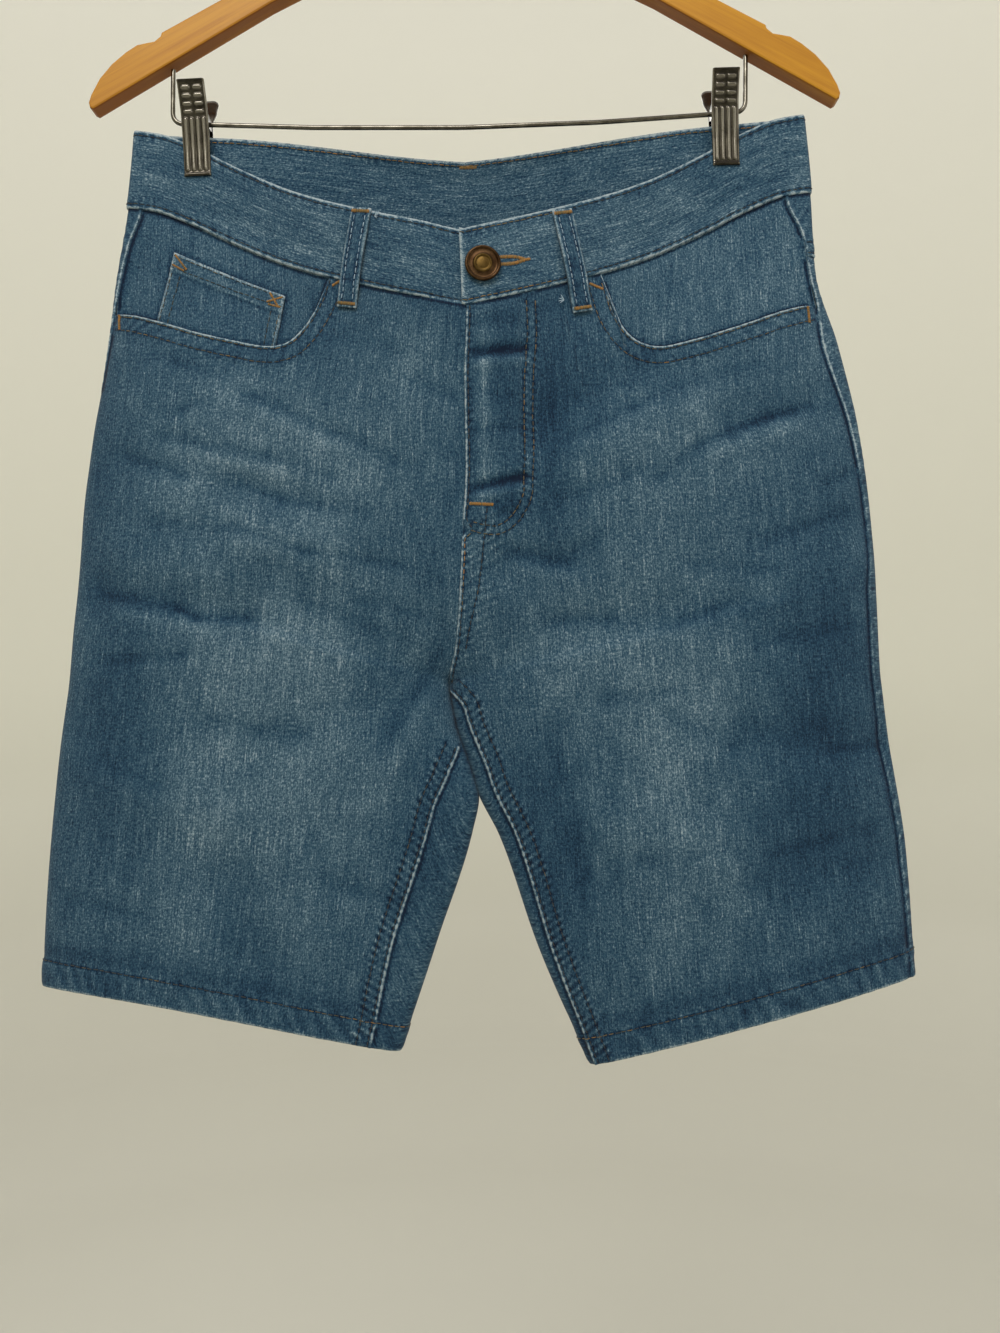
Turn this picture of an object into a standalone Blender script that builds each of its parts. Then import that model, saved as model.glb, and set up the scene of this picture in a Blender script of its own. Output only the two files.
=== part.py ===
"""Denim shorts held by two steel clips on a wooden hanger, at real size.

Metres, +Z up. The origin is where the hook bears on its rail, the front of the shorts
faces -Y, and left and right are those of someone who faces that front.

The cloth is read from one skin. A place on it is (side, place, level): place runs round
a half from the outer fold (0) over the front to the inner edge (1), or over the back to
it (-1), and on past -1 where a back panel wraps a leg's inner fold. Level runs from the
waistband's seam (0) down to the hem (1), and up to the waistband's top edge (BAND_TOP).
"""

import math
from collections import namedtuple

import bmesh
import bpy
import numpy as np

# ---------------------------------------------------------------- driving sizes
GAP = 0.0003
LAID_ON = 0.0008
PANEL_WALL = 0.0015
BAND_PROUD = 0.0009
BAND_WALL = 0.0025
HEM_PROUD = 0.0005
HEM_WALL = 0.0027
HEM_LEVEL = 0.964
BAND_TOP = -0.10
FORK = 0.497
CLOSE_START = 0.33
NOSE = 0.12
NOSE_DEPTH = 0.0029
FULLNESS = 0.85
CENTRE_GAP = 0.0002
NUDGE_SLACK = 0.00003
SEAM_LEVEL_GAP = 0.0006
SPLIT_LEVEL = FORK - 0.04
WAIST_Z = -0.28
PANEL_FALL = 0.46
SIDE_NAMES = {-1: "left", 1: "right"}

# Each row is one section of a half, from the waistband's top to the hem. fold is its outer
# edge and inner its centre seam, or below the fork the inner fold of its leg.
Section = namedtuple("Section", "level fold_x fold_z inner_x front_z back_z")
LEFT_SECTIONS = (
    Section(-0.13, -0.1948, -0.1832, -0.0012, -0.2558, -0.1947),
    Section(-0.10, -0.1963, -0.1970, -0.0008, -0.2690, -0.2080),
    Section(0.00, -0.2014, -0.2430, 0.0004, -0.3130, -0.2525),
    Section(0.10, -0.2087, -0.2887, -0.0013, -0.3563, -0.3080),
    Section(0.20, -0.2140, -0.3344, -0.0011, -0.3995, -0.3635),
    Section(0.30, -0.2220, -0.3801, -0.0037, -0.4428, -0.4190),
    Section(0.40, -0.2279, -0.4258, -0.0066, -0.4860, -0.4745),
    Section(0.45, -0.2295, -0.4487, -0.0090, -0.5077, -0.5020),
    Section(0.497, -0.2314, -0.4701, -0.0132, -0.5280, -0.5280),
    Section(0.55, -0.2340, -0.4944, -0.0098, -0.5504, -0.5504),
    Section(0.62, -0.2368, -0.5263, 0.0000, -0.5801, -0.5801),
    Section(0.655, -0.2391, -0.5423, 0.0030, -0.5949, -0.5949),
    Section(0.70, -0.2419, -0.5629, -0.0008, -0.6140, -0.6140),
    Section(0.85, -0.2487, -0.6315, -0.0222, -0.6775, -0.6775),
    Section(1.00, -0.2527, -0.7000, -0.0442, -0.7410, -0.7410),
)
RIGHT_SECTIONS = (
    Section(-0.13, 0.2003, -0.1786, -0.0012, -0.2558, -0.1947),
    Section(-0.10, 0.2014, -0.1925, -0.0008, -0.2690, -0.2080),
    Section(0.00, 0.2053, -0.2390, 0.0004, -0.3130, -0.2525),
    Section(0.10, 0.2070, -0.2851, -0.0013, -0.3563, -0.3080),
    Section(0.20, 0.2194, -0.3312, -0.0011, -0.3995, -0.3635),
    Section(0.30, 0.2296, -0.3773, -0.0037, -0.4428, -0.4190),
    Section(0.40, 0.2354, -0.4234, -0.0066, -0.4860, -0.4745),
    Section(0.45, 0.2371, -0.4465, -0.0090, -0.5077, -0.5020),
    Section(0.497, 0.2383, -0.4681, -0.0132, -0.5280, -0.5280),
    Section(0.55, 0.2390, -0.4926, -0.0089, -0.5514, -0.5514),
    Section(0.62, 0.2399, -0.5248, 0.0012, -0.5823, -0.5823),
    Section(0.70, 0.2438, -0.5617, 0.0152, -0.6176, -0.6176),
    Section(0.85, 0.2529, -0.6309, 0.0376, -0.6838, -0.6838),
    Section(1.00, 0.2560, -0.7000, 0.0658, -0.7500, -0.7500),
)

# How deep the cloth bellies at each level; pinch is how far the clips hold it flat.
Belly = namedtuple("Belly", "level mid_y front back pinch")
BELLIES = (
    Belly(-0.10, 0.0000, 0.0300, 0.0200, 1.00),
    Belly(-0.03, 0.0000, 0.0315, 0.0210, 1.00),
    Belly(0.00, 0.0000, 0.0320, 0.0215, 0.92),
    Belly(0.10, -0.0013, 0.0300, 0.0215, 0.55),
    Belly(0.20, -0.0026, 0.0280, 0.0215, 0.25),
    Belly(0.30, -0.0039, 0.0255, 0.0210, 0.08),
    Belly(0.40, -0.0052, 0.0225, 0.0200, 0.00),
    Belly(0.50, -0.0065, 0.0200, 0.0185, 0.00),
    Belly(0.70, -0.0091, 0.0165, 0.0155, 0.00),
    Belly(1.00, -0.0130, 0.0150, 0.0140, 0.00),
)
PINCH_REACH = 0.26

# How a row falls from the outer fold (0) to the inner edge (1).
FRONT_SAG = (
    (0.0, 0.08, 0.17, 0.33, 0.48, 0.65, 0.85, 1.0),
    (0.0, 0.035, 0.13, 0.35, 0.55, 0.73, 0.90, 1.0),
)
HEM_SAG_POWER = {-1: 1.25, 1: 0.98}
HEM_SAG_LEVEL = 0.6

# Where the side seam lies on the ring, and how far a leg's back panel wraps on to its front.
Seam = namedtuple("Seam", "level outseam wrap")
LEFT_SEAMS = (
    Seam(-0.10, 0.190, 0.000),
    Seam(0.00, 0.190, 0.000),
    Seam(0.05, 0.145, 0.000),
    Seam(0.15, 0.100, 0.000),
    Seam(0.25, 0.035, 0.000),
    Seam(0.497, -0.020, 0.000),
    Seam(0.57, -0.025, 0.045),
    Seam(0.62, -0.030, 0.150),
    Seam(0.68, -0.035, 0.205),
    Seam(0.85, -0.045, 0.210),
    Seam(1.00, -0.050, 0.185),
)
RIGHT_SEAMS = (
    Seam(-0.10, 0.250, 0.000),
    Seam(0.00, 0.250, 0.000),
    Seam(0.07, 0.155, 0.000),
    Seam(0.13, 0.140, 0.000),
    Seam(0.20, 0.205, 0.000),
    Seam(0.30, 0.158, 0.000),
    Seam(0.497, 0.107, 0.000),
    Seam(0.53, 0.107, 0.105),
    Seam(0.66, 0.105, 0.130),
    Seam(0.85, 0.097, 0.116),
    Seam(1.00, 0.090, 0.085),
)

# Pocket mouths, from the side seam to the waistband, as (x, z).
LEFT_MOUTH = (
    (-0.1937, -0.3099), (-0.1760, -0.3152), (-0.1566, -0.3214), (-0.1360, -0.3264), (-0.1170, -0.3305),
    (-0.1045, -0.3290), (-0.0965, -0.3225), (-0.0905, -0.3145), (-0.0850, -0.3040), (-0.0805, -0.2915),
)
RIGHT_MOUTH = (
    (0.1940, -0.3100), (0.1809, -0.3138), (0.1647, -0.3195), (0.1488, -0.3245), (0.1331, -0.3293),
    (0.1126, -0.3337), (0.0985, -0.3305), (0.0906, -0.3231), (0.0850, -0.3130), (0.0800, -0.2960),
)
MOUTH_OUTER_LEVEL = {-1: 0.142, 1: 0.152}

# The largest creases: a soft trough (depth under 0) or ridge between two points in XZ.
Crease = namedtuple("Crease", "x1 z1 x2 z2 reach depth")
FRONT_CREASES = (
    Crease(-0.205, -0.398, -0.165, -0.396, 0.013, -0.0014),
    Crease(-0.140, -0.411, -0.095, -0.421, 0.012, -0.0016),
    Crease(-0.132, -0.443, -0.080, -0.453, 0.013, 0.0016),
    Crease(-0.215, -0.475, -0.130, -0.489, 0.014, -0.0024),
    Crease(-0.200, -0.452, -0.150, -0.462, 0.014, 0.0014),
    Crease(-0.120, -0.560, -0.050, -0.535, 0.018, -0.0015),
    Crease(-0.205, -0.585, -0.150, -0.600, 0.018, 0.0016),
    Crease(-0.140, -0.640, -0.125, -0.690, 0.020, -0.0018),
    Crease(0.040, -0.378, 0.105, -0.345, 0.014, -0.0018),
    Crease(0.045, -0.408, 0.130, -0.372, 0.015, 0.0014),
    Crease(0.150, -0.378, 0.200, -0.366, 0.013, -0.0016),
    Crease(0.015, -0.461, 0.065, -0.457, 0.013, -0.0018),
    Crease(0.050, -0.492, 0.150, -0.488, 0.014, -0.0015),
    Crease(0.175, -0.470, 0.225, -0.458, 0.015, 0.0016),
    Crease(0.160, -0.560, 0.238, -0.567, 0.016, -0.0020),
    Crease(0.075, -0.610, 0.150, -0.630, 0.020, 0.0016),
    Crease(0.170, -0.640, 0.235, -0.632, 0.018, -0.0016),
)
BACK_CREASES = (
    Crease(-0.200, -0.470, -0.110, -0.492, 0.016, -0.0020),
    Crease(-0.120, -0.515, -0.040, -0.495, 0.016, 0.0018),
    Crease(-0.060, -0.545, -0.150, -0.560, 0.016, -0.0020),
    Crease(-0.210, -0.590, -0.140, -0.606, 0.018, 0.0016),
    Crease(0.055, -0.500, 0.150, -0.520, 0.016, -0.0020),
    Crease(0.215, -0.480, 0.130, -0.498, 0.016, 0.0018),
    Crease(0.060, -0.565, 0.140, -0.585, 0.017, -0.0018),
    Crease(0.240, -0.620, 0.160, -0.636, 0.018, -0.0018),
)

# Belt loops: the middle of the upper and lower end in XZ, and whether they are in front.
Loop = namedtuple("Loop", "name x_top z_top x_end z_end front")
LOOPS = (
    Loop("belt_loop_front_left", -0.0591, -0.2530, -0.0689, -0.3104, True),
    Loop("belt_loop_front_right", 0.0551, -0.2560, 0.0667, -0.3150, True),
    Loop("belt_loop_back_left", -0.1120, -0.2020, -0.1135, -0.2620, False),
    Loop("belt_loop_back_right", 0.1140, -0.2000, 0.1155, -0.2600, False),
    Loop("belt_loop_centre", 0.0085, -0.2075, 0.0085, -0.2685, False),
)
LOOP_WIDTH = 0.0115
LOOP_WALL = 0.0018
LOOP_ARCH = 0.0014
LOOP_STEP = (0.004, 0.022)

COIN_CORNERS = ((-0.1726, -0.2713), (-0.1065, -0.3000), (-0.1850, -0.3230), (-0.1140, -0.3390))
COIN_WALL = 0.001
FACING_RISE = {-1: -0.0033, 1: -0.0024}
FACING_END_PLACE = 0.775
FACING_FOOT_LEVELS = (0.175, 0.148)
# Back pockets: widths at top and foot, heights at the sides and at the point.
POCKET_TOP_Z = -0.338
POCKET_X = 0.098
POCKET_WIDTH = (0.146, 0.128)
POCKET_HEIGHT = (0.134, 0.152)
POCKET_DRIFT = 0.006
POCKET_SLANT = 0.004
# The strip behind the fly: its columns, and its foot's levels at the opening and outside.
SHIELD_COLUMNS = (-0.014, -0.006, -0.0012, 0.0012, 0.010, 0.019, 0.028, 0.034, 0.038)
SHIELD_FOOT_LEVELS = (0.285, 0.225)
SHIELD_CURVE = (0.008, 0.038)
# The waistband's places round a half, and where its end steps over the underlap.
BAND_PLACES = (0.86, 0.79, 0.73, 0.67, 0.61, 0.55, 0.49, 0.43, 0.36, 0.28, 0.20, 0.13, 0.08, 0.04, 0.0)
BAND_CENTRE_PLACES = (0.93, 0.94)
LAP_STEP = (-0.028, -0.006)
UNDERLAP_END = 0.038
OVERLAP_TIP = -0.0024
BUTTON_AT = (0.0097, -0.2901)
BUTTON_RADIUS = 0.0103

HOOK_WIRE = 0.0018
CROOK_RADIUS = 0.019
CROOK_ANGLES = (-58, 202)
NECK_Z = -0.0470
NECK_PULLS = (0.0045, 0.0060)
ARM_THICKNESS = 0.012
ARM_CREST_Z = -0.0500
ARM_EDGE = 0.0011
BAR_WIRE = 0.0014
# The upper outline of one arm from crest to tip, then the lower one back, as (x, z).
ARM_OUTLINE = (
    (0.0075, -0.0500), (0.0180, -0.0535), (0.0400, -0.0650), (0.1450, -0.1220), (0.1790, -0.1402),
    (0.1797, -0.1424), (0.1832, -0.1453), (0.1872, -0.1460), (0.1935, -0.1473), (0.2002, -0.1515),
    (0.2085, -0.1583), (0.2160, -0.1670), (0.2212, -0.1765), (0.2227, -0.1810), (0.2220, -0.1840),
    (0.2200, -0.1851), (0.1140, -0.1237), (0.0560, -0.0950), (0.0300, -0.0820), (0.0120, -0.0765),
)
# The bar, from the top of its left leg to that of its right one, as (x, z).
BAR_ROUTE = (
    (-0.1738, -0.1596), (-0.1746, -0.1916), (-0.0900, -0.1950), (0.0000, -0.1961),
    (0.0800, -0.1940), (0.1674, -0.1890), (0.1680, -0.1563),
)
BAR_BEND = 0.007
ClipPlace = namedtuple("ClipPlace", "name x tilt")
CLIPS = (ClipPlace("clip_left", -0.1600, -2.2), ClipPlace("clip_right", 0.1543, -0.8))
CLIP_WIDTH = 0.016
JAW_WALL = 0.001
EAR_HEIGHT = 0.0042
EAR_REACH = 0.0030
EAR_HOLE = BAR_WIRE + 0.0009
DRILL_OVERRUN = 0.002
SPRING_RADII = (BAR_WIRE + 0.0004, 0.0032)
# A jaw's inner face from the pivot, as (distance from the middle, height).
JAW_LINE = ((0.0110, 0.0207), (0.0054, 0.0020), (0.0047, -0.0080), (0.0043, -0.0185), (0.0043, -0.0330))


# ---------------------------------------------------------------- small helpers
class Line:
    """A smooth line through table values, which never overshoots them."""

    def __init__(self, keys, values):
        self.keys = np.array(keys, float)
        self.values = np.array(values, float)
        steps = np.diff(self.keys)
        rises = np.diff(self.values) / steps
        slopes = np.zeros(len(self.keys))
        slopes[0], slopes[-1] = rises[0], rises[-1]
        for i in range(1, len(rises)):
            if rises[i - 1] * rises[i] > 0:
                near, far = 2 * steps[i] + steps[i - 1], steps[i] + 2 * steps[i - 1]
                slopes[i] = (near + far) / (near / rises[i - 1] + far / rises[i])
        self.slopes = slopes

    def __call__(self, at):
        at = np.clip(at, self.keys[0], self.keys[-1])
        i = np.clip(np.searchsorted(self.keys, at) - 1, 0, len(self.keys) - 2)
        step = self.keys[i + 1] - self.keys[i]
        t = (at - self.keys[i]) / step
        return (
            self.values[i] * (1 + 2 * t) * (1 - t) ** 2
            + self.values[i + 1] * t * t * (3 - 2 * t)
            + step * self.slopes[i] * t * (1 - t) ** 2
            - step * self.slopes[i + 1] * t * t * (1 - t)
        )


def column(rows, name):
    """A Line of one named column over the level."""
    return Line([row.level for row in rows], [getattr(row, name) for row in rows])


def smooth(t):
    """0 to 1 with level ends."""
    t = np.clip(t, 0, 1)
    return t * t * (3 - 2 * t)


def mix(a, b, t):
    return a + (b - a) * t


def nose(q):
    """A quarter round that reaches 1 at NOSE."""
    return np.sqrt(1 - (1 - np.clip(q / NOSE, 0, 1)) ** 2)


# ---------------------------------------------------------------- the skin
MID_Y = column(BELLIES, "mid_y")
PINCH = column(BELLIES, "pinch")
BELLY_FRONT = column(BELLIES, "front")
BELLY_BACK = column(BELLIES, "back")
SAG_FRONT = Line(*FRONT_SAG)


def closure(level):
    """0 where a half is open at its centre seam, 1 where it is a leg's whole ring."""
    s = np.clip((level - CLOSE_START) / (FORK - CLOSE_START), 0, 1)
    return 1 - np.sqrt(1 - s * s)


def creased(x, z, front):
    """How far the largest creases move the cloth out at a place."""
    out = np.zeros_like(x)
    for rows, mask in ((FRONT_CREASES, front), (BACK_CREASES, ~front)):
        for c in rows:
            along_x, along_z = c.x2 - c.x1, c.z2 - c.z1
            t = ((x - c.x1) * along_x + (z - c.z1) * along_z) / (along_x**2 + along_z**2)
            near = np.clip(t, 0, 1)
            away2 = (x - c.x1 - near * along_x) ** 2 + (z - c.z1 - near * along_z) ** 2
            out += mask * c.depth * np.exp(-away2 / c.reach**2)
    return out


class Half:
    """One half of the garment's skin, side -1 on the left and 1 on the right."""

    def __init__(self, side, sections, seams, mouth):
        self.side = side
        self.fold_x = column(sections, "fold_x")
        self.fold_z = column(sections, "fold_z")
        self.inner_x_line = column(sections, "inner_x")
        self.front_z = column(sections, "front_z")
        self.back_z = column(sections, "back_z")
        self.outseam = column(seams, "outseam")
        self.wrap = column(seams, "wrap")
        self.mouth = mouth

    def inner_x(self, level):
        return self.inner_x_line(level) + self.side * CENTRE_GAP

    def fraction(self, q, level):
        """How far across its width a ring place lies, from fold to inner edge."""
        c = closure(level)
        return (1 - c) * (1 - np.cos(math.pi * q / 2)) + c * (1 - np.cos(math.pi * q)) / 2

    def ring_place(self, fraction, level):
        """The ring place at a fraction of the width, by halving."""
        low, high = np.zeros_like(fraction), np.ones_like(fraction)
        for _ in range(34):
            middle = (low + high) / 2
            short = self.fraction(middle, level) < fraction
            low, high = np.where(short, middle, low), np.where(short, high, middle)
        return (low + high) / 2

    def bare(self, place, level):
        """Points of the skin before its creases."""
        place, level = np.broadcast_arrays(np.asarray(place, float), np.asarray(level, float))
        open_ring = level < FORK
        place = np.where(open_ring, np.clip(place, -1, 1), place)
        place = np.where(place < -1, place + 2, np.where(place > 1, place - 2, place))
        q, front = np.abs(place), place >= 0
        c, f = closure(level), self.fraction(q, level)
        belly = np.where(front, BELLY_FRONT(level), BELLY_BACK(level))
        round_out = (1 - c) * np.sin(math.pi * q / 2) ** FULLNESS
        round_out = round_out + c * np.sin(math.pi * np.clip(q, 0, 1)) ** FULLNESS
        pinched = smooth((f - PINCH_REACH) / (1 - PINCH_REACH))
        body = mix(round_out, pinched, PINCH(level))
        depth = NOSE_DEPTH * nose(q) * mix(1, nose(1 - q), c) + (belly - NOSE_DEPTH) * body
        sag_top = np.where(front, SAG_FRONT(f), f)
        sag = mix(sag_top, f ** HEM_SAG_POWER[self.side], smooth(level / HEM_SAG_LEVEL))
        inner_z = np.where(front, self.front_z(level), self.back_z(level))
        fold_x, fold_z = self.fold_x(level), self.fold_z(level)
        x = fold_x + (self.inner_x(level) - fold_x) * f
        y = MID_Y(level) + np.where(front, -depth, depth)
        z = mix(fold_z, inner_z, sag)
        return np.stack([x, y, z], axis=-1)

    def normal(self, place, level):
        step_p, step_l = 0.006, 0.006
        dp = self.bare(place + step_p, level) - self.bare(place - step_p, level)
        dl = self.bare(place, level + step_l) - self.bare(place, level - step_l)
        n = -self.side * np.cross(dl, dp)
        return n / np.maximum(np.linalg.norm(n, axis=-1, keepdims=True), 1e-12)

    def point(self, place, level, out=0.0):
        """Points of the creased skin, moved out along its normal."""
        place, level = np.broadcast_arrays(np.asarray(place, float), np.asarray(level, float))
        at = self.bare(place, level)
        wrapped = np.where(place < -1, place + 2, place)
        fade = smooth(wrapped / 0.1) * smooth((1 - np.abs(wrapped)) / 0.08)
        fade = np.where(wrapped < 0, smooth(-wrapped / 0.1) * smooth((1 + wrapped) / 0.08), fade)
        push = creased(at[..., 0], at[..., 2], wrapped >= 0) * fade
        return at + self.normal(place, level) * (push + out)[..., None]

    def locate(self, x, z, front=True):
        """(place, level) of the points of one face that lie at x and z."""
        x, z = np.asarray(x, float), np.asarray(z, float)
        level = np.clip((WAIST_Z - z) / PANEL_FALL, -0.09, 0.99)
        for _ in range(24):
            width = self.inner_x(level) - self.fold_x(level)
            q = self.ring_place(np.clip((x - self.fold_x(level)) / width, 0, 1), level)
            place = q if front else -q
            miss = self.bare(place, level)[..., 2] - z
            level = np.clip(level + miss / PANEL_FALL, -0.12, 1.02)
        return place, level

    def nudge(self, place, level, way):
        """A place moved along the ring by half a gap, towards way."""
        step = 0.002
        run = self.bare(place + step, level) - self.bare(place - step, level)
        speed = np.linalg.norm(run, axis=-1) / (2 * step)
        return place + way * (GAP / 2 + NUDGE_SLACK) / np.maximum(speed, 0.01)


LEFT = Half(-1, LEFT_SECTIONS, LEFT_SEAMS, LEFT_MOUTH)
RIGHT = Half(1, RIGHT_SECTIONS, RIGHT_SEAMS, RIGHT_MOUTH)
HALVES = (LEFT, RIGHT)


# ---------------------------------------------------------------- making objects
def clear_scene():
    for obj in list(bpy.data.objects):
        bpy.data.objects.remove(obj, do_unlink=True)


def material(name, colour, roughness, metallic=0.0):
    """A Principled material of one colour."""
    made = bpy.data.materials.new(name)
    made.use_nodes = True
    shader = made.node_tree.nodes["Principled BSDF"]
    shader.inputs["Base Color"].default_value = (*colour, 1.0)
    shader.inputs["Roughness"].default_value = roughness
    shader.inputs["Metallic"].default_value = metallic
    made.diffuse_color = (*colour, 1.0)
    return made


def link(name, data, mat):
    obj = bpy.data.objects.new(name, data)
    bpy.context.scene.collection.objects.link(obj)
    data.materials.append(mat)
    return obj


def mesh_object(name, points, faces, mat, smooth_angle=50):
    """A closed mesh object with its faces turned out."""
    mesh = bpy.data.meshes.new(name)
    mesh.from_pydata([tuple(map(float, p)) for p in points], [], faces)
    work = bmesh.new()
    work.from_mesh(mesh)
    bmesh.ops.recalc_face_normals(work, faces=work.faces)
    if work.calc_volume(signed=True) < 0:
        bmesh.ops.reverse_faces(work, faces=work.faces)
    work.to_mesh(mesh)
    work.free()
    mesh.shade_smooth()
    mesh.set_sharp_from_angle(angle=math.radians(smooth_angle))
    return link(name, mesh, mat)


def wall(name, outer, inner, mat):
    """A closed wall between two grids of points with the same rows and columns."""
    rows, cols = outer.shape[:2]
    points = np.concatenate([outer.reshape(-1, 3), inner.reshape(-1, 3)])
    under = rows * cols
    faces = []
    for i in range(rows - 1):
        for j in range(cols - 1):
            a, b = i * cols + j, i * cols + j + 1
            c, d = b + cols, a + cols
            faces.append((a, b, c, d))
            faces.append((a + under, d + under, c + under, b + under))
    rim = list(range(cols))
    rim += [i * cols + cols - 1 for i in range(1, rows)]
    rim += [(rows - 1) * cols + j for j in range(cols - 2, -1, -1)]
    rim += [i * cols for i in range(rows - 2, 0, -1)]
    for k, a in enumerate(rim):
        b = rim[(k + 1) % len(rim)]
        faces.append((a, a + under, b + under, b))
    return mesh_object(name, points, faces, mat)


def sheet(name, half, place, level, out, thick, mat):
    """A wall on the skin of one half; out is its outer face's height above the skin."""
    outer = half.point(place, level, out + np.zeros_like(level))
    inner = half.point(place, level, out - thick + np.zeros_like(level))
    return wall(name, outer, inner, mat)


# ---------------------------------------------------------------- panels
PANEL_LEVELS = np.array([
    0.16, 0.19, 0.225, 0.26, 0.30, 0.34, 0.375, 0.41, 0.44, 0.465, 0.484, 0.497, 0.512, 0.535, 0.565,
    0.60, 0.635, 0.67, 0.705, 0.74, 0.775, 0.81, 0.85, 0.89, 0.93, 0.962, 0.966, 1.0,
])
FRONT_TOP_ROWS = 5
BACK_TOP_ROWS = 3
FRONT_INNER_COLUMNS = 6
BACK_COLUMNS = 20
YOKE_ROWS = 4
FACING_GRID = (9, 6)
COIN_GRID = (6, 5)
POCKET_GRID = (7, 6)
LOOP_GRID = (3, 9)
SHIELD_ROWS = 8
BAND_ROWS = 4
YOKE_LEVELS = (0.066, 0.105)


def hem_offsets(level):
    """(height above the skin, wall) of a panel, which its folded hem makes thicker."""
    hem = level > HEM_LEVEL
    return np.where(hem, HEM_PROUD, 0.0), np.where(hem, HEM_WALL, PANEL_WALL)


def front_end(half, level):
    """The ring place of a front panel's inner edge."""
    return 1 - half.wrap(level)


def back_end(half, level):
    """The ring place of a back panel's inner edge, past -1 where it wraps a leg."""
    return -1 - half.wrap(level)


def mouth_line(half):
    """The pocket mouth as shares of the panel's width and levels, from the side seam in."""
    x, z = np.array(half.mouth).T
    place, level = half.locate(x, z)
    share = (place - half.outseam(level)) / (1 - half.outseam(level))
    return np.concatenate([[0.0], share]), np.concatenate([[MOUTH_OUTER_LEVEL[half.side]], level])


def build_front(half, mat):
    share, mouth_level = mouth_line(half)
    mouth_level[-1] = SEAM_LEVEL_GAP
    rest = np.linspace(share[-1], 1, FRONT_INNER_COLUMNS + 1)[1:]
    share = np.concatenate([share, rest])
    top = np.concatenate([mouth_level, np.full(FRONT_INNER_COLUMNS, SEAM_LEVEL_GAP)])
    down = np.linspace(0, 1, FRONT_TOP_ROWS, endpoint=False)[:, None]
    first = mix(top[None, :], PANEL_LEVELS[0], down)
    level = np.vstack([first, np.repeat(PANEL_LEVELS[:, None], len(share), 1)])
    start = half.nudge(half.outseam(level), level, 1)
    end = np.minimum(half.nudge(front_end(half, level), level, -1), 1)
    end = np.where(level < SPLIT_LEVEL, 1.0, end)
    place = start + (end - start) * share[None, :]
    out, thick = hem_offsets(level)
    return sheet(f"front_{SIDE_NAMES[half.side]}", half, place, level, out, thick, mat)


def back_places(half, level):
    """Ring places across a back piece, from the side seam to its inner edge."""
    share = np.linspace(0, 1, BACK_COLUMNS)[None, :]
    start = half.nudge(half.outseam(level), level, -1)
    end = np.maximum(half.nudge(back_end(half, level), level, 1), -2)
    end = np.where(level < SPLIT_LEVEL, -1.0, end)
    return start + (end - start) * share


def yoke_seam():
    return np.linspace(YOKE_LEVELS[0], YOKE_LEVELS[1], BACK_COLUMNS)


def build_back(half, mat):
    top = yoke_seam() + SEAM_LEVEL_GAP / 2
    down = np.linspace(0, 1, BACK_TOP_ROWS, endpoint=False)[:, None]
    first = mix(top[None, :], PANEL_LEVELS[0], down)
    level = np.vstack([first, np.repeat(PANEL_LEVELS[:, None], BACK_COLUMNS, 1)])
    out, thick = hem_offsets(level)
    name = f"back_{SIDE_NAMES[half.side]}"
    return sheet(name, half, back_places(half, level), level, out, thick, mat)


def build_yoke(half, mat):
    down = np.linspace(0, 1, YOKE_ROWS)[:, None]
    level = mix(SEAM_LEVEL_GAP, (yoke_seam() - SEAM_LEVEL_GAP / 2)[None, :], down)
    name = f"yoke_{SIDE_NAMES[half.side]}"
    return sheet(name, half, back_places(half, level), level, 0.0, PANEL_WALL, mat)


# ---------------------------------------------------------------- pockets and fly
def build_facing(half, mat):
    """The cloth seen in a pocket mouth, tucked in under the front panel all round."""
    across, rows = FACING_GRID
    share = np.linspace(0, 1, across)[None, :]
    down = np.linspace(0, 1, rows)[:, None]
    level = mix(SEAM_LEVEL_GAP, mix(*FACING_FOOT_LEVELS, share), down)
    place = mix(half.nudge(half.outseam(level), level, 1), FACING_END_PLACE, share)
    name = f"pocket_facing_{SIDE_NAMES[half.side]}"
    return sheet(name, half, place, level, FACING_RISE[half.side], PANEL_WALL, mat)


def patch(half, corners, across, rows, front=True):
    """(place, level) grids over a four-cornered patch given in XZ."""
    top_a, top_b, end_a, end_b = (np.array(c) for c in corners)
    u = np.linspace(0, 1, across)[None, :, None]
    v = np.linspace(0, 1, rows)[:, None, None]
    flat = mix(mix(top_a, top_b, u), mix(end_a, end_b, u), v)
    return half.locate(flat[..., 0], flat[..., 1], front)


def build_coin_pocket(mat):
    place, level = patch(LEFT, COIN_CORNERS, *COIN_GRID)
    rise = FACING_RISE[-1] + GAP + COIN_WALL
    return sheet("coin_pocket", LEFT, place, level, rise, COIN_WALL, mat)


def build_back_pocket(half, mat):
    """A five-sided patch pocket, its point in the middle of its lower edge."""
    across, rows = POCKET_GRID
    u = np.linspace(-1, 1, across)[None, :]
    v = np.linspace(0, 1, rows)[:, None]
    width = mix(*POCKET_WIDTH, v)
    fall = mix(POCKET_HEIGHT[1], POCKET_HEIGHT[0], np.abs(u))
    x = half.side * (POCKET_X + POCKET_DRIFT * v) + u * width / 2
    z = POCKET_TOP_Z + POCKET_SLANT * half.side * u - v * fall
    place, level = half.locate(x, z, front=False)
    name = f"back_pocket_{SIDE_NAMES[half.side]}"
    return sheet(name, half, place, level, LAID_ON + PANEL_WALL, PANEL_WALL, mat)


def on_front(x, level, out):
    """Points of the front skin at x, on whichever half holds it."""
    half = LEFT if x < 0 else RIGHT
    width = half.inner_x(level) - half.fold_x(level)
    q = half.ring_place(np.clip((x - half.fold_x(level)) / width, 0, 1), level)
    return half.point(q, level, out)


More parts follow.
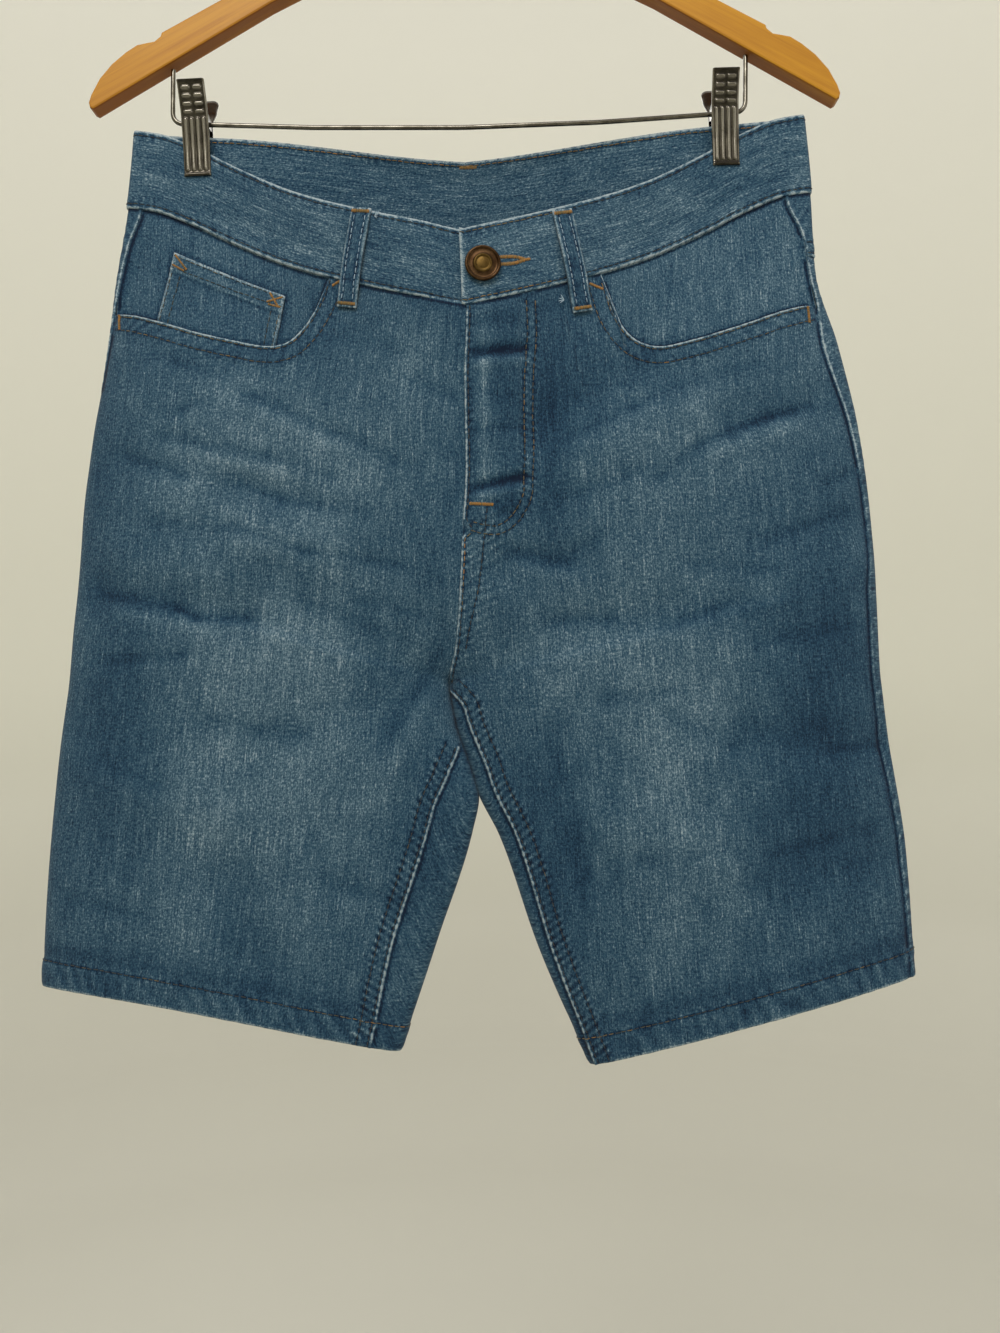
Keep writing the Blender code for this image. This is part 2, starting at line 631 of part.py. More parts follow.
def build_fly_shield(mat):
    """The strip behind the fly opening, rounded off at its lower outer corner."""
    outer, inner = [], []
    for x in SHIELD_COLUMNS:
        curve = smooth((x - SHIELD_CURVE[0]) / (SHIELD_CURVE[1] - SHIELD_CURVE[0]))
        level = np.linspace(SEAM_LEVEL_GAP, mix(*SHIELD_FOOT_LEVELS, curve), SHIELD_ROWS)
        outer.append(on_front(x, level, -PANEL_WALL - LAID_ON + 0 * level))
        inner.append(on_front(x, level, -2 * PANEL_WALL - LAID_ON + 0 * level))
    return wall("fly_shield", np.stack(outer, 1), np.stack(inner, 1), mat)


# ---------------------------------------------------------------- waistband and loops
def band_column(half, place, levels, drop):
    """One cross line of the waistband: its outer and inner points."""
    outer = half.point(place + 0 * levels, levels, BAND_PROUD - drop + 0 * levels)
    inner = half.point(place + 0 * levels, levels, BAND_PROUD - BAND_WALL - drop + 0 * levels)
    return outer, inner


def build_waistband(mat):
    """One strip, from the underlap round the back to the end that laps over it."""
    levels = np.linspace(BAND_TOP, -SEAM_LEVEL_GAP, BAND_ROWS)
    under = BAND_WALL + GAP
    lap_from, lap_full = LAP_STEP

    def place_at(half, x):
        width = half.inner_x(0.0) - half.fold_x(0.0)
        return float(half.ring_place(np.array((x - half.fold_x(0.0)) / width), np.array(0.0)))

    stops = []
    for x in np.linspace(UNDERLAP_END, 0.008, 4):
        stops.append((RIGHT, place_at(RIGHT, x), under))
    stops.append((LEFT, 1.0, under))
    for x in np.linspace(lap_full, lap_from, 4):
        drop = under * smooth((x - lap_from) / (lap_full - lap_from))
        stops.append((LEFT, place_at(LEFT, x), drop))
    front_centre, back_centre = BAND_CENTRE_PLACES
    front = list(BAND_PLACES)
    back = [-p for p in front[::-1][1:]] + [-back_centre]
    stops += [(LEFT, p, 0.0) for p in front + back]
    stops.append((LEFT, -1.0, 0.0))
    stops += [(RIGHT, p, 0.0) for p in back[::-1] + front[::-1] + [front_centre]]
    stops.append((RIGHT, 1.0, 0.0))
    stops.append((LEFT, place_at(LEFT, OVERLAP_TIP), 0.0))
    pairs = [band_column(half, place, levels, drop) for half, place, drop in stops]
    outer = np.stack([pair[0] for pair in pairs], 1)
    inner = np.stack([pair[1] for pair in pairs], 1)
    return wall("waistband", outer, inner, mat)


def build_loop(loop, mat):
    """A belt loop from the band's top edge to just under its seam, standing proud midway."""
    half = LEFT if loop.x_top < 0 else RIGHT
    run = np.array([loop.x_end - loop.x_top, loop.z_end - loop.z_top])
    across = np.array([-run[1], run[0]]) / np.linalg.norm(run)
    across_count, along_count = LOOP_GRID
    t = np.linspace(0, 1, along_count)[:, None]
    u = np.linspace(-0.5, 0.5, across_count)[None, :]
    x = loop.x_top + t * run[0] + u * LOOP_WIDTH * across[0]
    z = loop.z_top + t * run[1] + u * LOOP_WIDTH * across[1]
    place, level = half.locate(x, z, loop.front)
    below_band = smooth((level - LOOP_STEP[0]) / (LOOP_STEP[1] - LOOP_STEP[0]))
    seat = mix(BAND_PROUD, 0.0, below_band) + LAID_ON
    rise = seat + LOOP_ARCH * np.sin(math.pi * t) ** 2
    outer = half.point(place, level, rise + LOOP_WALL)
    inner = half.point(place, level, rise)
    return wall(loop.name, outer, inner, mat)


def turned(name, profile, steps, centre, axis, mat):
    """A closed turned solid from (radius, height) rows whose ends lie on its axis."""
    axis = np.array(axis) / np.linalg.norm(axis)
    side = np.cross(axis, [0.0, 0.0, 1.0])
    side = side / np.linalg.norm(side)
    up = np.cross(side, axis)
    points = [np.array(centre) + axis * profile[0][1]]
    for radius, height in profile[1:-1]:
        for k in range(steps):
            angle = 2 * math.pi * k / steps
            turn = side * math.cos(angle) + up * math.sin(angle)
            points.append(np.array(centre) + axis * height + turn * radius)
    points.append(np.array(centre) + axis * profile[-1][1])
    rings, last, faces = len(profile) - 2, len(points) - 1, []
    for k in range(steps):
        after = (k + 1) % steps
        faces.append((0, 1 + after, 1 + k))
        faces.append((last, last - steps + k, last - steps + after))
        for r in range(rings - 1):
            a, b = 1 + r * steps + k, 1 + r * steps + after
            faces.append((a, b, b + steps, a + steps))
    return mesh_object(name, points, faces, mat, 30)


def build_button(mat):
    """The tack button: a dished cap with a raised rim, a ring and a domed middle."""
    r = BUTTON_RADIUS
    profile = (
        (0, 0.0), (0.80 * r, 0.0), (0.97 * r, 0.0007), (r, 0.0017), (0.95 * r, 0.0026), (0.86 * r, 0.0029),
        (0.76 * r, 0.0025), (0.52 * r, 0.0023), (0.47 * r, 0.0029), (0.40 * r, 0.0029), (0.34 * r, 0.0024),
        (0.22 * r, 0.0032), (0, 0.0035),
    )
    place, level = RIGHT.locate(np.array(BUTTON_AT[0]), np.array(BUTTON_AT[1]))
    seat = RIGHT.point(place, level, np.array(BAND_PROUD + 2 * GAP))
    return turned("tack_button", profile, 24, seat, RIGHT.normal(place, level), mat)


# ---------------------------------------------------------------- hanger and clips
def build_arms(mat):
    """Both arms in one flat board with eased edges."""
    right = list(ARM_OUTLINE)
    left = [(-x, z) for x, z in reversed(right)]
    outline = right + left
    count, half = len(outline), ARM_THICKNESS / 2
    points = [(x, -half, z) for x, z in outline] + [(x, half, z) for x, z in outline]
    faces = [tuple(range(count)), tuple(range(2 * count - 1, count - 1, -1))]
    for k in range(count):
        after = (k + 1) % count
        faces.append((k, k + count, after + count, after))
    board = mesh_object("hanger_arms", points, faces, mat, 40)
    ease = board.modifiers.new("eased_edges", "BEVEL")
    ease.width = ARM_EDGE
    ease.segments = 2
    ease.limit_method = "ANGLE"
    ease.angle_limit = math.radians(60)
    return board


def wire(name, route, radius, mat):
    """A round wire with closed ends along a route."""
    curve = bpy.data.curves.new(name, "CURVE")
    curve.dimensions = "3D"
    curve.bevel_depth = radius
    curve.bevel_resolution = 2
    curve.use_fill_caps = True
    spline = curve.splines.new("POLY")
    spline.points.add(len(route) - 1)
    for point, at in zip(spline.points, route):
        point.co = (*at, 1.0)
    spline.use_smooth = True
    return link(name, curve, mat)


def build_hook(mat):
    """A shank that swings out and round into a crook over the origin."""
    reach = CROOK_RADIUS + HOOK_WIRE
    start, stop = (math.radians(angle) for angle in CROOK_ANGLES)
    shank = np.array([0.0, ARM_CREST_Z + GAP])
    neck = np.array([0.0, NECK_Z])
    join = np.array([reach * math.cos(start), -CROOK_RADIUS + reach * math.sin(start)])
    pull_up = neck + (0.0, NECK_PULLS[0])
    pull_in = join - NECK_PULLS[1] * np.array([-math.sin(start), math.cos(start)])
    route = [shank]
    for t in np.linspace(0, 1, 6, endpoint=False):
        near = neck * (1 - t) ** 3 + 3 * pull_up * t * (1 - t) ** 2
        route.append(near + 3 * pull_in * t * t * (1 - t) + join * t**3)
    for angle in np.linspace(start, stop, 22):
        route.append(np.array([reach * math.cos(angle), -CROOK_RADIUS + reach * math.sin(angle)]))
    return wire("hanger_hook", [(x, 0.0, z) for x, z in route], HOOK_WIRE, mat)


def build_bar(mat):
    """The wire frame that carries both clips, its two legs rising to the arms."""
    corners = [np.array(p) for p in BAR_ROUTE]
    route = [corners[0]]
    for before, at, after in zip(corners, corners[1:], corners[2:]):
        back, on = before - at, after - at
        bend = min(BAR_BEND, 0.3 * np.linalg.norm(back), 0.3 * np.linalg.norm(on))
        enter = at + back / np.linalg.norm(back) * bend
        leave = at + on / np.linalg.norm(on) * bend
        for t in np.linspace(0, 1, 5):
            route.append(enter * (1 - t) ** 2 + 2 * at * t * (1 - t) + leave * t * t)
    route.append(corners[-1])
    return wire("clip_bar", [(x, 0.0, z) for x, z in route], BAR_WIRE, mat)


def bar_at(x):
    """(height, slope in degrees) of the bar at x."""
    for (x0, z0), (x1, z1) in zip(BAR_ROUTE[1:], BAR_ROUTE[2:]):
        if x0 <= x <= x1:
            slope = (z1 - z0) / (x1 - x0)
            return z0 + slope * (x - x0), math.degrees(math.atan(slope))
    raise ValueError("the bar doesn't reach there")


def clip_frame(clip, tilt):
    """Takes (across, depth, height) about a clip's pivot to the world."""
    tilt, pivot_z = math.radians(tilt), bar_at(clip.x)[0]

    def place(p):
        x, y, z = p
        return (
            clip.x + x * math.cos(tilt) + z * math.sin(tilt),
            y,
            pivot_z - x * math.sin(tilt) + z * math.cos(tilt),
        )

    return place


def build_jaw(clip, front, mat):
    """A bent plate with two ears that the bar passes through."""
    to_world, way = clip_frame(clip, clip.tilt), -1 if front else 1
    ear_out = CLIP_WIDTH / 2 - (GAP if front else JAW_WALL + 2 * GAP)
    ear_in, half = ear_out - JAW_WALL, CLIP_WIDTH / 2
    name = f"{clip.name}_{'front' if front else 'back'}"
    faces_of_plate = []
    for lift in (JAW_WALL, 0.0):
        rows = [[to_world((x, way * (d + lift), h)) for x in (-half, 0, half)] for d, h in JAW_LINE]
        faces_of_plate.append(np.array(rows))
    plate = wall(name, *faces_of_plate, mat)
    depths, heights = np.array(JAW_LINE[::-1]).T
    for index, sign in enumerate((-1, 1)):
        box = []
        for x in sorted((sign * ear_in, sign * ear_out)):
            for z in (-EAR_HEIGHT, EAR_HEIGHT):
                root = float(np.interp(z, heights, depths)) + JAW_WALL / 2
                box += [to_world((x, way * root, z)), to_world((x, -way * EAR_REACH, z))]
        sides = [(0, 1, 3, 2), (4, 6, 7, 5), (0, 4, 5, 1), (2, 3, 7, 6), (0, 2, 6, 4), (1, 5, 7, 3)]
        helper(plate, mesh_object(f"{name}_ear{index}", box, sides, mat), "UNION")
    reach = half + DRILL_OVERRUN
    profile = ((0, -reach), (EAR_HOLE, -reach), (EAR_HOLE, reach), (0, reach))
    pivot = to_world((0, 0, 0))
    along = np.subtract(to_world((1, 0, 0)), pivot)
    helper(plate, turned(f"{name}_drill", profile, 12, pivot, along, mat), "DIFFERENCE")
    return plate


def helper(target, other, operation):
    """Adds a Boolean with an object that itself stays out of the part."""
    other.hide_render = True
    other.display_type = "WIRE"
    cut = target.modifiers.new(other.name, "BOOLEAN")
    cut.operation = operation
    cut.solver = "EXACT"
    cut.object = other


def build_spring(clip, mat):
    """The spring's sleeve-like coil between a clip's ears."""
    to_world, sides = clip_frame(clip, -bar_at(clip.x)[1]), 14
    reach = CLIP_WIDTH / 2 - 2 * JAW_WALL - 3 * GAP
    hole, outside = SPRING_RADII
    rows = ((-reach, outside), (reach, outside), (reach, hole), (-reach, hole))
    points, faces = [], []
    for x, radius in rows:
        for k in range(sides):
            angle = 2 * math.pi * k / sides
            points.append(to_world((x, radius * math.cos(angle), radius * math.sin(angle))))
    for r in range(4):
        for k in range(sides):
            after, up = (k + 1) % sides, (r + 1) % 4 * sides
            faces.append((r * sides + k, r * sides + after, up + after, up + k))
    return mesh_object(f"{clip.name}_spring", points, faces, mat, 40)


# ---------------------------------------------------------------- the whole part
def main():
    clear_scene()
    denim = material("denim", (0.115, 0.215, 0.350), 0.90)
    denim_dark = material("denim_inside", (0.100, 0.190, 0.320), 0.92)
    wood = material("varnished_wood", (0.580, 0.290, 0.090), 0.38)
    steel = material("nickel_steel", (0.620, 0.600, 0.560), 0.24, 1.0)
    copper = material("aged_copper", (0.330, 0.160, 0.070), 0.42, 0.9)
    for half in HALVES:
        build_front(half, denim)
        build_back(half, denim)
        build_yoke(half, denim)
        build_facing(half, denim_dark)
        build_back_pocket(half, denim)
    build_coin_pocket(denim)
    build_fly_shield(denim_dark)
    build_waistband(denim)
    for loop in LOOPS:
        build_loop(loop, denim)
    build_button(copper)
    build_arms(wood)
    build_hook(steel)
    build_bar(steel)
    for clip in CLIPS:
        build_jaw(clip, True, steel)
        build_jaw(clip, False, steel)
        build_spring(clip, steel)


main()
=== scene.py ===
"""The looks of a pair of denim shorts on a wooden clip hanger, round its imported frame.

Metres, +Z up, the shorts' front facing -Y. The cloth is read from one skin: a place on it
is (side, place, level). place runs round a half from the outer fold (0) over the front to
the inner edge (1), or over the back to it (-1), and past -1 where a back panel wraps a
leg's inner fold. level runs from the waistband's seam (0) to the hem (1), and up to the
waistband's top edge (BAND_TOP).
"""

import logging
import math
from dataclasses import dataclass, field
from enum import Enum
from typing import Iterable, NamedTuple, Sequence

import bmesh
import bpy
import numpy as np
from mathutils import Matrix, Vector


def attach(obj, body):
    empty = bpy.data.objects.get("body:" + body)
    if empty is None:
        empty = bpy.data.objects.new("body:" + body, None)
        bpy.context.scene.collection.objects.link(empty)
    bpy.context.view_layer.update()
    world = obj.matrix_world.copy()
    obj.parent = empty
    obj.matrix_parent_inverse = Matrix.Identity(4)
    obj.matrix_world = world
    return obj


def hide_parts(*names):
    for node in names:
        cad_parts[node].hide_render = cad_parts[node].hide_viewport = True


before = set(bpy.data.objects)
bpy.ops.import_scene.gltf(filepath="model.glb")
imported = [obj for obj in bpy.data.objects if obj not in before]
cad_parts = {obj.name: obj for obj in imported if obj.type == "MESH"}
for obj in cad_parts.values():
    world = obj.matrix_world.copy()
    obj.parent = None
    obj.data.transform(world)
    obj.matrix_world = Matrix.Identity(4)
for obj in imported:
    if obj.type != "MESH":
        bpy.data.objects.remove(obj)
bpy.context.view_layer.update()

LOG = logging.getLogger("shorts")
Array = np.ndarray
Point2 = tuple[float, float]
BODY = "root"

# ------------------------------------------------------------------ driving sizes
# Between pieces that don't touch, one thickness of cloth, and how proud of the skin the
# waistband stands: where other pieces lie on it, and at its face.
GAP = 0.0003
CLOTH_WALL = 0.0011
BAND_PROUD = 0.0009
BAND_FACE = BAND_PROUD + 0.0003
# Levels: where the folded hem starts, the band's upper edge, the fork, where a half starts
# to close to a leg's ring, and from where down a panel may wrap the leg's inner fold.
HEM_LEVEL = 0.964
BAND_TOP = -0.10
FORK = 0.497
CLOSE_START = 0.33
SPLIT_LEVEL = FORK - 0.04
# The quarter round at a fold, as a ring place and a depth, and how full the ring bellies.
NOSE = 0.12
NOSE_DEPTH = 0.0029
FULLNESS = 0.85
# How far each half stands back from the middle; under 0, so they lap a little.
CENTRE_GAP = -0.0003
# Middle height of the waist and the fall of a panel, to start a search for a place from.
WAIST_Z = -0.28
PANEL_FALL = 0.46
# The share of a half's width that a clip holds flat, and the level by which the sag of the
# waist has passed into that of the hem.
PINCH_REACH = 0.26
HEM_SAG_LEVEL = 0.6
# How high a belt loop's ends lie above what they are sewn to.
LAID_ON = 0.0008
# A stitch with its gap, and one turn of the roping beside a seam.
STITCH_PITCH = 0.0036
ROPE_PITCH = 0.0045


class Side(Enum):
    """The half of the garment, as someone who faces its front sees it."""

    LEFT = -1
    RIGHT = 1


class Section(NamedTuple):
    """One section of a half: its outer fold, its inner edge, and their heights."""

    level: float
    fold_x: float
    fold_z: float
    inner_x: float
    front_z: float
    back_z: float


LEFT_SECTIONS = (
    Section(-0.13, -0.1948, -0.1832, -0.0012, -0.2558, -0.1947),
    Section(-0.10, -0.1963, -0.1970, -0.0008, -0.2690, -0.2080),
    Section(0.00, -0.2014, -0.2430, 0.0004, -0.3130, -0.2525),
    Section(0.10, -0.2087, -0.2887, -0.0013, -0.3563, -0.3080),
    Section(0.20, -0.2140, -0.3344, -0.0011, -0.3995, -0.3635),
    Section(0.30, -0.2220, -0.3801, -0.0037, -0.4428, -0.4190),
    Section(0.40, -0.2279, -0.4258, -0.0066, -0.4860, -0.4745),
    Section(0.45, -0.2295, -0.4487, -0.0090, -0.5077, -0.5020),
    Section(0.497, -0.2314, -0.4701, -0.0132, -0.5280, -0.5280),
    Section(0.55, -0.2340, -0.4944, -0.0098, -0.5504, -0.5504),
    Section(0.62, -0.2368, -0.5263, 0.0000, -0.5801, -0.5801),
    Section(0.655, -0.2391, -0.5423, 0.0030, -0.5949, -0.5949),
    Section(0.70, -0.2419, -0.5629, -0.0008, -0.6140, -0.6140),
    Section(0.85, -0.2487, -0.6315, -0.0222, -0.6775, -0.6775),
    Section(1.00, -0.2527, -0.7000, -0.0442, -0.7410, -0.7410),
)
RIGHT_SECTIONS = (
    Section(-0.13, 0.2003, -0.1786, -0.0012, -0.2558, -0.1947),
    Section(-0.10, 0.2014, -0.1925, -0.0008, -0.2690, -0.2080),
    Section(0.00, 0.2053, -0.2390, 0.0004, -0.3130, -0.2525),
    Section(0.10, 0.2070, -0.2851, -0.0013, -0.3563, -0.3080),
    Section(0.20, 0.2194, -0.3312, -0.0011, -0.3995, -0.3635),
    Section(0.30, 0.2296, -0.3773, -0.0037, -0.4428, -0.4190),
    Section(0.40, 0.2354, -0.4234, -0.0066, -0.4860, -0.4745),
    Section(0.45, 0.2371, -0.4465, -0.0090, -0.5077, -0.5020),
    Section(0.497, 0.2383, -0.4681, -0.0132, -0.5280, -0.5280),
    Section(0.55, 0.2390, -0.4926, -0.0101, -0.5514, -0.5514),
    Section(0.62, 0.2399, -0.5248, -0.0003, -0.5823, -0.5823),
    Section(0.64, 0.2408, -0.5340, 0.0023, -0.5911, -0.5911),
    Section(0.70, 0.2438, -0.5617, 0.0152, -0.6176, -0.6176),
    Section(0.85, 0.2529, -0.6309, 0.0376, -0.6838, -0.6838),
    Section(1.00, 0.2560, -0.7000, 0.0658, -0.7500, -0.7500),
)


class Belly(NamedTuple):
    """How deep the cloth bellies at a level; pinch is how far the clips hold it flat."""

    level: float
    mid_y: float
    front: float
    back: float
    pinch: float


BELLIES = (
    Belly(-0.10, 0.0000, 0.0300, 0.0200, 1.00),
    Belly(-0.03, 0.0000, 0.0315, 0.0210, 1.00),
    Belly(0.00, 0.0000, 0.0320, 0.0215, 0.92),
    Belly(0.10, -0.0013, 0.0300, 0.0215, 0.55),
    Belly(0.20, -0.0026, 0.0280, 0.0215, 0.25),
    Belly(0.30, -0.0039, 0.0255, 0.0210, 0.08),
    Belly(0.40, -0.0052, 0.0225, 0.0200, 0.00),
    Belly(0.50, -0.0065, 0.0200, 0.0185, 0.00),
    Belly(0.70, -0.0091, 0.0165, 0.0155, 0.00),
    Belly(1.00, -0.0130, 0.0150, 0.0140, 0.00),
)
FRONT_SAG = (
    (0.0, 0.08, 0.17, 0.33, 0.48, 0.65, 0.85, 1.0),
    (0.0, 0.035, 0.13, 0.35, 0.55, 0.73, 0.90, 1.0),
)
HEM_SAG_POWER = {Side.LEFT: 1.25, Side.RIGHT: 0.98}


class SeamPlace(NamedTuple):
    """Where the side seam lies on the ring, and how far the back wraps a leg's inner fold."""

    level: float
    outseam: float
    wrap: float


LEFT_SEAMS = (
    SeamPlace(-0.10, 0.190, 0.000),
    SeamPlace(0.00, 0.190, 0.000),
    SeamPlace(0.05, 0.145, 0.000),
    SeamPlace(0.15, 0.100, 0.000),
    SeamPlace(0.25, 0.035, 0.000),
    SeamPlace(0.497, -0.020, 0.000),
    SeamPlace(0.57, -0.025, 0.045),
    SeamPlace(0.62, -0.030, 0.150),
    SeamPlace(0.68, -0.035, 0.205),
    SeamPlace(0.85, -0.045, 0.210),
    SeamPlace(1.00, -0.050, 0.185),
)
RIGHT_SEAMS = (
    SeamPlace(-0.10, 0.250, 0.000),
    SeamPlace(0.00, 0.250, 0.000),
    SeamPlace(0.07, 0.155, 0.000),
    SeamPlace(0.13, 0.140, 0.000),
    SeamPlace(0.20, 0.205, 0.000),
    SeamPlace(0.30, 0.158, 0.000),
    SeamPlace(0.497, 0.107, 0.000),
    SeamPlace(0.53, 0.107, 0.105),
    SeamPlace(0.66, 0.105, 0.130),
    SeamPlace(0.85, 0.097, 0.116),
    SeamPlace(1.00, 0.090, 0.085),
)

# Pocket mouths, from the side seam to the waistband, as (x, z).
LEFT_MOUTH = (
    (-0.1937, -0.3099), (-0.1760, -0.3152), (-0.1566, -0.3214), (-0.1360, -0.3264), (-0.1170, -0.3305),
    (-0.1045, -0.3290), (-0.0965, -0.3225), (-0.0905, -0.3145), (-0.0850, -0.3040), (-0.0805, -0.2915),
)
RIGHT_MOUTH = (
    (0.1940, -0.3100), (0.1809, -0.3138), (0.1647, -0.3195), (0.1488, -0.3245), (0.1331, -0.3293),
    (0.1126, -0.3337), (0.0985, -0.3305), (0.0906, -0.3231), (0.0850, -0.3130), (0.0800, -0.2960),
)
MOUTH_OUTER_LEVEL = {Side.LEFT: 0.142, Side.RIGHT: 0.152}
FACING_RISE = {Side.LEFT: -0.0033, Side.RIGHT: -0.0024}


# ------------------------------------------------------------------ numbers and the skin
class Line:
    """A smooth line through table values, which never overshoots them."""

    def __init__(self, keys: Sequence[float], values: Sequence[float]) -> None:
        """Fits the line.

        Args:
            keys: Where the values stand, rising.
            values: The values there.
        """
        self.keys = np.array(keys, float)
        self.values = np.array(values, float)
        steps = np.diff(self.keys)
        rises = np.diff(self.values) / steps
        slopes = np.zeros(len(self.keys))
        slopes[0], slopes[-1] = rises[0], rises[-1]
        for i in range(1, len(rises)):
            if rises[i - 1] * rises[i] > 0:
                near, far = 2 * steps[i] + steps[i - 1], steps[i] + 2 * steps[i - 1]
                slopes[i] = (near + far) / (near / rises[i - 1] + far / rises[i])
        self.slopes = slopes

    def __call__(self, at: Array | float) -> Array:
        """Values of the line.

        Args:
            at: Keys to read it at; past the ends it keeps its end values.

        Returns:
            One value for each key.
        """
        at = np.clip(at, self.keys[0], self.keys[-1])
        i = np.clip(np.searchsorted(self.keys, at) - 1, 0, len(self.keys) - 2)
        step = self.keys[i + 1] - self.keys[i]
        t = (at - self.keys[i]) / step
        return (
            self.values[i] * (1 + 2 * t) * (1 - t) ** 2
            + self.values[i + 1] * t * t * (3 - 2 * t)
            + step * self.slopes[i] * t * (1 - t) ** 2
            - step * self.slopes[i + 1] * t * t * (1 - t)
        )


def column(rows: Sequence[NamedTuple], name: str) -> Line:
    """A Line of one named column over the level."""
    return Line([row.level for row in rows], [getattr(row, name) for row in rows])


def smooth(t: Array | float) -> Array:
    """0 to 1 with level ends."""
    t = np.clip(t, 0, 1)
    return t * t * (3 - 2 * t)


def mix(a: Array | float, b: Array | float, t: Array | float) -> Array:
    """From a at 0 to b at 1."""
    return a + (b - a) * t


def bump_at(d: Array, centre: float, reach: float) -> Array:
    """A round bump of height 1 over a distance."""
    return np.exp(-(((d - centre) / reach) ** 2))


class Noise:
    """Smooth repeatable noise over two lengths, from -1 to 1."""

    SIZE = 512
    ROW_SHIFT = 37

    def __init__(self, seed: int) -> None:
        """Draws the table of values.

        Args:
            seed: Which table to draw.
        """
        rng = np.random.default_rng(seed)
        self.values = rng.uniform(-1, 1, self.SIZE)
        self.order = rng.permutation(self.SIZE)

    def _corner(self, i: Array, j: Array) -> Array:
        """The value at a corner of the lattice."""
        return self.values[(self.order[i % self.SIZE] + j * self.ROW_SHIFT) % self.SIZE]

    def __call__(self, u: Array, v: Array) -> Array:
        """Values at places given in cells of the lattice.

        Args:
            u: First place.
            v: Second place.

        Returns:
            The noise there.
        """
        u, v = np.broadcast_arrays(np.asarray(u, float), np.asarray(v, float))
        i, j = np.floor(u).astype(int), np.floor(v).astype(int)
        s, t = smooth(u - i), smooth(v - j)
        low = mix(self._corner(i, j), self._corner(i + 1, j), s)
        high = mix(self._corner(i, j + 1), self._corner(i + 1, j + 1), s)
        return mix(low, high, t)


MID_Y = column(BELLIES, "mid_y")
PINCH = column(BELLIES, "pinch")
BELLY_FRONT = column(BELLIES, "front")
BELLY_BACK = column(BELLIES, "back")
SAG_FRONT = Line(*FRONT_SAG)


# How often a ring place is halved to, how often a level is corrected, and a normal's step.
HALVINGS = 30
LEVEL_ROUNDS = 18
NORMAL_STEP = 0.006


def closure(level: Array) -> Array:
    """0 where a half is open at its centre seam, 1 where it is a leg's whole ring."""
    s = np.clip((level - CLOSE_START) / (FORK - CLOSE_START), 0, 1)
    return 1 - np.sqrt(1 - s * s)


def nose(q: Array) -> Array:
    """A quarter round that reaches 1 at NOSE."""
    return np.sqrt(1 - (1 - np.clip(q / NOSE, 0, 1)) ** 2)


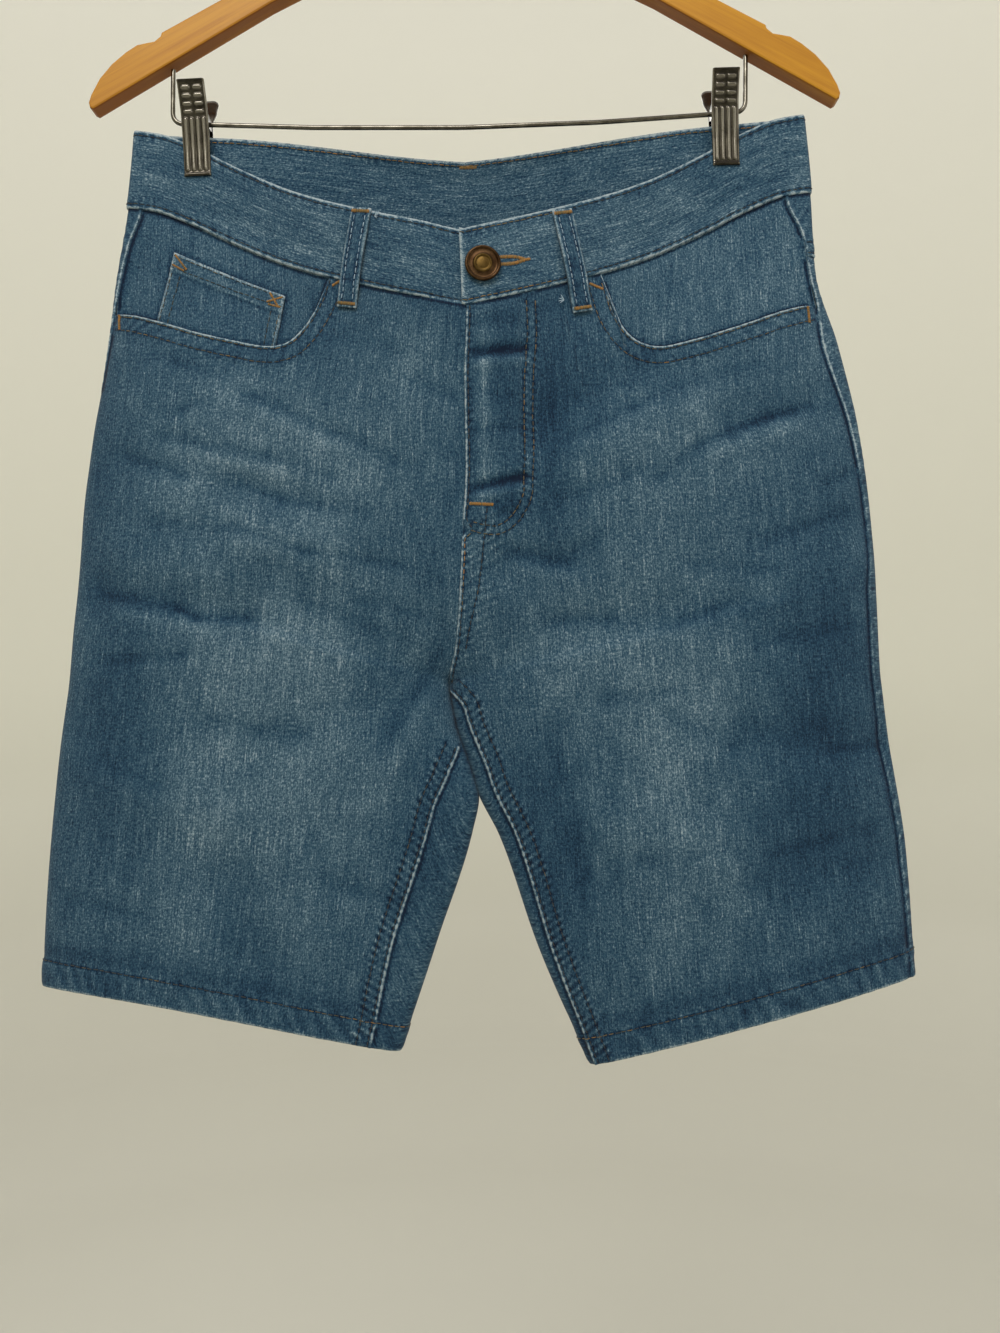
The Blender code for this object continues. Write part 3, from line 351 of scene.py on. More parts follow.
class Half:
    """One half of the garment's skin."""

    def __init__(self, side: Side, sections: Sequence[Section], seams: Sequence[SeamPlace],
                 mouth: Sequence[Point2]) -> None:
        """Reads the half's tables.

        Args:
            side: Which half it is.
            sections: Its sections from the waist to the hem.
            seams: Where its side seam and its inner wrap lie.
            mouth: Its pocket mouth, from the side seam in.
        """
        self.side = side
        self.sign = side.value
        self.word = side.name.lower()
        self.fold_x = column(sections, "fold_x")
        self.fold_z = column(sections, "fold_z")
        self.inner_x_line = column(sections, "inner_x")
        self.front_z = column(sections, "front_z")
        self.back_z = column(sections, "back_z")
        self.outseam = column(seams, "outseam")
        self.wrap = column(seams, "wrap")
        self.mouth = mouth

    def inner_x(self, level: Array | float) -> Array:
        """x of the inner edge."""
        return self.inner_x_line(level) + self.sign * CENTRE_GAP

    def fraction(self, q: Array, level: Array) -> Array:
        """How far across its width a ring place lies, from fold to inner edge."""
        c = closure(level)
        return (1 - c) * (1 - np.cos(math.pi * q / 2)) + c * (1 - np.cos(math.pi * q)) / 2

    def ring_place(self, fraction: Array, level: Array) -> Array:
        """The ring place at a fraction of the width, by halving.

        Args:
            fraction: Shares of the width, from the outer fold.
            level: Levels.

        Returns:
            Ring places from 0 to 1.
        """
        low, high = np.zeros_like(fraction), np.ones_like(fraction)
        for _ in range(HALVINGS):
            middle = (low + high) / 2
            short = self.fraction(middle, level) < fraction
            low, high = np.where(short, middle, low), np.where(short, high, middle)
        return (low + high) / 2

    def bare(self, place: Array, level: Array) -> Array:
        """Points of the skin before its creases.

        Args:
            place: Ring places.
            level: Levels.

        Returns:
            World points, the last axis being x, y, z.
        """
        place, level = np.broadcast_arrays(np.asarray(place, float), np.asarray(level, float))
        place = np.where(level < FORK, np.clip(place, -1, 1), place)
        place = np.where(place < -1, place + 2, np.where(place > 1, place - 2, place))
        q, front = np.abs(place), place >= 0
        c, f = closure(level), self.fraction(q, level)
        belly = np.where(front, BELLY_FRONT(level), BELLY_BACK(level))
        round_out = (1 - c) * np.sin(math.pi * q / 2) ** FULLNESS
        round_out = round_out + c * np.sin(math.pi * np.clip(q, 0, 1)) ** FULLNESS
        pinched = smooth((f - PINCH_REACH) / (1 - PINCH_REACH))
        body = mix(round_out, pinched, PINCH(level))
        depth = NOSE_DEPTH * nose(q) * mix(1, nose(1 - q), c) + (belly - NOSE_DEPTH) * body
        sag_top = np.where(front, SAG_FRONT(f), f)
        sag = mix(sag_top, f ** HEM_SAG_POWER[self.side], smooth(level / HEM_SAG_LEVEL))
        inner_z = np.where(front, self.front_z(level), self.back_z(level))
        fold_x, fold_z = self.fold_x(level), self.fold_z(level)
        x = fold_x + (self.inner_x(level) - fold_x) * f
        y = MID_Y(level) + np.where(front, -depth, depth)
        return np.stack([x, y, mix(fold_z, inner_z, sag)], axis=-1)

    def normal(self, place: Array, level: Array) -> Array:
        """Unit normals of the skin, pointing out of the garment.

        Args:
            place: Ring places.
            level: Levels.

        Returns:
            The normals.
        """
        step = NORMAL_STEP
        dp = self.bare(place + step, level) - self.bare(place - step, level)
        dl = self.bare(place, level + step) - self.bare(place, level - step)
        n = -self.sign * np.cross(dl, dp)
        return n / np.maximum(np.linalg.norm(n, axis=-1, keepdims=True), 1e-12)

    def point(self, place: Array, level: Array, out: Array | float = 0.0) -> Array:
        """Points of the creased skin, moved out along its normal.

        Args:
            place: Ring places.
            level: Levels.
            out: Height above the skin, in metres.

        Returns:
            World points.
        """
        place, level = np.broadcast_arrays(np.asarray(place, float), np.asarray(level, float))
        at = self.bare(place, level)
        wrapped = np.where(place < -1, place + 2, place)
        push = RELIEF.height(self.side, at, wrapped, level)
        return at + self.normal(place, level) * (push + out)[..., None]

    def locate(self, x: Array, z: Array, front: bool = True) -> tuple[Array, Array]:
        """Finds places from their look from the front or the back.

        Args:
            x: World x of each point.
            z: World z of each point.
            front: Whether they lie on the front face.

        Returns:
            Their places and levels.
        """
        x, z = np.asarray(x, float), np.asarray(z, float)
        level = np.clip((WAIST_Z - z) / PANEL_FALL, -0.09, 0.99)
        for _ in range(LEVEL_ROUNDS):
            width = self.inner_x(level) - self.fold_x(level)
            q = self.ring_place(np.clip((x - self.fold_x(level)) / width, 0, 1), level)
            place = q if front else -q
            level = np.clip(level + (self.bare(place, level)[..., 2] - z) / PANEL_FALL, -0.12, 1.02)
        return place, level

    def inner_end(self, level: Array, front: bool) -> Array:
        """The ring place of a front or back panel's inner edge."""
        return 1 - self.wrap(level) if front else -1 - self.wrap(level)


# ------------------------------------------------------------------ creases and seams
class Crease(NamedTuple):
    """A soft trough (depth under 0) or ridge between two points in XZ."""

    x1: float
    z1: float
    x2: float
    z2: float
    reach: float
    depth: float


# The largest ones, which the solids have too.
FRONT_MAIN = (
    Crease(-0.205, -0.398, -0.165, -0.396, 0.013, -0.0014),
    Crease(-0.140, -0.411, -0.095, -0.421, 0.012, -0.0016),
    Crease(-0.132, -0.443, -0.080, -0.453, 0.013, 0.0016),
    Crease(-0.215, -0.475, -0.130, -0.489, 0.014, -0.0024),
    Crease(-0.200, -0.452, -0.150, -0.462, 0.014, 0.0014),
    Crease(-0.120, -0.560, -0.050, -0.535, 0.018, -0.0015),
    Crease(-0.205, -0.585, -0.150, -0.600, 0.018, 0.0016),
    Crease(-0.140, -0.640, -0.125, -0.690, 0.020, -0.0018),
    Crease(0.040, -0.378, 0.105, -0.345, 0.014, -0.0018),
    Crease(0.045, -0.408, 0.130, -0.372, 0.015, 0.0014),
    Crease(0.150, -0.378, 0.200, -0.366, 0.013, -0.0016),
    Crease(0.015, -0.461, 0.065, -0.457, 0.013, -0.0018),
    Crease(0.050, -0.492, 0.150, -0.488, 0.014, -0.0015),
    Crease(0.175, -0.470, 0.225, -0.458, 0.015, 0.0016),
    Crease(0.160, -0.560, 0.238, -0.567, 0.016, -0.0020),
    Crease(0.075, -0.610, 0.150, -0.630, 0.020, 0.0016),
    Crease(0.170, -0.640, 0.235, -0.632, 0.018, -0.0016),
)
BACK_MAIN = (
    Crease(-0.200, -0.470, -0.110, -0.492, 0.016, -0.0020),
    Crease(-0.120, -0.515, -0.040, -0.495, 0.016, 0.0018),
    Crease(-0.060, -0.545, -0.150, -0.560, 0.016, -0.0020),
    Crease(-0.210, -0.590, -0.140, -0.606, 0.018, 0.0016),
    Crease(0.055, -0.500, 0.150, -0.520, 0.016, -0.0020),
    Crease(0.215, -0.480, 0.130, -0.498, 0.016, 0.0018),
    Crease(0.060, -0.565, 0.140, -0.585, 0.017, -0.0018),
    Crease(0.240, -0.620, 0.160, -0.636, 0.018, -0.0018),
)
# Whiskers and small folds, which only the cloth here has.
FRONT_FINE = (
    Crease(-0.127, -0.359, -0.078, -0.383, 0.0050, -0.0008),
    Crease(-0.078, -0.383, -0.032, -0.403, 0.0060, -0.0007),
    Crease(-0.124, -0.369, -0.070, -0.394, 0.0060, 0.0006),
    Crease(-0.200, -0.393, -0.162, -0.407, 0.0040, -0.0008),
    Crease(-0.177, -0.382, -0.116, -0.396, 0.0050, -0.0008),
    Crease(-0.116, -0.396, -0.078, -0.408, 0.0050, -0.0006),
    Crease(-0.170, -0.391, -0.110, -0.405, 0.0050, 0.0006),
    Crease(-0.131, -0.411, -0.108, -0.421, 0.0042, -0.0009),
    Crease(-0.108, -0.421, -0.059, -0.429, 0.0050, -0.0007),
    Crease(-0.136, -0.436, -0.093, -0.451, 0.0045, -0.0009),
    Crease(-0.093, -0.451, -0.040, -0.459, 0.0050, -0.0008),
    Crease(-0.212, -0.473, -0.168, -0.482, 0.0045, -0.0012),
    Crease(-0.168, -0.482, -0.157, -0.488, 0.0032, -0.0013),
    Crease(-0.157, -0.488, -0.128, -0.488, 0.0036, -0.0011),
    Crease(-0.205, -0.484, -0.150, -0.497, 0.0060, 0.0008),
    Crease(-0.209, -0.512, -0.167, -0.509, 0.0050, -0.0008),
    Crease(-0.172, -0.370, -0.156, -0.363, 0.0040, -0.0007),
    Crease(-0.183, -0.432, -0.137, -0.438, 0.0060, -0.0006),
    Crease(-0.098, -0.479, -0.041, -0.502, 0.0070, -0.0006),
    Crease(-0.214, -0.569, -0.174, -0.587, 0.0060, -0.0006),
    Crease(-0.156, -0.547, -0.099, -0.556, 0.0070, -0.0006),
    Crease(-0.083, -0.640, -0.043, -0.654, 0.0060, -0.0006),
    Crease(-0.232, -0.649, -0.192, -0.658, 0.0060, -0.0006),
    Crease(-0.182, -0.334, -0.145, -0.347, 0.0050, -0.0006),
    Crease(-0.078, -0.324, -0.038, -0.337, 0.0060, -0.0005),
    Crease(-0.033, -0.353, -0.007, -0.365, 0.0060, -0.0006),
    Crease(-0.063, -0.479, -0.018, -0.492, 0.0060, -0.0006),
    Crease(-0.048, -0.560, -0.012, -0.500, 0.0080, -0.0010),
    Crease(-0.062, -0.600, -0.030, -0.540, 0.0080, 0.0008),
    Crease(0.060, -0.387, 0.095, -0.370, 0.0050, -0.0008),
    Crease(0.095, -0.370, 0.122, -0.357, 0.0050, -0.0007),
    Crease(0.110, -0.411, 0.133, -0.392, 0.0050, -0.0007),
    Crease(0.133, -0.392, 0.175, -0.375, 0.0045, -0.0009),
    Crease(0.175, -0.375, 0.198, -0.369, 0.0040, -0.0009),
    Crease(0.159, -0.380, 0.191, -0.372, 0.0032, -0.0009),
    Crease(0.140, -0.398, 0.192, -0.381, 0.0055, 0.0007),
    Crease(0.025, -0.453, 0.056, -0.459, 0.0050, -0.0011),
    Crease(0.028, -0.462, 0.060, -0.468, 0.0055, 0.0008),
    Crease(0.061, -0.451, 0.082, -0.441, 0.0050, -0.0006),
    Crease(0.051, -0.492, 0.082, -0.492, 0.0045, -0.0010),
    Crease(0.120, -0.495, 0.151, -0.482, 0.0045, -0.0008),
    Crease(0.174, -0.446, 0.217, -0.431, 0.0050, -0.0008),
    Crease(0.207, -0.569, 0.238, -0.567, 0.0045, -0.0010),
    Crease(0.125, -0.460, 0.178, -0.465, 0.0055, -0.0006),
    Crease(0.112, -0.546, 0.150, -0.566, 0.0060, -0.0006),
    Crease(0.074, -0.538, 0.120, -0.533, 0.0060, -0.0006),
    Crease(0.166, -0.505, 0.218, -0.497, 0.0060, -0.0006),
    Crease(0.095, -0.630, 0.153, -0.625, 0.0070, -0.0006),
    Crease(0.176, -0.626, 0.228, -0.615, 0.0060, -0.0007),
    Crease(0.052, -0.423, 0.098, -0.407, 0.0060, -0.0006),
    Crease(0.207, -0.414, 0.222, -0.408, 0.0040, -0.0007),
    Crease(0.134, -0.355, 0.168, -0.344, 0.0060, -0.0006),
    Crease(0.046, -0.560, 0.062, -0.640, 0.0100, -0.0008),
    Crease(0.003, -0.340, 0.033, -0.337, 0.0030, -0.0030),
    Crease(0.004, -0.346, 0.033, -0.344, 0.0035, 0.0011),
    Crease(0.003, -0.384, 0.031, -0.382, 0.0030, -0.0007),
    Crease(0.001, -0.417, 0.032, -0.410, 0.0032, -0.0032),
    Crease(0.002, -0.422, 0.033, -0.417, 0.0032, 0.0009),
    Crease(0.012, -0.426, 0.029, -0.434, 0.0034, -0.0007),
    Crease(0.006, -0.362, 0.027, -0.364, 0.0040, -0.0005),
    Crease(0.004, -0.322, 0.025, -0.321, 0.0036, -0.0005),
)
BACK_FINE = (
    Crease(-0.215, -0.455, -0.150, -0.470, 0.0055, -0.0009),
    Crease(-0.170, -0.498, -0.100, -0.514, 0.0060, -0.0008),
    Crease(-0.190, -0.528, -0.120, -0.536, 0.0055, -0.0007),
    Crease(-0.110, -0.536, -0.045, -0.520, 0.0055, -0.0009),
    Crease(-0.075, -0.575, -0.030, -0.560, 0.0050, -0.0009),
    Crease(-0.210, -0.560, -0.165, -0.574, 0.0060, -0.0007),
    Crease(-0.150, -0.618, -0.080, -0.626, 0.0070, -0.0006),
    Crease(-0.225, -0.640, -0.175, -0.652, 0.0060, -0.0006),
    Crease(-0.030, -0.440, -0.010, -0.470, 0.0060, -0.0008),
    Crease(0.030, -0.520, 0.085, -0.536, 0.0055, -0.0010),
    Crease(0.020, -0.552, 0.080, -0.546, 0.0060, -0.0008),
    Crease(0.120, -0.500, 0.200, -0.512, 0.0060, -0.0008),
    Crease(0.160, -0.468, 0.225, -0.452, 0.0055, -0.0008),
    Crease(0.100, -0.548, 0.170, -0.560, 0.0065, -0.0007),
    Crease(0.180, -0.590, 0.235, -0.580, 0.0060, -0.0007),
    Crease(0.080, -0.610, 0.150, -0.618, 0.0070, -0.0006),
    Crease(0.130, -0.664, 0.200, -0.655, 0.0060, -0.0006),
    Crease(0.012, -0.430, 0.030, -0.465, 0.0060, -0.0008),
)


def crease_height(rows: Sequence[Crease], x: Array, z: Array, tighten: float = 1.0) -> Array:
    """How far a table of creases moves the cloth out.

    Args:
        rows: The creases.
        x: World x.
        z: World z.
        tighten: What their reach is multiplied by.

    Returns:
        Heights in metres.
    """
    out = np.zeros_like(x)
    for c in rows:
        along_x, along_z = c.x2 - c.x1, c.z2 - c.z1
        t = ((x - c.x1) * along_x + (z - c.z1) * along_z) / (along_x**2 + along_z**2)
        near = np.clip(t, 0, 1)
        away2 = (x - c.x1 - near * along_x) ** 2 + (z - c.z1 - near * along_z) ** 2
        out += c.depth * np.exp(-away2 / (c.reach * tighten) ** 2)
    return out


def rounded(path: Sequence[Point2], spacing: float = 0.003) -> Array:
    """A path drawn again as a smooth curve through its own points.

    Args:
        path: The points, in metres.
        spacing: Distance between the new points.

    Returns:
        The new points.
    """
    points = np.array(path, float)
    if len(points) < 3:
        count = max(2, int(np.linalg.norm(points[-1] - points[0]) / spacing))
        return mix(points[0], points[-1], np.linspace(0, 1, count)[:, None])
    padded = np.vstack([2 * points[0] - points[1], points, 2 * points[-1] - points[-2]])
    drawn = []
    for a, b, c, d in zip(padded, padded[1:], padded[2:], padded[3:]):
        count = max(1, int(np.linalg.norm(c - b) / spacing))
        t = np.linspace(0, 1, count, endpoint=False)[:, None]
        drawn.append(0.5 * (2 * b + (c - a) * t + (2 * a - 5 * b + 4 * c - d) * t**2
                            + (3 * b - a - 3 * c + d) * t**3))
    drawn.append(points[-1:])
    return np.vstack(drawn)


def shifted(path: Array, distance: float | Array) -> Array:
    """A path moved sideways, to its left as it runs when distance is over 0.

    Args:
        path: Its points in XZ.
        distance: How far, in metres, or so at each point.

    Returns:
        The moved points.
    """
    run = np.gradient(path, axis=0)
    run /= np.maximum(np.linalg.norm(run, axis=1, keepdims=True), 1e-9)
    return path + np.stack([-run[:, 1], run[:, 0]], 1) * np.reshape(distance, (-1, 1))


END_REACH = 0.002
END_FADE = 0.003
HOLE_LEAN = 0.35
FAR = 1.0
# What a cloth's finish reads at each point to draw its seams; see seam_group.
TRACED = ("edge", "run", "wear", "shade", "row_a", "row_b", "holes")


@dataclass(frozen=True)
class SeamStyle:
    """How a seam's strip stands and wears, in metres.

    Attributes:
        width: Width of the strip beside the seam line.
        lift: How far its folded layers raise the strip.
        bead: Height of the rounded edge along the seam line.
        rows: Where its stitch rows run across the strip.
        pucker: Height of the puckers that the stitching draws up.
        pitch: Spacing of those puckers.
        wear: How pale its edge is worn.
        spread: How far the puckers reach across the cloth.
        deep: How much darker its strip has stayed.
        holes: How strongly its stitch holes show.
        shade: How dark the painted shadow on the cloth beside its edge lies.
    """

    width: float
    lift: float
    bead: float
    rows: tuple[float, ...]
    pucker: float
    pitch: float
    wear: float = 0.45
    spread: float = 0.016
    deep: float = 0.0
    holes: float = 1.0
    shade: float = 0.30

    def lines(self, d: Array, along: Array, beside: Array) -> Array:
        """What the cloth's finish needs to draw it.

        Args:
            d: Distances into its strip.
            along: Distances along it.
            beside: 1 beside it, falling to 0 past its ends.

        Returns:
            What TRACED lists, at each point.
        """
        rows = (self.rows + self.rows)[:2] or (FAR, FAR)
        wear = self.wear * (self.bead > 0) * beside
        shade_here = self.shade * (self.bead > 0) * beside
        holes = self.holes * bool(self.rows) * beside
        return traced(d, along + HOLE_LEAN * d, wear, shade_here, rows[0], rows[-1], holes)


def traced(*values: Array | float) -> Array:
    """What TRACED lists, side by side in one grid."""
    return np.stack(np.broadcast_arrays(*values), -1)


FELLED = SeamStyle(0.0100, 0.00045, 0.00045, (0.0020, 0.0086), 0.00036, 0.0050, 0.62,
                   deep=0.04, holes=1.7, shade=0.34)
PLAIN = SeamStyle(0.0040, 0.00000, 0.00050, (), 0.00018, 0.0078, 0.52, spread=0.011, shade=0.46)
PRESSED = SeamStyle(0.0040, 0.00000, 0.00030, (), 0.00010, 0.0078, 0.20, spread=0.006, shade=0.32)
MOUTH = SeamStyle(0.0112, 0.00040, 0.00045, (0.0017, 0.0098), 0.00024, 0.0085, 0.66,
                  deep=0.05, holes=0.6, shade=0.50)
FLY_EDGE = SeamStyle(0.0370, 0.00075, 0.00045, (0.0021,), 0.00018, 0.0060, 0.62,
                     spread=0.006, deep=0.10, holes=0.7, shade=0.42)
RISE = SeamStyle(0.0105, 0.00045, 0.00040, (0.0020,), 0.00022, 0.0060, 0.42, shade=0.40)
TWIN = SeamStyle(0.0060, 0.00000, 0.00000, (0.0, 0.0050), 0.00020, 0.0050, 0.0, spread=0.011)
SINGLE = SeamStyle(0.0020, 0.00000, 0.00000, (0.0,), 0.00016, 0.0060)
# A patch pocket's two rows, from its edge.
POCKET_ROWS = (0.0016, 0.0078)


class Thread(Enum):
    """How fresh a row's thread still looks, from nearly all blue-brown to orange."""

    WORN = 0.10
    MIXED = 0.38
    FRESH = 0.85


# Across a seam, in metres from its line: where its bead, its groove and its shadow lie and
# how far each reaches, and how a stitch row sinks into the cloth.
BEAD_AT, BEAD_REACH = 0.0006, 0.0010
GROOVE_AT, GROOVE_REACH, GROOVE_DEPTH = -0.0012, 0.0011, 0.0003
SHADOW_AT, SHADOW_REACH = -0.0016, 0.0018
ROW_REACH, ROW_DEPTH = 0.0009, 0.00024
# Lengths along a seam over which its puckers drift and grow.
DRIFT_LENGTH, SIZE_LENGTH = 0.021, 0.017
SEAM_MARGIN = 0.03


@dataclass(frozen=True)
class Seam:
    """A seam on one face of the garment, its strip lying to the left of its path.

    Attributes:
        name: What the seam is called.
        side: The half that it lies on.
        front: Whether it is on the front face.
        path: Its points in XZ.
        style: How it stands and wears.
        thread: Its thread.
        strip: 1 where the strip is to the left of the path, -1 to the right.
    """

    name: str
    side: Side
    front: bool
    path: tuple[Point2, ...]
    style: SeamStyle
    thread: Thread = Thread.WORN
    strip: int = 1

    def line(self) -> Array:
        """The seam line as close points."""
        return rounded(self.path)

    def measure(self, x: Array, z: Array) -> tuple[Array, Array, Array]:
        """Distances from the seam line and along it.

        Args:
            x: World x.
            z: World z.

        Returns:
            How far into the strip's side each point lies, how far along the seam, and 1
            beside the seam falling to 0 past its ends.
        """
        line = self.line()
        runs = np.diff(line, axis=0)
        lengths = np.maximum(np.linalg.norm(runs, axis=1), 1e-9)
        starts = np.concatenate([[0.0], np.cumsum(lengths)[:-1]])
        best = np.full(x.shape, 1e9)
        into, along = np.full(x.shape, 1e9), np.zeros(x.shape)
        for (ax, az), (rx, rz), length, start in zip(line, runs, lengths, starts):
            t = np.clip(((x - ax) * rx + (z - az) * rz) / length**2, 0, 1)
            dx, dz = x - ax - t * rx, z - az - t * rz
            away = np.hypot(dx, dz)
            closer = away < best
            turn = np.sign(rx * dz - rz * dx) * self.strip
            best = np.where(closer, away, best)
            into = np.where(closer, away * np.where(turn == 0, 1, turn), into)
            along = np.where(closer, start + t * length, along)
        first, last = runs[0] / lengths[0], runs[-1] / lengths[-1]
        before = (line[0, 0] - x) * first[0] + (line[0, 1] - z) * first[1]
        after = (x - line[-1, 0]) * last[0] + (z - line[-1, 1]) * last[1]
        before = np.where(along < END_REACH, before, -1.0)
        after = np.where(along > starts[-1] + lengths[-1] - END_REACH, after, -1.0)
        beside = 1 - smooth(np.maximum(before, after) / END_FADE)
        return into, along, beside

    def field(self, x: Array, z: Array, noise: Noise) -> tuple[Array, Array, Array, Array]:
        """How far the seam raises the cloth, how much paler it wears it, the painted shadow beside it, and
        its lines.

        Args:
            x: World x.
            z: World z.
            noise: Noise that makes its puckers uneven.

        Returns:
            Heights in metres; tones, under 0 where the cloth stays darker and in its painted shadow;
            distances from the nearest of its lines; and what TRACED lists.
        """
        style = self.style
        height, tone = np.zeros(x.shape), np.zeros(x.shape)
        away, lines = np.full(x.shape, FAR), np.zeros(x.shape + (len(TRACED),))
        low, high = self.line().min(0) - SEAM_MARGIN, self.line().max(0) + SEAM_MARGIN
        near = (x > low[0]) & (x < high[0]) & (z > low[1]) & (z < high[1])
        if not near.any():
            return height, tone, away, lines
        d, s, beside = self.measure(x[near], z[near])
        inside = smooth((d + 0.0004) / 0.0012) * (1 - smooth((d - style.width) / 0.0025))
        wander = noise(s / DRIFT_LENGTH, np.full_like(s, 3.7)) * 1.9
        wave = np.sin(2 * math.pi * (s / style.pitch + 0.45 * d / 0.004) + wander * math.pi)
        size = 0.55 + 0.45 * noise(s / SIZE_LENGTH, np.full_like(s, 9.2))
        reach = smooth((d + 0.003) / 0.004)
        reach = reach * (1 - smooth((d - 0.4 * style.spread) / (0.6 * style.spread)))
        edge = bump_at(d, BEAD_AT, BEAD_REACH) * (style.bead > 0)
        h = style.lift * inside + style.bead * edge + style.pucker * wave * size * reach
        h -= GROOVE_DEPTH * bump_at(d, GROOVE_AT, GROOVE_REACH) * (style.bead > 0)
        t = 0.14 * edge * style.wear + 0.11 * wave * size * reach - style.deep * inside
        # Painted shadow on the cloth beside the seam's raised edge.
        t -= 0.25 * style.shade * bump_at(d, SHADOW_AT, SHADOW_REACH) * (style.bead > 0)
        closest = np.abs(d) if style.bead > 0 else np.full_like(d, FAR)
        for row in style.rows:
            h -= ROW_DEPTH * bump_at(d, row, ROW_REACH)
            closest = np.minimum(closest, np.abs(d - row))
        height[near], tone[near], away[near] = h * beside, t * beside, closest
        lines[near] = style.lines(d, s, beside)
        return height, tone, away, lines


# ------------------------------------------------------------------ relief, fading and painted shade
class Fade(NamedTuple):
    """A soft patch where the dye is worn paler (over 0), or where the cloth is darker (under 0)."""

    x: float
    z: float
    reach_x: float
    reach_z: float
    amount: float


FRONT_FADES = (
    Fade(-0.112, -0.520, 0.062, 0.135, 0.18),
    Fade(0.116, -0.525, 0.052, 0.130, 0.17),
    Fade(-0.110, -0.400, 0.070, 0.040, 0.08),
    Fade(0.125, -0.395, 0.070, 0.045, 0.08),
    Fade(-0.175, -0.640, 0.045, 0.050, 0.06),
    Fade(0.046, -0.630, 0.026, 0.080, -0.13),
    Fade(-0.028, -0.610, 0.022, 0.080, -0.08),
    Fade(0.047, -0.390, 0.014, 0.060, -0.18),
    Fade(0.205, -0.520, 0.028, 0.090, -0.18),
    Fade(0.195, -0.625, 0.030, 0.050, -0.10),
    Fade(0.060, -0.345, 0.040, 0.030, -0.08),
    Fade(0.120, -0.420, 0.070, 0.050, -0.05),
    Fade(-0.205, -0.540, 0.022, 0.080, -0.14),
    Fade(-0.010, -0.400, 0.014, 0.100, -0.04),
    Fade(0.053, -0.515, 0.020, 0.050, 0.08),
    Fade(-0.122, -0.455, 0.036, 0.022, -0.12),
    Fade(-0.108, -0.332, 0.032, 0.010, -0.09),
    Fade(-0.028, -0.352, 0.030, 0.028, 0.09),
    Fade(0.165, -0.540, 0.022, 0.060, -0.06),
    Fade(0.0095, -0.375, 0.0050, 0.070, 0.24),
    Fade(0.024, -0.425, 0.0100, 0.012, -0.10),
    Fade(0.200, -0.350, 0.020, 0.050, 0.06),
)
BACK_FADES = (
    Fade(-0.115, -0.450, 0.070, 0.070, 0.16),
    Fade(0.115, -0.450, 0.070, 0.070, 0.16),
    Fade(-0.130, -0.610, 0.060, 0.060, 0.10),
    Fade(0.135, -0.610, 0.060, 0.060, 0.10),
    Fade(-0.020, -0.480, 0.030, 0.080, -0.14),
    Fade(0.020, -0.480, 0.030, 0.080, -0.14),
    Fade(-0.205, -0.520, 0.025, 0.090, -0.12),
    Fade(0.215, -0.520, 0.025, 0.090, -0.12),
)
# How much less a ridge pales than a trough darkens, and how much deeper all of it lies.
RIDGE_PALE = 0.62
DEEPEN = 0.008
# Where the two legs press together below the fork, and how dark the painted shadow on their folds lies there.
MEETING_LEVEL = 0.575
MEETING_REACH = 0.060
MEETING_WIDE = 0.045
MEETING_SHADE = 0.36
PUCKERS = Noise(11)
GROUND = Noise(23)
BLOTCHES = Noise(31)
HEM_FALL = 0.4635
HEM_ROW = 0.0152
HEM_TURN = 0.0168
LINES_APART = 0.003
BAND_ROW = 0.0027
# Above this level is the band. Its puckers and the hem's roping: how long a wave is, how far
# from the edge they reach and fade, and their height and tone.
BAND_LEVEL = -0.0001
BAND_WAVE = 0.0062
BAND_WAVE_REACH, BAND_WAVE_FADE = 0.0085, 0.006
BAND_WAVE_HEIGHT, BAND_WAVE_TONE = 0.00013, 0.13
HEM_WAVE, HEM_WAVE_RISE = 0.0108, 0.021
HEM_WAVE_REACH, HEM_WAVE_FADE = 0.0235, 0.009
HEM_WAVE_HEIGHT, HEM_WAVE_TONE = 0.00034, 0.085
# How an edge rounds off, as a drop and its reach: the band's, and a sewn-on piece's.
BAND_EDGE_DROP = 0.0004
PIECE_EDGE_DROP = 0.0005
EDGE_REACH = 0.0009
# What a stitch row takes off the tone of a sewn-on piece, and its reach.
ROW_TONE, ROW_TONE_REACH = 0.13, 0.0012


# Waves of the cloth's own unevenness: (height, cell across, cell down, start).
GROUND_WAVES = ((0.00042, 0.046, 0.038, 0), (0.00022, 0.019, 0.022, 7), (0.00008, 0.0075, 0.0095, 31))
# How high whiskers stand next to their table, how much narrower their sharp middles are, and
# how much paler a metre of height makes folds, whiskers and sharp middles.
WHISKER_HEIGHT = 0.65
WHISKER_TIGHTEN = 0.55
FOLD_TONE, WHISKER_TONE, SHARP_TONE = 20, 34, 74


def ground(x: Array, z: Array, shift: float) -> Array:
    """The cloth's own slight unevenness, in metres.

    Args:
        x: World x.
        z: World z.
        shift: Where in the noise it starts.

    Returns:
        Heights.
    """
    out = np.zeros_like(x)
    for height, wide, tall, start in GROUND_WAVES:
        out += height * GROUND(x / wide + start + shift, z / tall)
    return out


def closest_lines(found: Sequence[tuple[Array, Array]]) -> Array:
    """The seam lines nearest to each point, faded out where two seams are as near.

    Args:
        found: Of each seam, distances from its nearest line and what TRACED lists.

    Returns:
        What TRACED lists, at each point.
    """
    best, lines = found[0][0].copy(), found[0][1].copy()
    second = np.full_like(best, FAR)
    for away, values in found[1:]:
        closer = away < best
        second = np.where(closer, best, np.minimum(second, away))
        best, lines = np.where(closer, away, best), np.where(closer[..., None], values, lines)
    apart = smooth((second - best) / LINES_APART)
    for label in ("wear", "shade", "holes"):
        lines[..., TRACED.index(label)] *= apart
    return lines


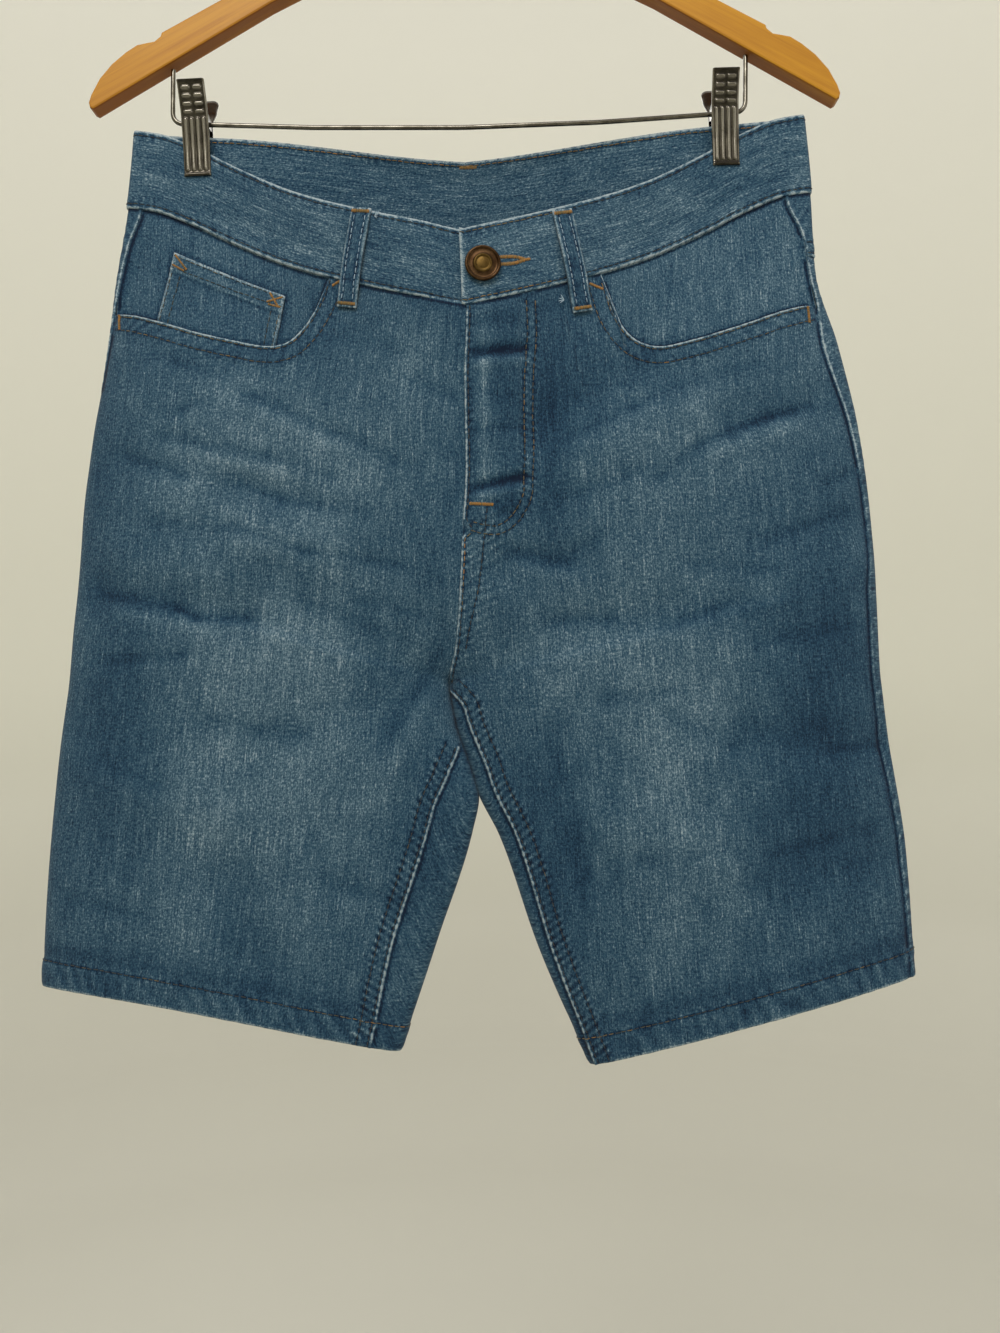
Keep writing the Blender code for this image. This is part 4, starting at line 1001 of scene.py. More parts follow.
class Relief:
    """What raises, sinks and fades the cloth of both halves, and paints shade and shadow on it."""

    def __init__(self) -> None:
        """Starts with no seams."""
        self.seams: dict[tuple[Side, bool], list[Seam]] = {}

    def add(self, seam: Seam) -> None:
        """Takes in a seam."""
        self.seams.setdefault((seam.side, seam.front), []).append(seam)

    def sample(self, side: Side, at: Array, wrapped: Array, level: Array) -> tuple[Array, ...]:
        """Height and tone of the cloth, and the seam lines nearest to it.

        Args:
            side: The half.
            at: Points of its bare skin.
            wrapped: Their ring places, from -1 to 1.
            level: Their levels.

        Returns:
            Heights in metres; tones, under 0 where the cloth is darker; and what TRACED lists.
        """
        x, z, front = at[..., 0], at[..., 2], wrapped >= 0
        fold = smooth(np.abs(wrapped) / 0.1) * smooth((1 - np.abs(wrapped)) / 0.03)
        height, tone, lines = np.zeros(x.shape), np.zeros(x.shape), np.zeros(x.shape + (len(TRACED),))
        tables = (
            (True, front, FRONT_MAIN, FRONT_FINE, FRONT_FADES, 0.0),
            (False, ~front, BACK_MAIN, BACK_FINE, BACK_FADES, 60.0),
        )
        for is_front, mask, main, fine, fades, shift in tables:
            if not mask.any():
                continue
            xs, zs, soft = x[mask], z[mask], fold[mask]
            folds, whiskers = crease_height(main, xs, zs), crease_height(fine, xs, zs)
            below_band = smooth((level[mask] + 0.002) / 0.02)
            h = (folds + WHISKER_HEIGHT * whiskers + ground(xs, zs, shift)) * soft * below_band
            sharp = crease_height(fine, xs, zs, WHISKER_TIGHTEN)
            sharp = sharp * (1 + 0.5 * BLOTCHES(xs / 0.008, zs / 0.006))
            t = (FOLD_TONE * folds + WHISKER_TONE * whiskers + SHARP_TONE * sharp) * soft
            t = np.where(t > 0, RIDGE_PALE * t, t) - DEEPEN
            # Painted shadow on the cloth just under the waistband's lower edge.
            t -= 0.10 * bump_at(level[mask] * HEM_FALL, 0.0006, 0.0024)
            for f in fades:
                reach2 = ((xs - f.x) / f.reach_x) ** 2 + ((zs - f.z) / f.reach_z) ** 2
                t += f.amount * np.exp(-reach2)
            t += 0.036 * BLOTCHES(xs / 0.028 + shift, zs / 0.045)
            t += 0.032 * BLOTCHES(xs / 0.009 + 40 + shift, zs / 0.016)
            # Painted shadow on the folds where the two legs press together.
            near_fold = bump_at(1 - np.abs(wrapped[mask]), 0.0, MEETING_WIDE)
            t -= MEETING_SHADE * near_fold * bump_at(level[mask], MEETING_LEVEL, MEETING_REACH)
            nearest = [self.cut_edges(xs, level[mask])]
            for seam in self.seams.get((side, is_front), ()):
                dh, dt, *found = seam.field(xs, zs, PUCKERS)
                h, t = h + dh, t + dt
                nearest.append(tuple(found))
            height[mask], tone[mask], lines[mask] = h, t, closest_lines(nearest)
        for extra_height, extra_tone in (self.hem(x, level, front), self.band(x, level, front)):
            height, tone = height + extra_height, tone + extra_tone
        return height, tone, lines

    @staticmethod
    def cut_edges(x: Array, level: Array) -> tuple[Array, Array]:
        """The lines of the band's edges and of the hem, and the painted shadow under the band.

        Args:
            x: World x.
            level: Levels.

        Returns:
            Distances from the nearest of them, and what TRACED lists.
        """
        low, high = -level * HEM_FALL, (level - BAND_TOP) * HEM_FALL
        up = (1 - level) * HEM_FALL
        rim = np.minimum(low, high)
        on_band, at_hem = level < BAND_LEVEL, up < 0.1
        band = traced(rim, x, 0.62, 0.0, BAND_ROW, BAND_ROW, 0.55)
        # Below the band: no worn edge, only the painted shadow that the band's edge throws.
        under = traced(low, x, 0.0, 0.42, FAR, FAR, 0.0)
        hem = traced(up, x + HOLE_LEAN * up, 0.42, 0.0, HEM_ROW, HEM_ROW, 0.62)
        lines = np.where(on_band[..., None], band, np.where(at_hem[..., None], hem, under))
        away = np.where(at_hem, np.minimum(up, np.abs(up - HEM_ROW)), np.abs(low))
        return np.where(on_band, 0.0, away), lines

    def band(self, x: Array, level: Array, front: Array) -> tuple[Array, Array]:
        """Height and tone of the waistband.

        Args:
            x: World x.
            level: Levels.
            front: Whether each point is on the front.

        Returns:
            Heights in metres, and tones.
        """
        on_band = level < BAND_LEVEL
        low, high = -level * HEM_FALL, (level - BAND_TOP) * HEM_FALL
        edge = np.minimum(low, high)
        shift = np.where(front, 3.0, 53.0) + np.where(low < high, 0.0, 17.0)
        wander = PUCKERS(x / 0.020 + shift, np.full_like(x, 6.3)) * 1.7
        wave = np.sin(2 * math.pi * x / BAND_WAVE + wander * math.pi)
        reach = smooth((BAND_WAVE_REACH - edge) / BAND_WAVE_FADE)
        height = BAND_WAVE_HEIGHT * wave * reach - 0.00026 * bump_at(edge, BAND_ROW, ROW_REACH)
        height += 0.00025 * GROUND(x / 0.040 + 9, low / 0.030)
        height -= BAND_EDGE_DROP * bump_at(edge, 0.0, EDGE_REACH)
        tone = BAND_WAVE_TONE * wave * reach + 0.08 * BLOTCHES(x / 0.020, low / 0.007 + shift)
        tone = tone + 0.04
        return np.where(on_band, height, 0.0), np.where(on_band, tone, 0.0)

    def hem(self, x: Array, level: Array, front: Array) -> tuple[Array, Array]:
        """Height and tone of a leg's folded hem.

        Args:
            x: World x.
            level: Levels.
            front: Whether each point is on the front.

        Returns:
            Heights in metres, and tones.
        """
        up = (1 - level) * HEM_FALL
        shift = np.where(front, 0.0, 50.0)
        wander = PUCKERS(x / 0.024 + shift, np.full_like(x, 1.3)) * 2.4
        wave = np.sin(2 * math.pi * (x / HEM_WAVE + up / HEM_WAVE_RISE) + wander * math.pi)
        size = 0.60 + 0.40 * PUCKERS(x / 0.015 + shift, np.full_like(x, 8.8))
        reach = smooth((HEM_WAVE_REACH - up) / HEM_WAVE_FADE)
        turned = smooth((HEM_TURN - up) / 0.0016)
        height = 0.00055 * turned - 0.00035 * bump_at(up, HEM_ROW, 0.0010)
        height += HEM_WAVE_HEIGHT * wave * size * reach - 0.0004 * bump_at(up, 0.0, 0.0012)
        tone = HEM_WAVE_TONE * wave * size * reach
        tone += 0.09 * reach * BLOTCHES(x / 0.011 + 3 + shift, up / 0.008)
        tone -= 0.08 * turned
        return height, tone - 0.12 * bump_at(up, 0.022, 0.006)

    def height(self, side: Side, at: Array, wrapped: Array, level: Array) -> Array:
        """Height only; see sample."""
        return self.sample(side, at, wrapped, level)[0]


RELIEF = Relief()
LEFT = Half(Side.LEFT, LEFT_SECTIONS, LEFT_SEAMS, LEFT_MOUTH)
RIGHT = Half(Side.RIGHT, RIGHT_SECTIONS, RIGHT_SEAMS, RIGHT_MOUTH)
HALVES = (LEFT, RIGHT)

YOKE_LEVELS = (0.084, 0.112)
FLY_FOOT_Z = -0.4404
# The fly's curved stitching, from the waistband round to the fly's foot.
FLY_CURVE = (
    (0.0395, -0.3087), (0.0398, -0.3291), (0.0380, -0.3494), (0.0373, -0.3697), (0.0375, -0.3900),
    (0.0367, -0.4103), (0.0361, -0.4205), (0.0324, -0.4296), (0.0262, -0.4376), (0.0180, -0.4427),
    (0.0088, -0.4425), (0.0007, -0.4404),
)
RISE_SECOND = (
    (0.0103, -0.4277), (0.0071, -0.4573), (0.0046, -0.4744), (0.0004, -0.4915), (-0.0033, -0.5086),
)
# Back pockets: widths at top and foot, heights at the sides and at the point.
POCKET_TOP_Z = -0.338
POCKET_X = 0.098
POCKET_WIDTH = (0.146, 0.128)
POCKET_HEIGHT = (0.134, 0.152)
POCKET_DRIFT = 0.006
POCKET_SLANT = 0.004
INSEAM_TOP = {Side.LEFT: 0.588, Side.RIGHT: FORK + 0.01}
MOUTH_ENDS = ((-0.2058, -0.3078), (0.2008, -0.3080))
COIN_CORNERS = ((-0.1726, -0.2713), (-0.1065, -0.3000), (-0.1850, -0.3230), (-0.1140, -0.3390))


def skin_path(half: Half, places: Array, levels: Array) -> tuple[Point2, ...]:
    """A path on a half's skin as (x, z) points."""
    at = half.bare(places, levels)
    return tuple((float(x), float(z)) for x, z in zip(at[..., 0], at[..., 2]))


def add_seams() -> None:
    """Lays every seam of the garment into the relief."""
    rise = np.linspace(0.0, FORK, 24)
    yoke_end = np.linspace(float(RIGHT.outseam(np.array(YOKE_LEVELS[0]))), 0.004, 6)
    yoke_path = skin_path(RIGHT, yoke_end, np.full(6, YOKE_LEVELS[0]))
    rows = [
        Seam("mouth_left", Side.LEFT, True, (MOUTH_ENDS[0],) + LEFT_MOUTH, MOUTH, Thread.MIXED, -1),
        Seam("mouth_right", Side.RIGHT, True, (MOUTH_ENDS[1],) + RIGHT_MOUTH, MOUTH, Thread.MIXED, 1),
        Seam("yoke_end", Side.RIGHT, True, yoke_path, FELLED, Thread.WORN, 1),
    ]
    for half in HALVES:
        side, strip = half.side, half.sign
        below = np.linspace(INSEAM_TOP[side], 1.0, 24)
        inner = skin_path(half, half.inner_end(below, True), below)
        rows.append(Seam("inseam", side, True, inner, FELLED, Thread.WORN, strip))
        across = np.linspace(0, 1, 20)
        yoke = mix(*YOKE_LEVELS, across)
        turn = mix(half.outseam(yoke) * -1.0 * (half.outseam(yoke) < 0), 1.0, across)
        path = skin_path(half, -turn, yoke)
        rows.append(Seam("yoke", side, False, path, FELLED, Thread.MIXED, -strip))
    runs = ((RIGHT, 0.0, 0.36, PLAIN), (RIGHT, 0.36, 1.0, PRESSED), (LEFT, 0.0, 0.24, PLAIN))
    for half, top, foot, style in runs:
        down = np.linspace(top, foot, 26)
        path = skin_path(half, half.outseam(down), down)
        rows.append(Seam("outseam", half.side, True, path, style, Thread.WORN, half.sign))
    centre = skin_path(RIGHT, np.ones_like(rise), rise)
    fly = tuple(p for p in centre if p[1] > FLY_FOOT_Z) + ((0.0, FLY_FOOT_Z),)
    foot = ((0.0, FLY_FOOT_Z),) + tuple(p for p in centre if p[1] <= FLY_FOOT_Z)
    rows.append(Seam("fly_edge", Side.RIGHT, True, fly, FLY_EDGE, Thread.WORN, 1))
    rows.append(Seam("rise", Side.RIGHT, True, foot, RISE, Thread.FRESH, 1))
    rows.append(Seam("rise_second", Side.RIGHT, True, RISE_SECOND, SINGLE, Thread.WORN, 1))
    rows.append(Seam("fly_curve", Side.RIGHT, True, FLY_CURVE, TWIN, Thread.MIXED, -1))
    seat = skin_path(RIGHT, -np.ones_like(rise), rise)
    rows.append(Seam("seat", Side.RIGHT, False, seat, FELLED, Thread.MIXED, 1))
    for seam in rows:
        RELIEF.add(seam)


# ------------------------------------------------------------------ making cloth
def link(obj: bpy.types.Object) -> bpy.types.Object:
    """Puts an object in the scene."""
    bpy.context.scene.collection.objects.link(obj)
    return obj


def new_mesh(name: str, points: Array, quads: Array) -> bpy.types.Object:
    """An object from points and four-cornered faces.

    Args:
        name: The object's name.
        points: Its points, one row each.
        quads: Its faces, as rows of four point numbers.

    Returns:
        The object.
    """
    mesh = bpy.data.meshes.new(name)
    mesh.vertices.add(len(points))
    mesh.vertices.foreach_set("co", np.ascontiguousarray(points, np.float32).ravel())
    mesh.loops.add(quads.size)
    mesh.loops.foreach_set("vertex_index", quads.astype(np.int32).ravel())
    mesh.polygons.add(len(quads))
    mesh.polygons.foreach_set("loop_start", np.arange(0, quads.size, 4, dtype=np.int32))
    mesh.polygons.foreach_set("use_smooth", np.ones(len(quads), bool))
    mesh.update(calc_edges=True)
    mesh.validate()
    return link(bpy.data.objects.new(name, mesh))


def give_values(obj: bpy.types.Object, name: str, values: Array) -> None:
    """Keeps one number at each point of a mesh."""
    layer = obj.data.attributes.new(name, "FLOAT", "POINT")
    layer.data.foreach_set("value", np.ascontiguousarray(values, np.float32).ravel())


def give_uv(obj: bpy.types.Object, uv: Array) -> None:
    """Keeps one (u, v) place in metres at each point of a mesh, on its corners.

    Args:
        obj: The mesh object.
        uv: The places, one for each point.
    """
    layer = obj.data.uv_layers.new(name="weave")
    corners = np.empty(len(obj.data.loops), np.int32)
    obj.data.loops.foreach_get("vertex_index", corners)
    layer.data.foreach_set("uv", np.ascontiguousarray(uv[corners], np.float32).ravel())


def grid_quads(rows: int, cols: int) -> Array:
    """Faces of a grid of points."""
    a = (np.arange(rows - 1)[:, None] * cols + np.arange(cols - 1)[None, :]).ravel()
    return np.stack([a, a + 1, a + cols + 1, a + cols], 1)


def rim_of(rows: int, cols: int) -> Array:
    """A grid's outer points in order.

    Args:
        rows: The grid's rows.
        cols: The grid's columns.

    Returns:
        The points' numbers.
    """
    top = np.arange(cols)
    right = np.arange(1, rows) * cols + cols - 1
    end = (rows - 1) * cols + np.arange(cols - 2, -1, -1)
    left = np.arange(rows - 2, 0, -1) * cols
    return np.concatenate([top, right, end, left])


def wall_quads(rows: int, cols: int) -> Array:
    """Faces of a closed wall between two grids: its outer ones, its inner ones and its rim.

    Args:
        rows: The grids' rows.
        cols: The grids' columns.

    Returns:
        Four numbers a face.
    """
    face, rim, count = grid_quads(rows, cols), rim_of(rows, cols), rows * cols
    after = np.roll(rim, -1)
    sides = np.stack([rim, rim + count, after + count, after], 1)
    return np.concatenate([face, face[:, ::-1] + count, sides])


def ring_quads(rings: int, sides: int) -> list[tuple[int, ...]]:
    """Faces between closed rings of points that follow each other."""
    pairs = [(r * sides + k, r * sides + (k + 1) % sides) for r in range(rings - 1) for k in range(sides)]
    return [(a, b, b + sides, a + sides) for a, b in pairs]


def stations(length: float, dense: Sequence[tuple[float, float]], coarse: float, fine: float) -> Array:
    """Shares from 0 to 1 along a length, close together over its dense parts.

    Args:
        length: The length in metres.
        dense: (from, to) of each dense part, in metres.
        coarse: Usual step.
        fine: Step in the dense parts.

    Returns:
        The shares.
    """
    marks = [0.0]
    while marks[-1] < length:
        at = marks[-1]
        near = any(start - coarse <= at < end for start, end in dense)
        marks.append(at + (fine if near else coarse))
    return np.array(marks) / marks[-1]


def blurred(values: Array, reach: int) -> Array:
    """A grid of values averaged over reach cells each way.

    Args:
        values: The grid.
        reach: How many cells it takes in, each way.

    Returns:
        The grid of averages.
    """
    out = values
    for axis in (0, 1):
        padded = np.pad(out, [(reach, reach) if k == axis else (0, 0) for k in (0, 1)], "edge")
        total = np.cumsum(padded, axis=axis)
        zero = np.zeros_like(np.take(total, [0], axis=axis))
        total = np.concatenate([zero, total], axis=axis)
        size, width = out.shape[axis], 2 * reach + 1
        upper = np.take(total, range(width, width + size), axis=axis)
        out = (upper - np.take(total, range(size), axis=axis)) / width
    return out


def arc_lengths(points: Array, axis: int) -> Array:
    """Lengths along a grid's rows (axis 1) or columns (axis 0) from its first point.

    Args:
        points: The grid of points.
        axis: The axis that it measures along.

    Returns:
        The lengths.
    """
    steps = np.linalg.norm(np.diff(points, axis=axis), axis=-1)
    zero = np.zeros_like(np.take(steps, [0], axis=axis))
    return np.concatenate([zero, np.cumsum(steps, axis=axis)], axis=axis)


# How much paler the relief's ridges lie as wear, and how much darker its hollows lie as painted shade, per
# metre of height against its local average.
RIDGE_TONE = 110.0
RIDGE_CELLS = 4
TURN_SLACK = 0.004
TURN_CELLS = 6
LEAN_ROWS = 60
INSIDE_TONE = 0.5


class Warp(Enum):
    """Which way the cloth's warp runs on a piece's grid."""

    DOWN = 0
    ACROSS = 1


@dataclass
class Layer:
    """A thin layer of cloth: grids of its outer and inner points with their tone.

    Attributes:
        outer: Outer points, rows by columns.
        inner: Inner points.
        tone: How pale the outer cloth is worn, with its painted shade and shadows.
        warp: Which way its warp runs.
        lines: What TRACED lists at each point, where it has seams.
    """

    outer: Array
    inner: Array
    tone: Array
    warp: Warp = Warp.DOWN
    lines: Array | None = None

    def flat(self) -> tuple[tuple[float, float], float]:
        """The cut that it lies out to.

        Returns:
            (width, length) and the area, in metres.
        """
        middle = (self.outer + self.inner) / 2
        across = arc_lengths(middle, 1)[:, -1]
        down = arc_lengths(middle, 0)[-1]
        a = np.cross(middle[1:, :-1] - middle[:-1, :-1], middle[:-1, 1:] - middle[:-1, :-1])
        b = np.cross(middle[:-1, 1:] - middle[1:, 1:], middle[1:, :-1] - middle[1:, 1:])
        area = (np.linalg.norm(a, axis=-1).sum() + np.linalg.norm(b, axis=-1).sum()) / 2
        width, length = float(across.max()), float(down.max())
        return (width, length), float(min(area, width * length))

    def uv(self) -> Array:
        """Places on the cloth in metres, v along the warp."""
        if self.warp is Warp.ACROSS:
            pair = (arc_lengths(self.outer, 0), arc_lengths(self.outer, 1))
            return np.stack(pair, -1).reshape(-1, 2)
        x, y, z = (self.outer[..., k] for k in range(3))
        middle = self.outer.shape[1] // 2
        near = slice(max(middle - TURN_CELLS, 0), middle + TURN_CELLS + 1)
        turned = np.maximum(np.abs(y - y[:, near].mean(1, keepdims=True)) - TURN_SLACK, 0.0)
        x = x + turned * np.sign(x - x[:, middle : middle + 1])
        lean = np.polyfit(z[:, middle], x[:, middle], 1)[0] if len(z) > LEAN_ROWS else 0.0
        return np.stack([x - lean * z, -z], -1).reshape(-1, 2)

    def build(self, name: str) -> bpy.types.Object:
        """Makes the closed wall, its inner faces in the second material slot.

        Args:
            name: The object's name.

        Returns:
            The object.
        """
        rows, cols = self.outer.shape[:2]
        quads = wall_quads(rows, cols)
        face = quads[: (rows - 1) * (cols - 1)]
        points = np.concatenate([self.outer.reshape(-1, 3), self.inner.reshape(-1, 3)])
        a, b, d = points[face[:, 0]], points[face[:, 1]], points[face[:, 3]]
        way = (np.cross(b - a, d - a) * (a - points[face[:, 0] + rows * cols])).sum()
        if way < 0:
            quads = quads[:, ::-1]
        obj = new_mesh(name, points, quads)
        give_values(obj, "tone", np.concatenate([self.tone.ravel(), self.tone.ravel() * INSIDE_TONE]))
        for k, label in enumerate(TRACED if self.lines is not None else ()):
            values = self.lines[..., k].ravel()
            give_values(obj, label, np.concatenate([values, values]))
        uv = self.uv()
        give_uv(obj, np.concatenate([uv, uv]))
        kinds = np.zeros(len(quads), np.int32)
        kinds[len(face) : 2 * len(face)] = 1
        obj.data.polygons.foreach_set("material_index", kinds)
        return obj


def skin_layer(half: Half, place: Array, level: Array, out: Array | float, wall: Array | float,
               warp: Warp = Warp.DOWN) -> Layer:
    """A layer on the skin of one half.

    Args:
        half: The half.
        place: Ring places, rows by columns.
        level: Levels.
        out: Height of its outer face above the skin.
        wall: Its thickness.
        warp: Which way its warp runs.

    Returns:
        The layer.
    """
    place, level = np.broadcast_arrays(place, level)
    bare, normal = half.bare(place, level), half.normal(place, level)
    wrapped = np.where(place < -1, place + 2, place)
    height, tone, lines = RELIEF.sample(half.side, bare, wrapped, level)
    rise = (height + out)[..., None]
    outer = bare + normal * rise
    inner = bare + normal * (rise - np.reshape(wall * np.ones(level.shape), level.shape + (1,)))
    # Paler on ridges as wear, darker in hollows as painted shade.
    tone = tone + RIDGE_TONE * (height - blurred(height, RIDGE_CELLS))
    return Layer(outer, inner, tone, warp, lines)


# ------------------------------------------------------------------ the garment's pieces
# Steps across a piece, its dense parts included, and down a panel as a level.
STEP = 0.0023
FINE_STEP = 0.0008
ROW_STEP = 0.0040
MOUTH_ROWS = 27
HEM_ROWS = 27
YOKE_ROWS = 44
MAIN_LEVEL = 0.16
HEM_DENSE_LEVEL = 0.950
UNDER_BAND_LEVEL = -0.004
HEM_SHELL_WALL = 0.0021
# Widths that the grids of a front and a back piece are laid out on, and of their dense parts
# beside the side seam, the yoke's side seam, the inner edge and the fly.
FRONT_WIDTH = 0.225
BACK_WIDTH = 0.235
SIDE_DENSE = 0.006
YOKE_SIDE_DENSE = 0.004
INNER_DENSE = 0.013
FLY_DENSE = 0.044
# How high a sewn-on pocket's face and its stitches lie above what it is sewn to.
PATCH_FACE = CLOTH_WALL + 0.0002
PATCH_SEWN = CLOTH_WALL + 0.0004


def cross_lines(width: float, outer: float, inner: float) -> Array:
    """Shares across a piece, close together beside its outer and inner seams."""
    return stations(width, ((0.0, outer), (width - inner, width)), STEP, FINE_STEP)


def panel_levels(top: Array, rows: int) -> Array:
    """Levels of a panel's grid, close together at the hem.

    Args:
        top: Levels of its upper edge, one for each column.
        rows: How many rows lie above MAIN_LEVEL.

    Returns:
        The levels, rows by columns.
    """
    upper = np.arange(MAIN_LEVEL, HEM_DENSE_LEVEL, ROW_STEP)
    levels = np.concatenate([upper, np.linspace(HEM_DENSE_LEVEL, 1.0, HEM_ROWS)])
    down = np.linspace(0, 1, rows, endpoint=False)[:, None]
    return np.vstack([mix(top[None, :], MAIN_LEVEL, down), np.repeat(levels[:, None], len(top), 1)])


def hem_wall(level: Array) -> Array:
    """A panel's wall, thicker over its folded hem."""
    return np.where(level > HEM_LEVEL, HEM_SHELL_WALL, CLOTH_WALL)


@dataclass
class ClothPiece:
    """One cut piece of the garment.

    Attributes:
        node: The solid that it stands for, and its name in the scene.
        outside: Material of its outer face.
        inside: Material of its inner face.
        slot: Its material slot's name; not used.
        rests_on: What it hangs from or is sewn to; not used.
        held: How it is held; not used.
        made: The objects that it has become, the cloth first.
    """

    node: str
    outside: bpy.types.Material
    inside: bpy.types.Material
    slot: str = "denim"
    rests_on: tuple[str, ...] = ("waistband",)
    held: str = "hung"
    made: list[bpy.types.Object] = field(default_factory=list)

    def layer(self) -> Layer:
        """The piece's layer of cloth."""
        raise NotImplementedError

    def build(self) -> None:
        """Makes the cloth and hides the solid that it stands for."""
        layer = self.layer()
        obj = layer.build(f"cloth_{self.node}")
        obj.data.materials.append(self.outside)
        obj.data.materials.append(self.inside)
        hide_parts(self.node)
        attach(obj, BODY)
        self.size, self.area = layer.flat()
        self.made.append(obj)

    def declare(self, extras: Sequence[bpy.types.Object] = ()) -> None:
        """Args:
            extras: Its stitching and other separate pieces; not used.
        """
        LOG.info("%s: %.0f x %.0f mm, %.0f cm2", self.node, self.size[0] * 1e3,
                 self.size[1] * 1e3, self.area * 1e4)


@dataclass
class FrontPanel(ClothPiece):
    """A front panel, cut away at the pocket mouth."""

    half: Half = LEFT

    def top(self, share: Array) -> Array:
        """Levels of its upper edge at shares of its width.

        Args:
            share: Shares of the width, from the side seam.

        Returns:
            The levels.
        """
        path = rounded(self.half.mouth, 0.0015)
        place, level = self.half.locate(path[:, 0], path[:, 1])
        start = self.half.outseam(level)
        mouth_share = np.concatenate([[0.0], (place - start) / (1 - start)])
        mouth_level = np.concatenate([[MOUTH_OUTER_LEVEL[self.half.side]], level])
        drop = np.interp(share, mouth_share, mouth_level)
        return np.where(share > mouth_share[-1], UNDER_BAND_LEVEL, drop)

    def layer(self) -> Layer:
        """The panel's layer of cloth."""
        half = self.half
        inner = INNER_DENSE if half.side is Side.LEFT else FLY_DENSE
        share = cross_lines(FRONT_WIDTH, SIDE_DENSE, inner)
        level = panel_levels(self.top(share), MOUTH_ROWS)
        start = half.outseam(level)
        end = np.where(level < SPLIT_LEVEL, 1.0, half.inner_end(level, True))
        place = start + (end - start) * share[None, :]
        return skin_layer(half, place, level, 0.0, hem_wall(level))


@dataclass
class BackPanel(ClothPiece):
    """A back panel below its yoke seam."""

    half: Half = LEFT

    def layer(self) -> Layer:
        """The panel's layer of cloth."""
        share = cross_lines(BACK_WIDTH, SIDE_DENSE, INNER_DENSE)
        level = panel_levels(mix(*YOKE_LEVELS, share), MOUTH_ROWS // 2)
        place = back_places(self.half, share, level)
        return skin_layer(self.half, place, level, 0.0, hem_wall(level))


def back_places(half: Half, share: Array, level: Array) -> Array:
    """Ring places across a back piece, from the side seam to its inner edge.

    Args:
        half: The half.
        share: Shares of the width.
        level: Levels.

    Returns:
        The places.
    """
    start = half.outseam(level)
    end = np.where(level < SPLIT_LEVEL, -1.0, half.inner_end(level, False))
    return start + (np.maximum(end, -2) - start) * share[None, :]


@dataclass
class Yoke(ClothPiece):
    """The wedge between a back panel and the waistband."""

    half: Half = LEFT

    def layer(self) -> Layer:
        """The yoke's layer of cloth."""
        share = cross_lines(BACK_WIDTH, YOKE_SIDE_DENSE, INNER_DENSE)
        down = np.linspace(0, 1, YOKE_ROWS)[:, None]
        level = mix(UNDER_BAND_LEVEL, mix(*YOKE_LEVELS, share)[None, :], down)
        place = back_places(self.half, share, level)
        return skin_layer(self.half, place, level, 0.0, CLOTH_WALL, Warp.ACROSS)


# A facing's height above the skin: beside the side seam, where it shows and where the panel
# covers it, and further in at the band.
FACING_SEATED = (-0.0005, -0.0015)
FACING_AT_BAND = -0.0008
FACING_TONE = {Side.LEFT: 0.04, Side.RIGHT: 0.08}
FACING_END_PLACE = 0.775
FACING_FOOT_LEVELS = (0.175, 0.148)
# The painted shadow of the coin pocket on the facing round it: how dark, and how far it reaches.
COIN_SHADE = 0.26
COIN_SHADE_REACH = 0.0028
# The coin pocket's hem, and its two stitch rows, from its top edge.
COIN_BAND = 0.0102
COIN_ROWS = (0.0018, 0.0089)
# A back pocket: its hem's stitch row from its top edge, and the height of its grid.
POCKET_TOP_ROW = 0.0125
POCKET_GRID_HEIGHT = 0.140
# A back pocket's dense parts, at its sides and foot and at its top, and its grid's steps.
POCKET_DENSE = 0.010
POCKET_TOP_DENSE = 0.016
POCKET_STEP = 0.0022
POCKET_FINE_STEP = 0.0009
POCKET_FINE_ROW = 0.0010


@dataclass
class PocketFacing(ClothPiece):
    """The cloth seen in a pocket mouth, tucked in under the front panel all round."""

    half: Half = LEFT

    def layer(self) -> Layer:
        """The facing's layer of cloth."""
        half = self.half
        share = np.linspace(0, 1, 84)[None, :]
        down = np.linspace(0, 1, 44)[:, None]
        level = mix(UNDER_BAND_LEVEL, mix(*FACING_FOOT_LEVELS, share), down)
        place = mix(half.outseam(level), FACING_END_PLACE, share)
        made = skin_layer(half, place, level, facing_height(half, place, level), CLOTH_WALL)
        made.tone += FACING_TONE[half.side]
        if half.side is Side.LEFT:
            # Painted shadow of the coin pocket on the facing.
            made.tone -= COIN_SHADE * np.exp(-((beside_coin(made.outer) / COIN_SHADE_REACH) ** 2))
        return made


def beside_coin(points: Array) -> Array:
    """How far outside the coin pocket's outline points lie, in metres.

    Args:
        points: World points.

    Returns:
        Distances, 0 inside the outline.
    """
    top_a, top_b, end_a, _ = (np.array(corner) for corner in COIN_CORNERS)
    across, down = top_b - top_a, end_a - top_a
    away = points[..., [0, 2]] - top_a
    turn = across[0] * down[1] - across[1] * down[0]
    u = (away[..., 0] * down[1] - away[..., 1] * down[0]) / turn
    v = (across[0] * away[..., 1] - across[1] * away[..., 0]) / turn
    wide, deep = np.linalg.norm(across), np.linalg.norm(down)
    outside = np.maximum(np.maximum(-u, u - 1) * wide, -v * deep)
    return np.maximum(outside, 0.0)


def facing_height(half: Half, place: Array, level: Array) -> Array:
    """How high a facing's outer face lies above the skin, level with what it is sewn to.

    Args:
        half: The half.
        place: Ring places.
        level: Levels.

    Returns:
        Heights in metres.
    """
    from_seam = smooth((place - half.outseam(level)) / 0.09)
    seated = mix(*FACING_SEATED, smooth((level - 0.115) / 0.02))
    deep = mix(FACING_AT_BAND, FACING_RISE[half.side], smooth(level / 0.09))
    return mix(seated, deep, from_seam)


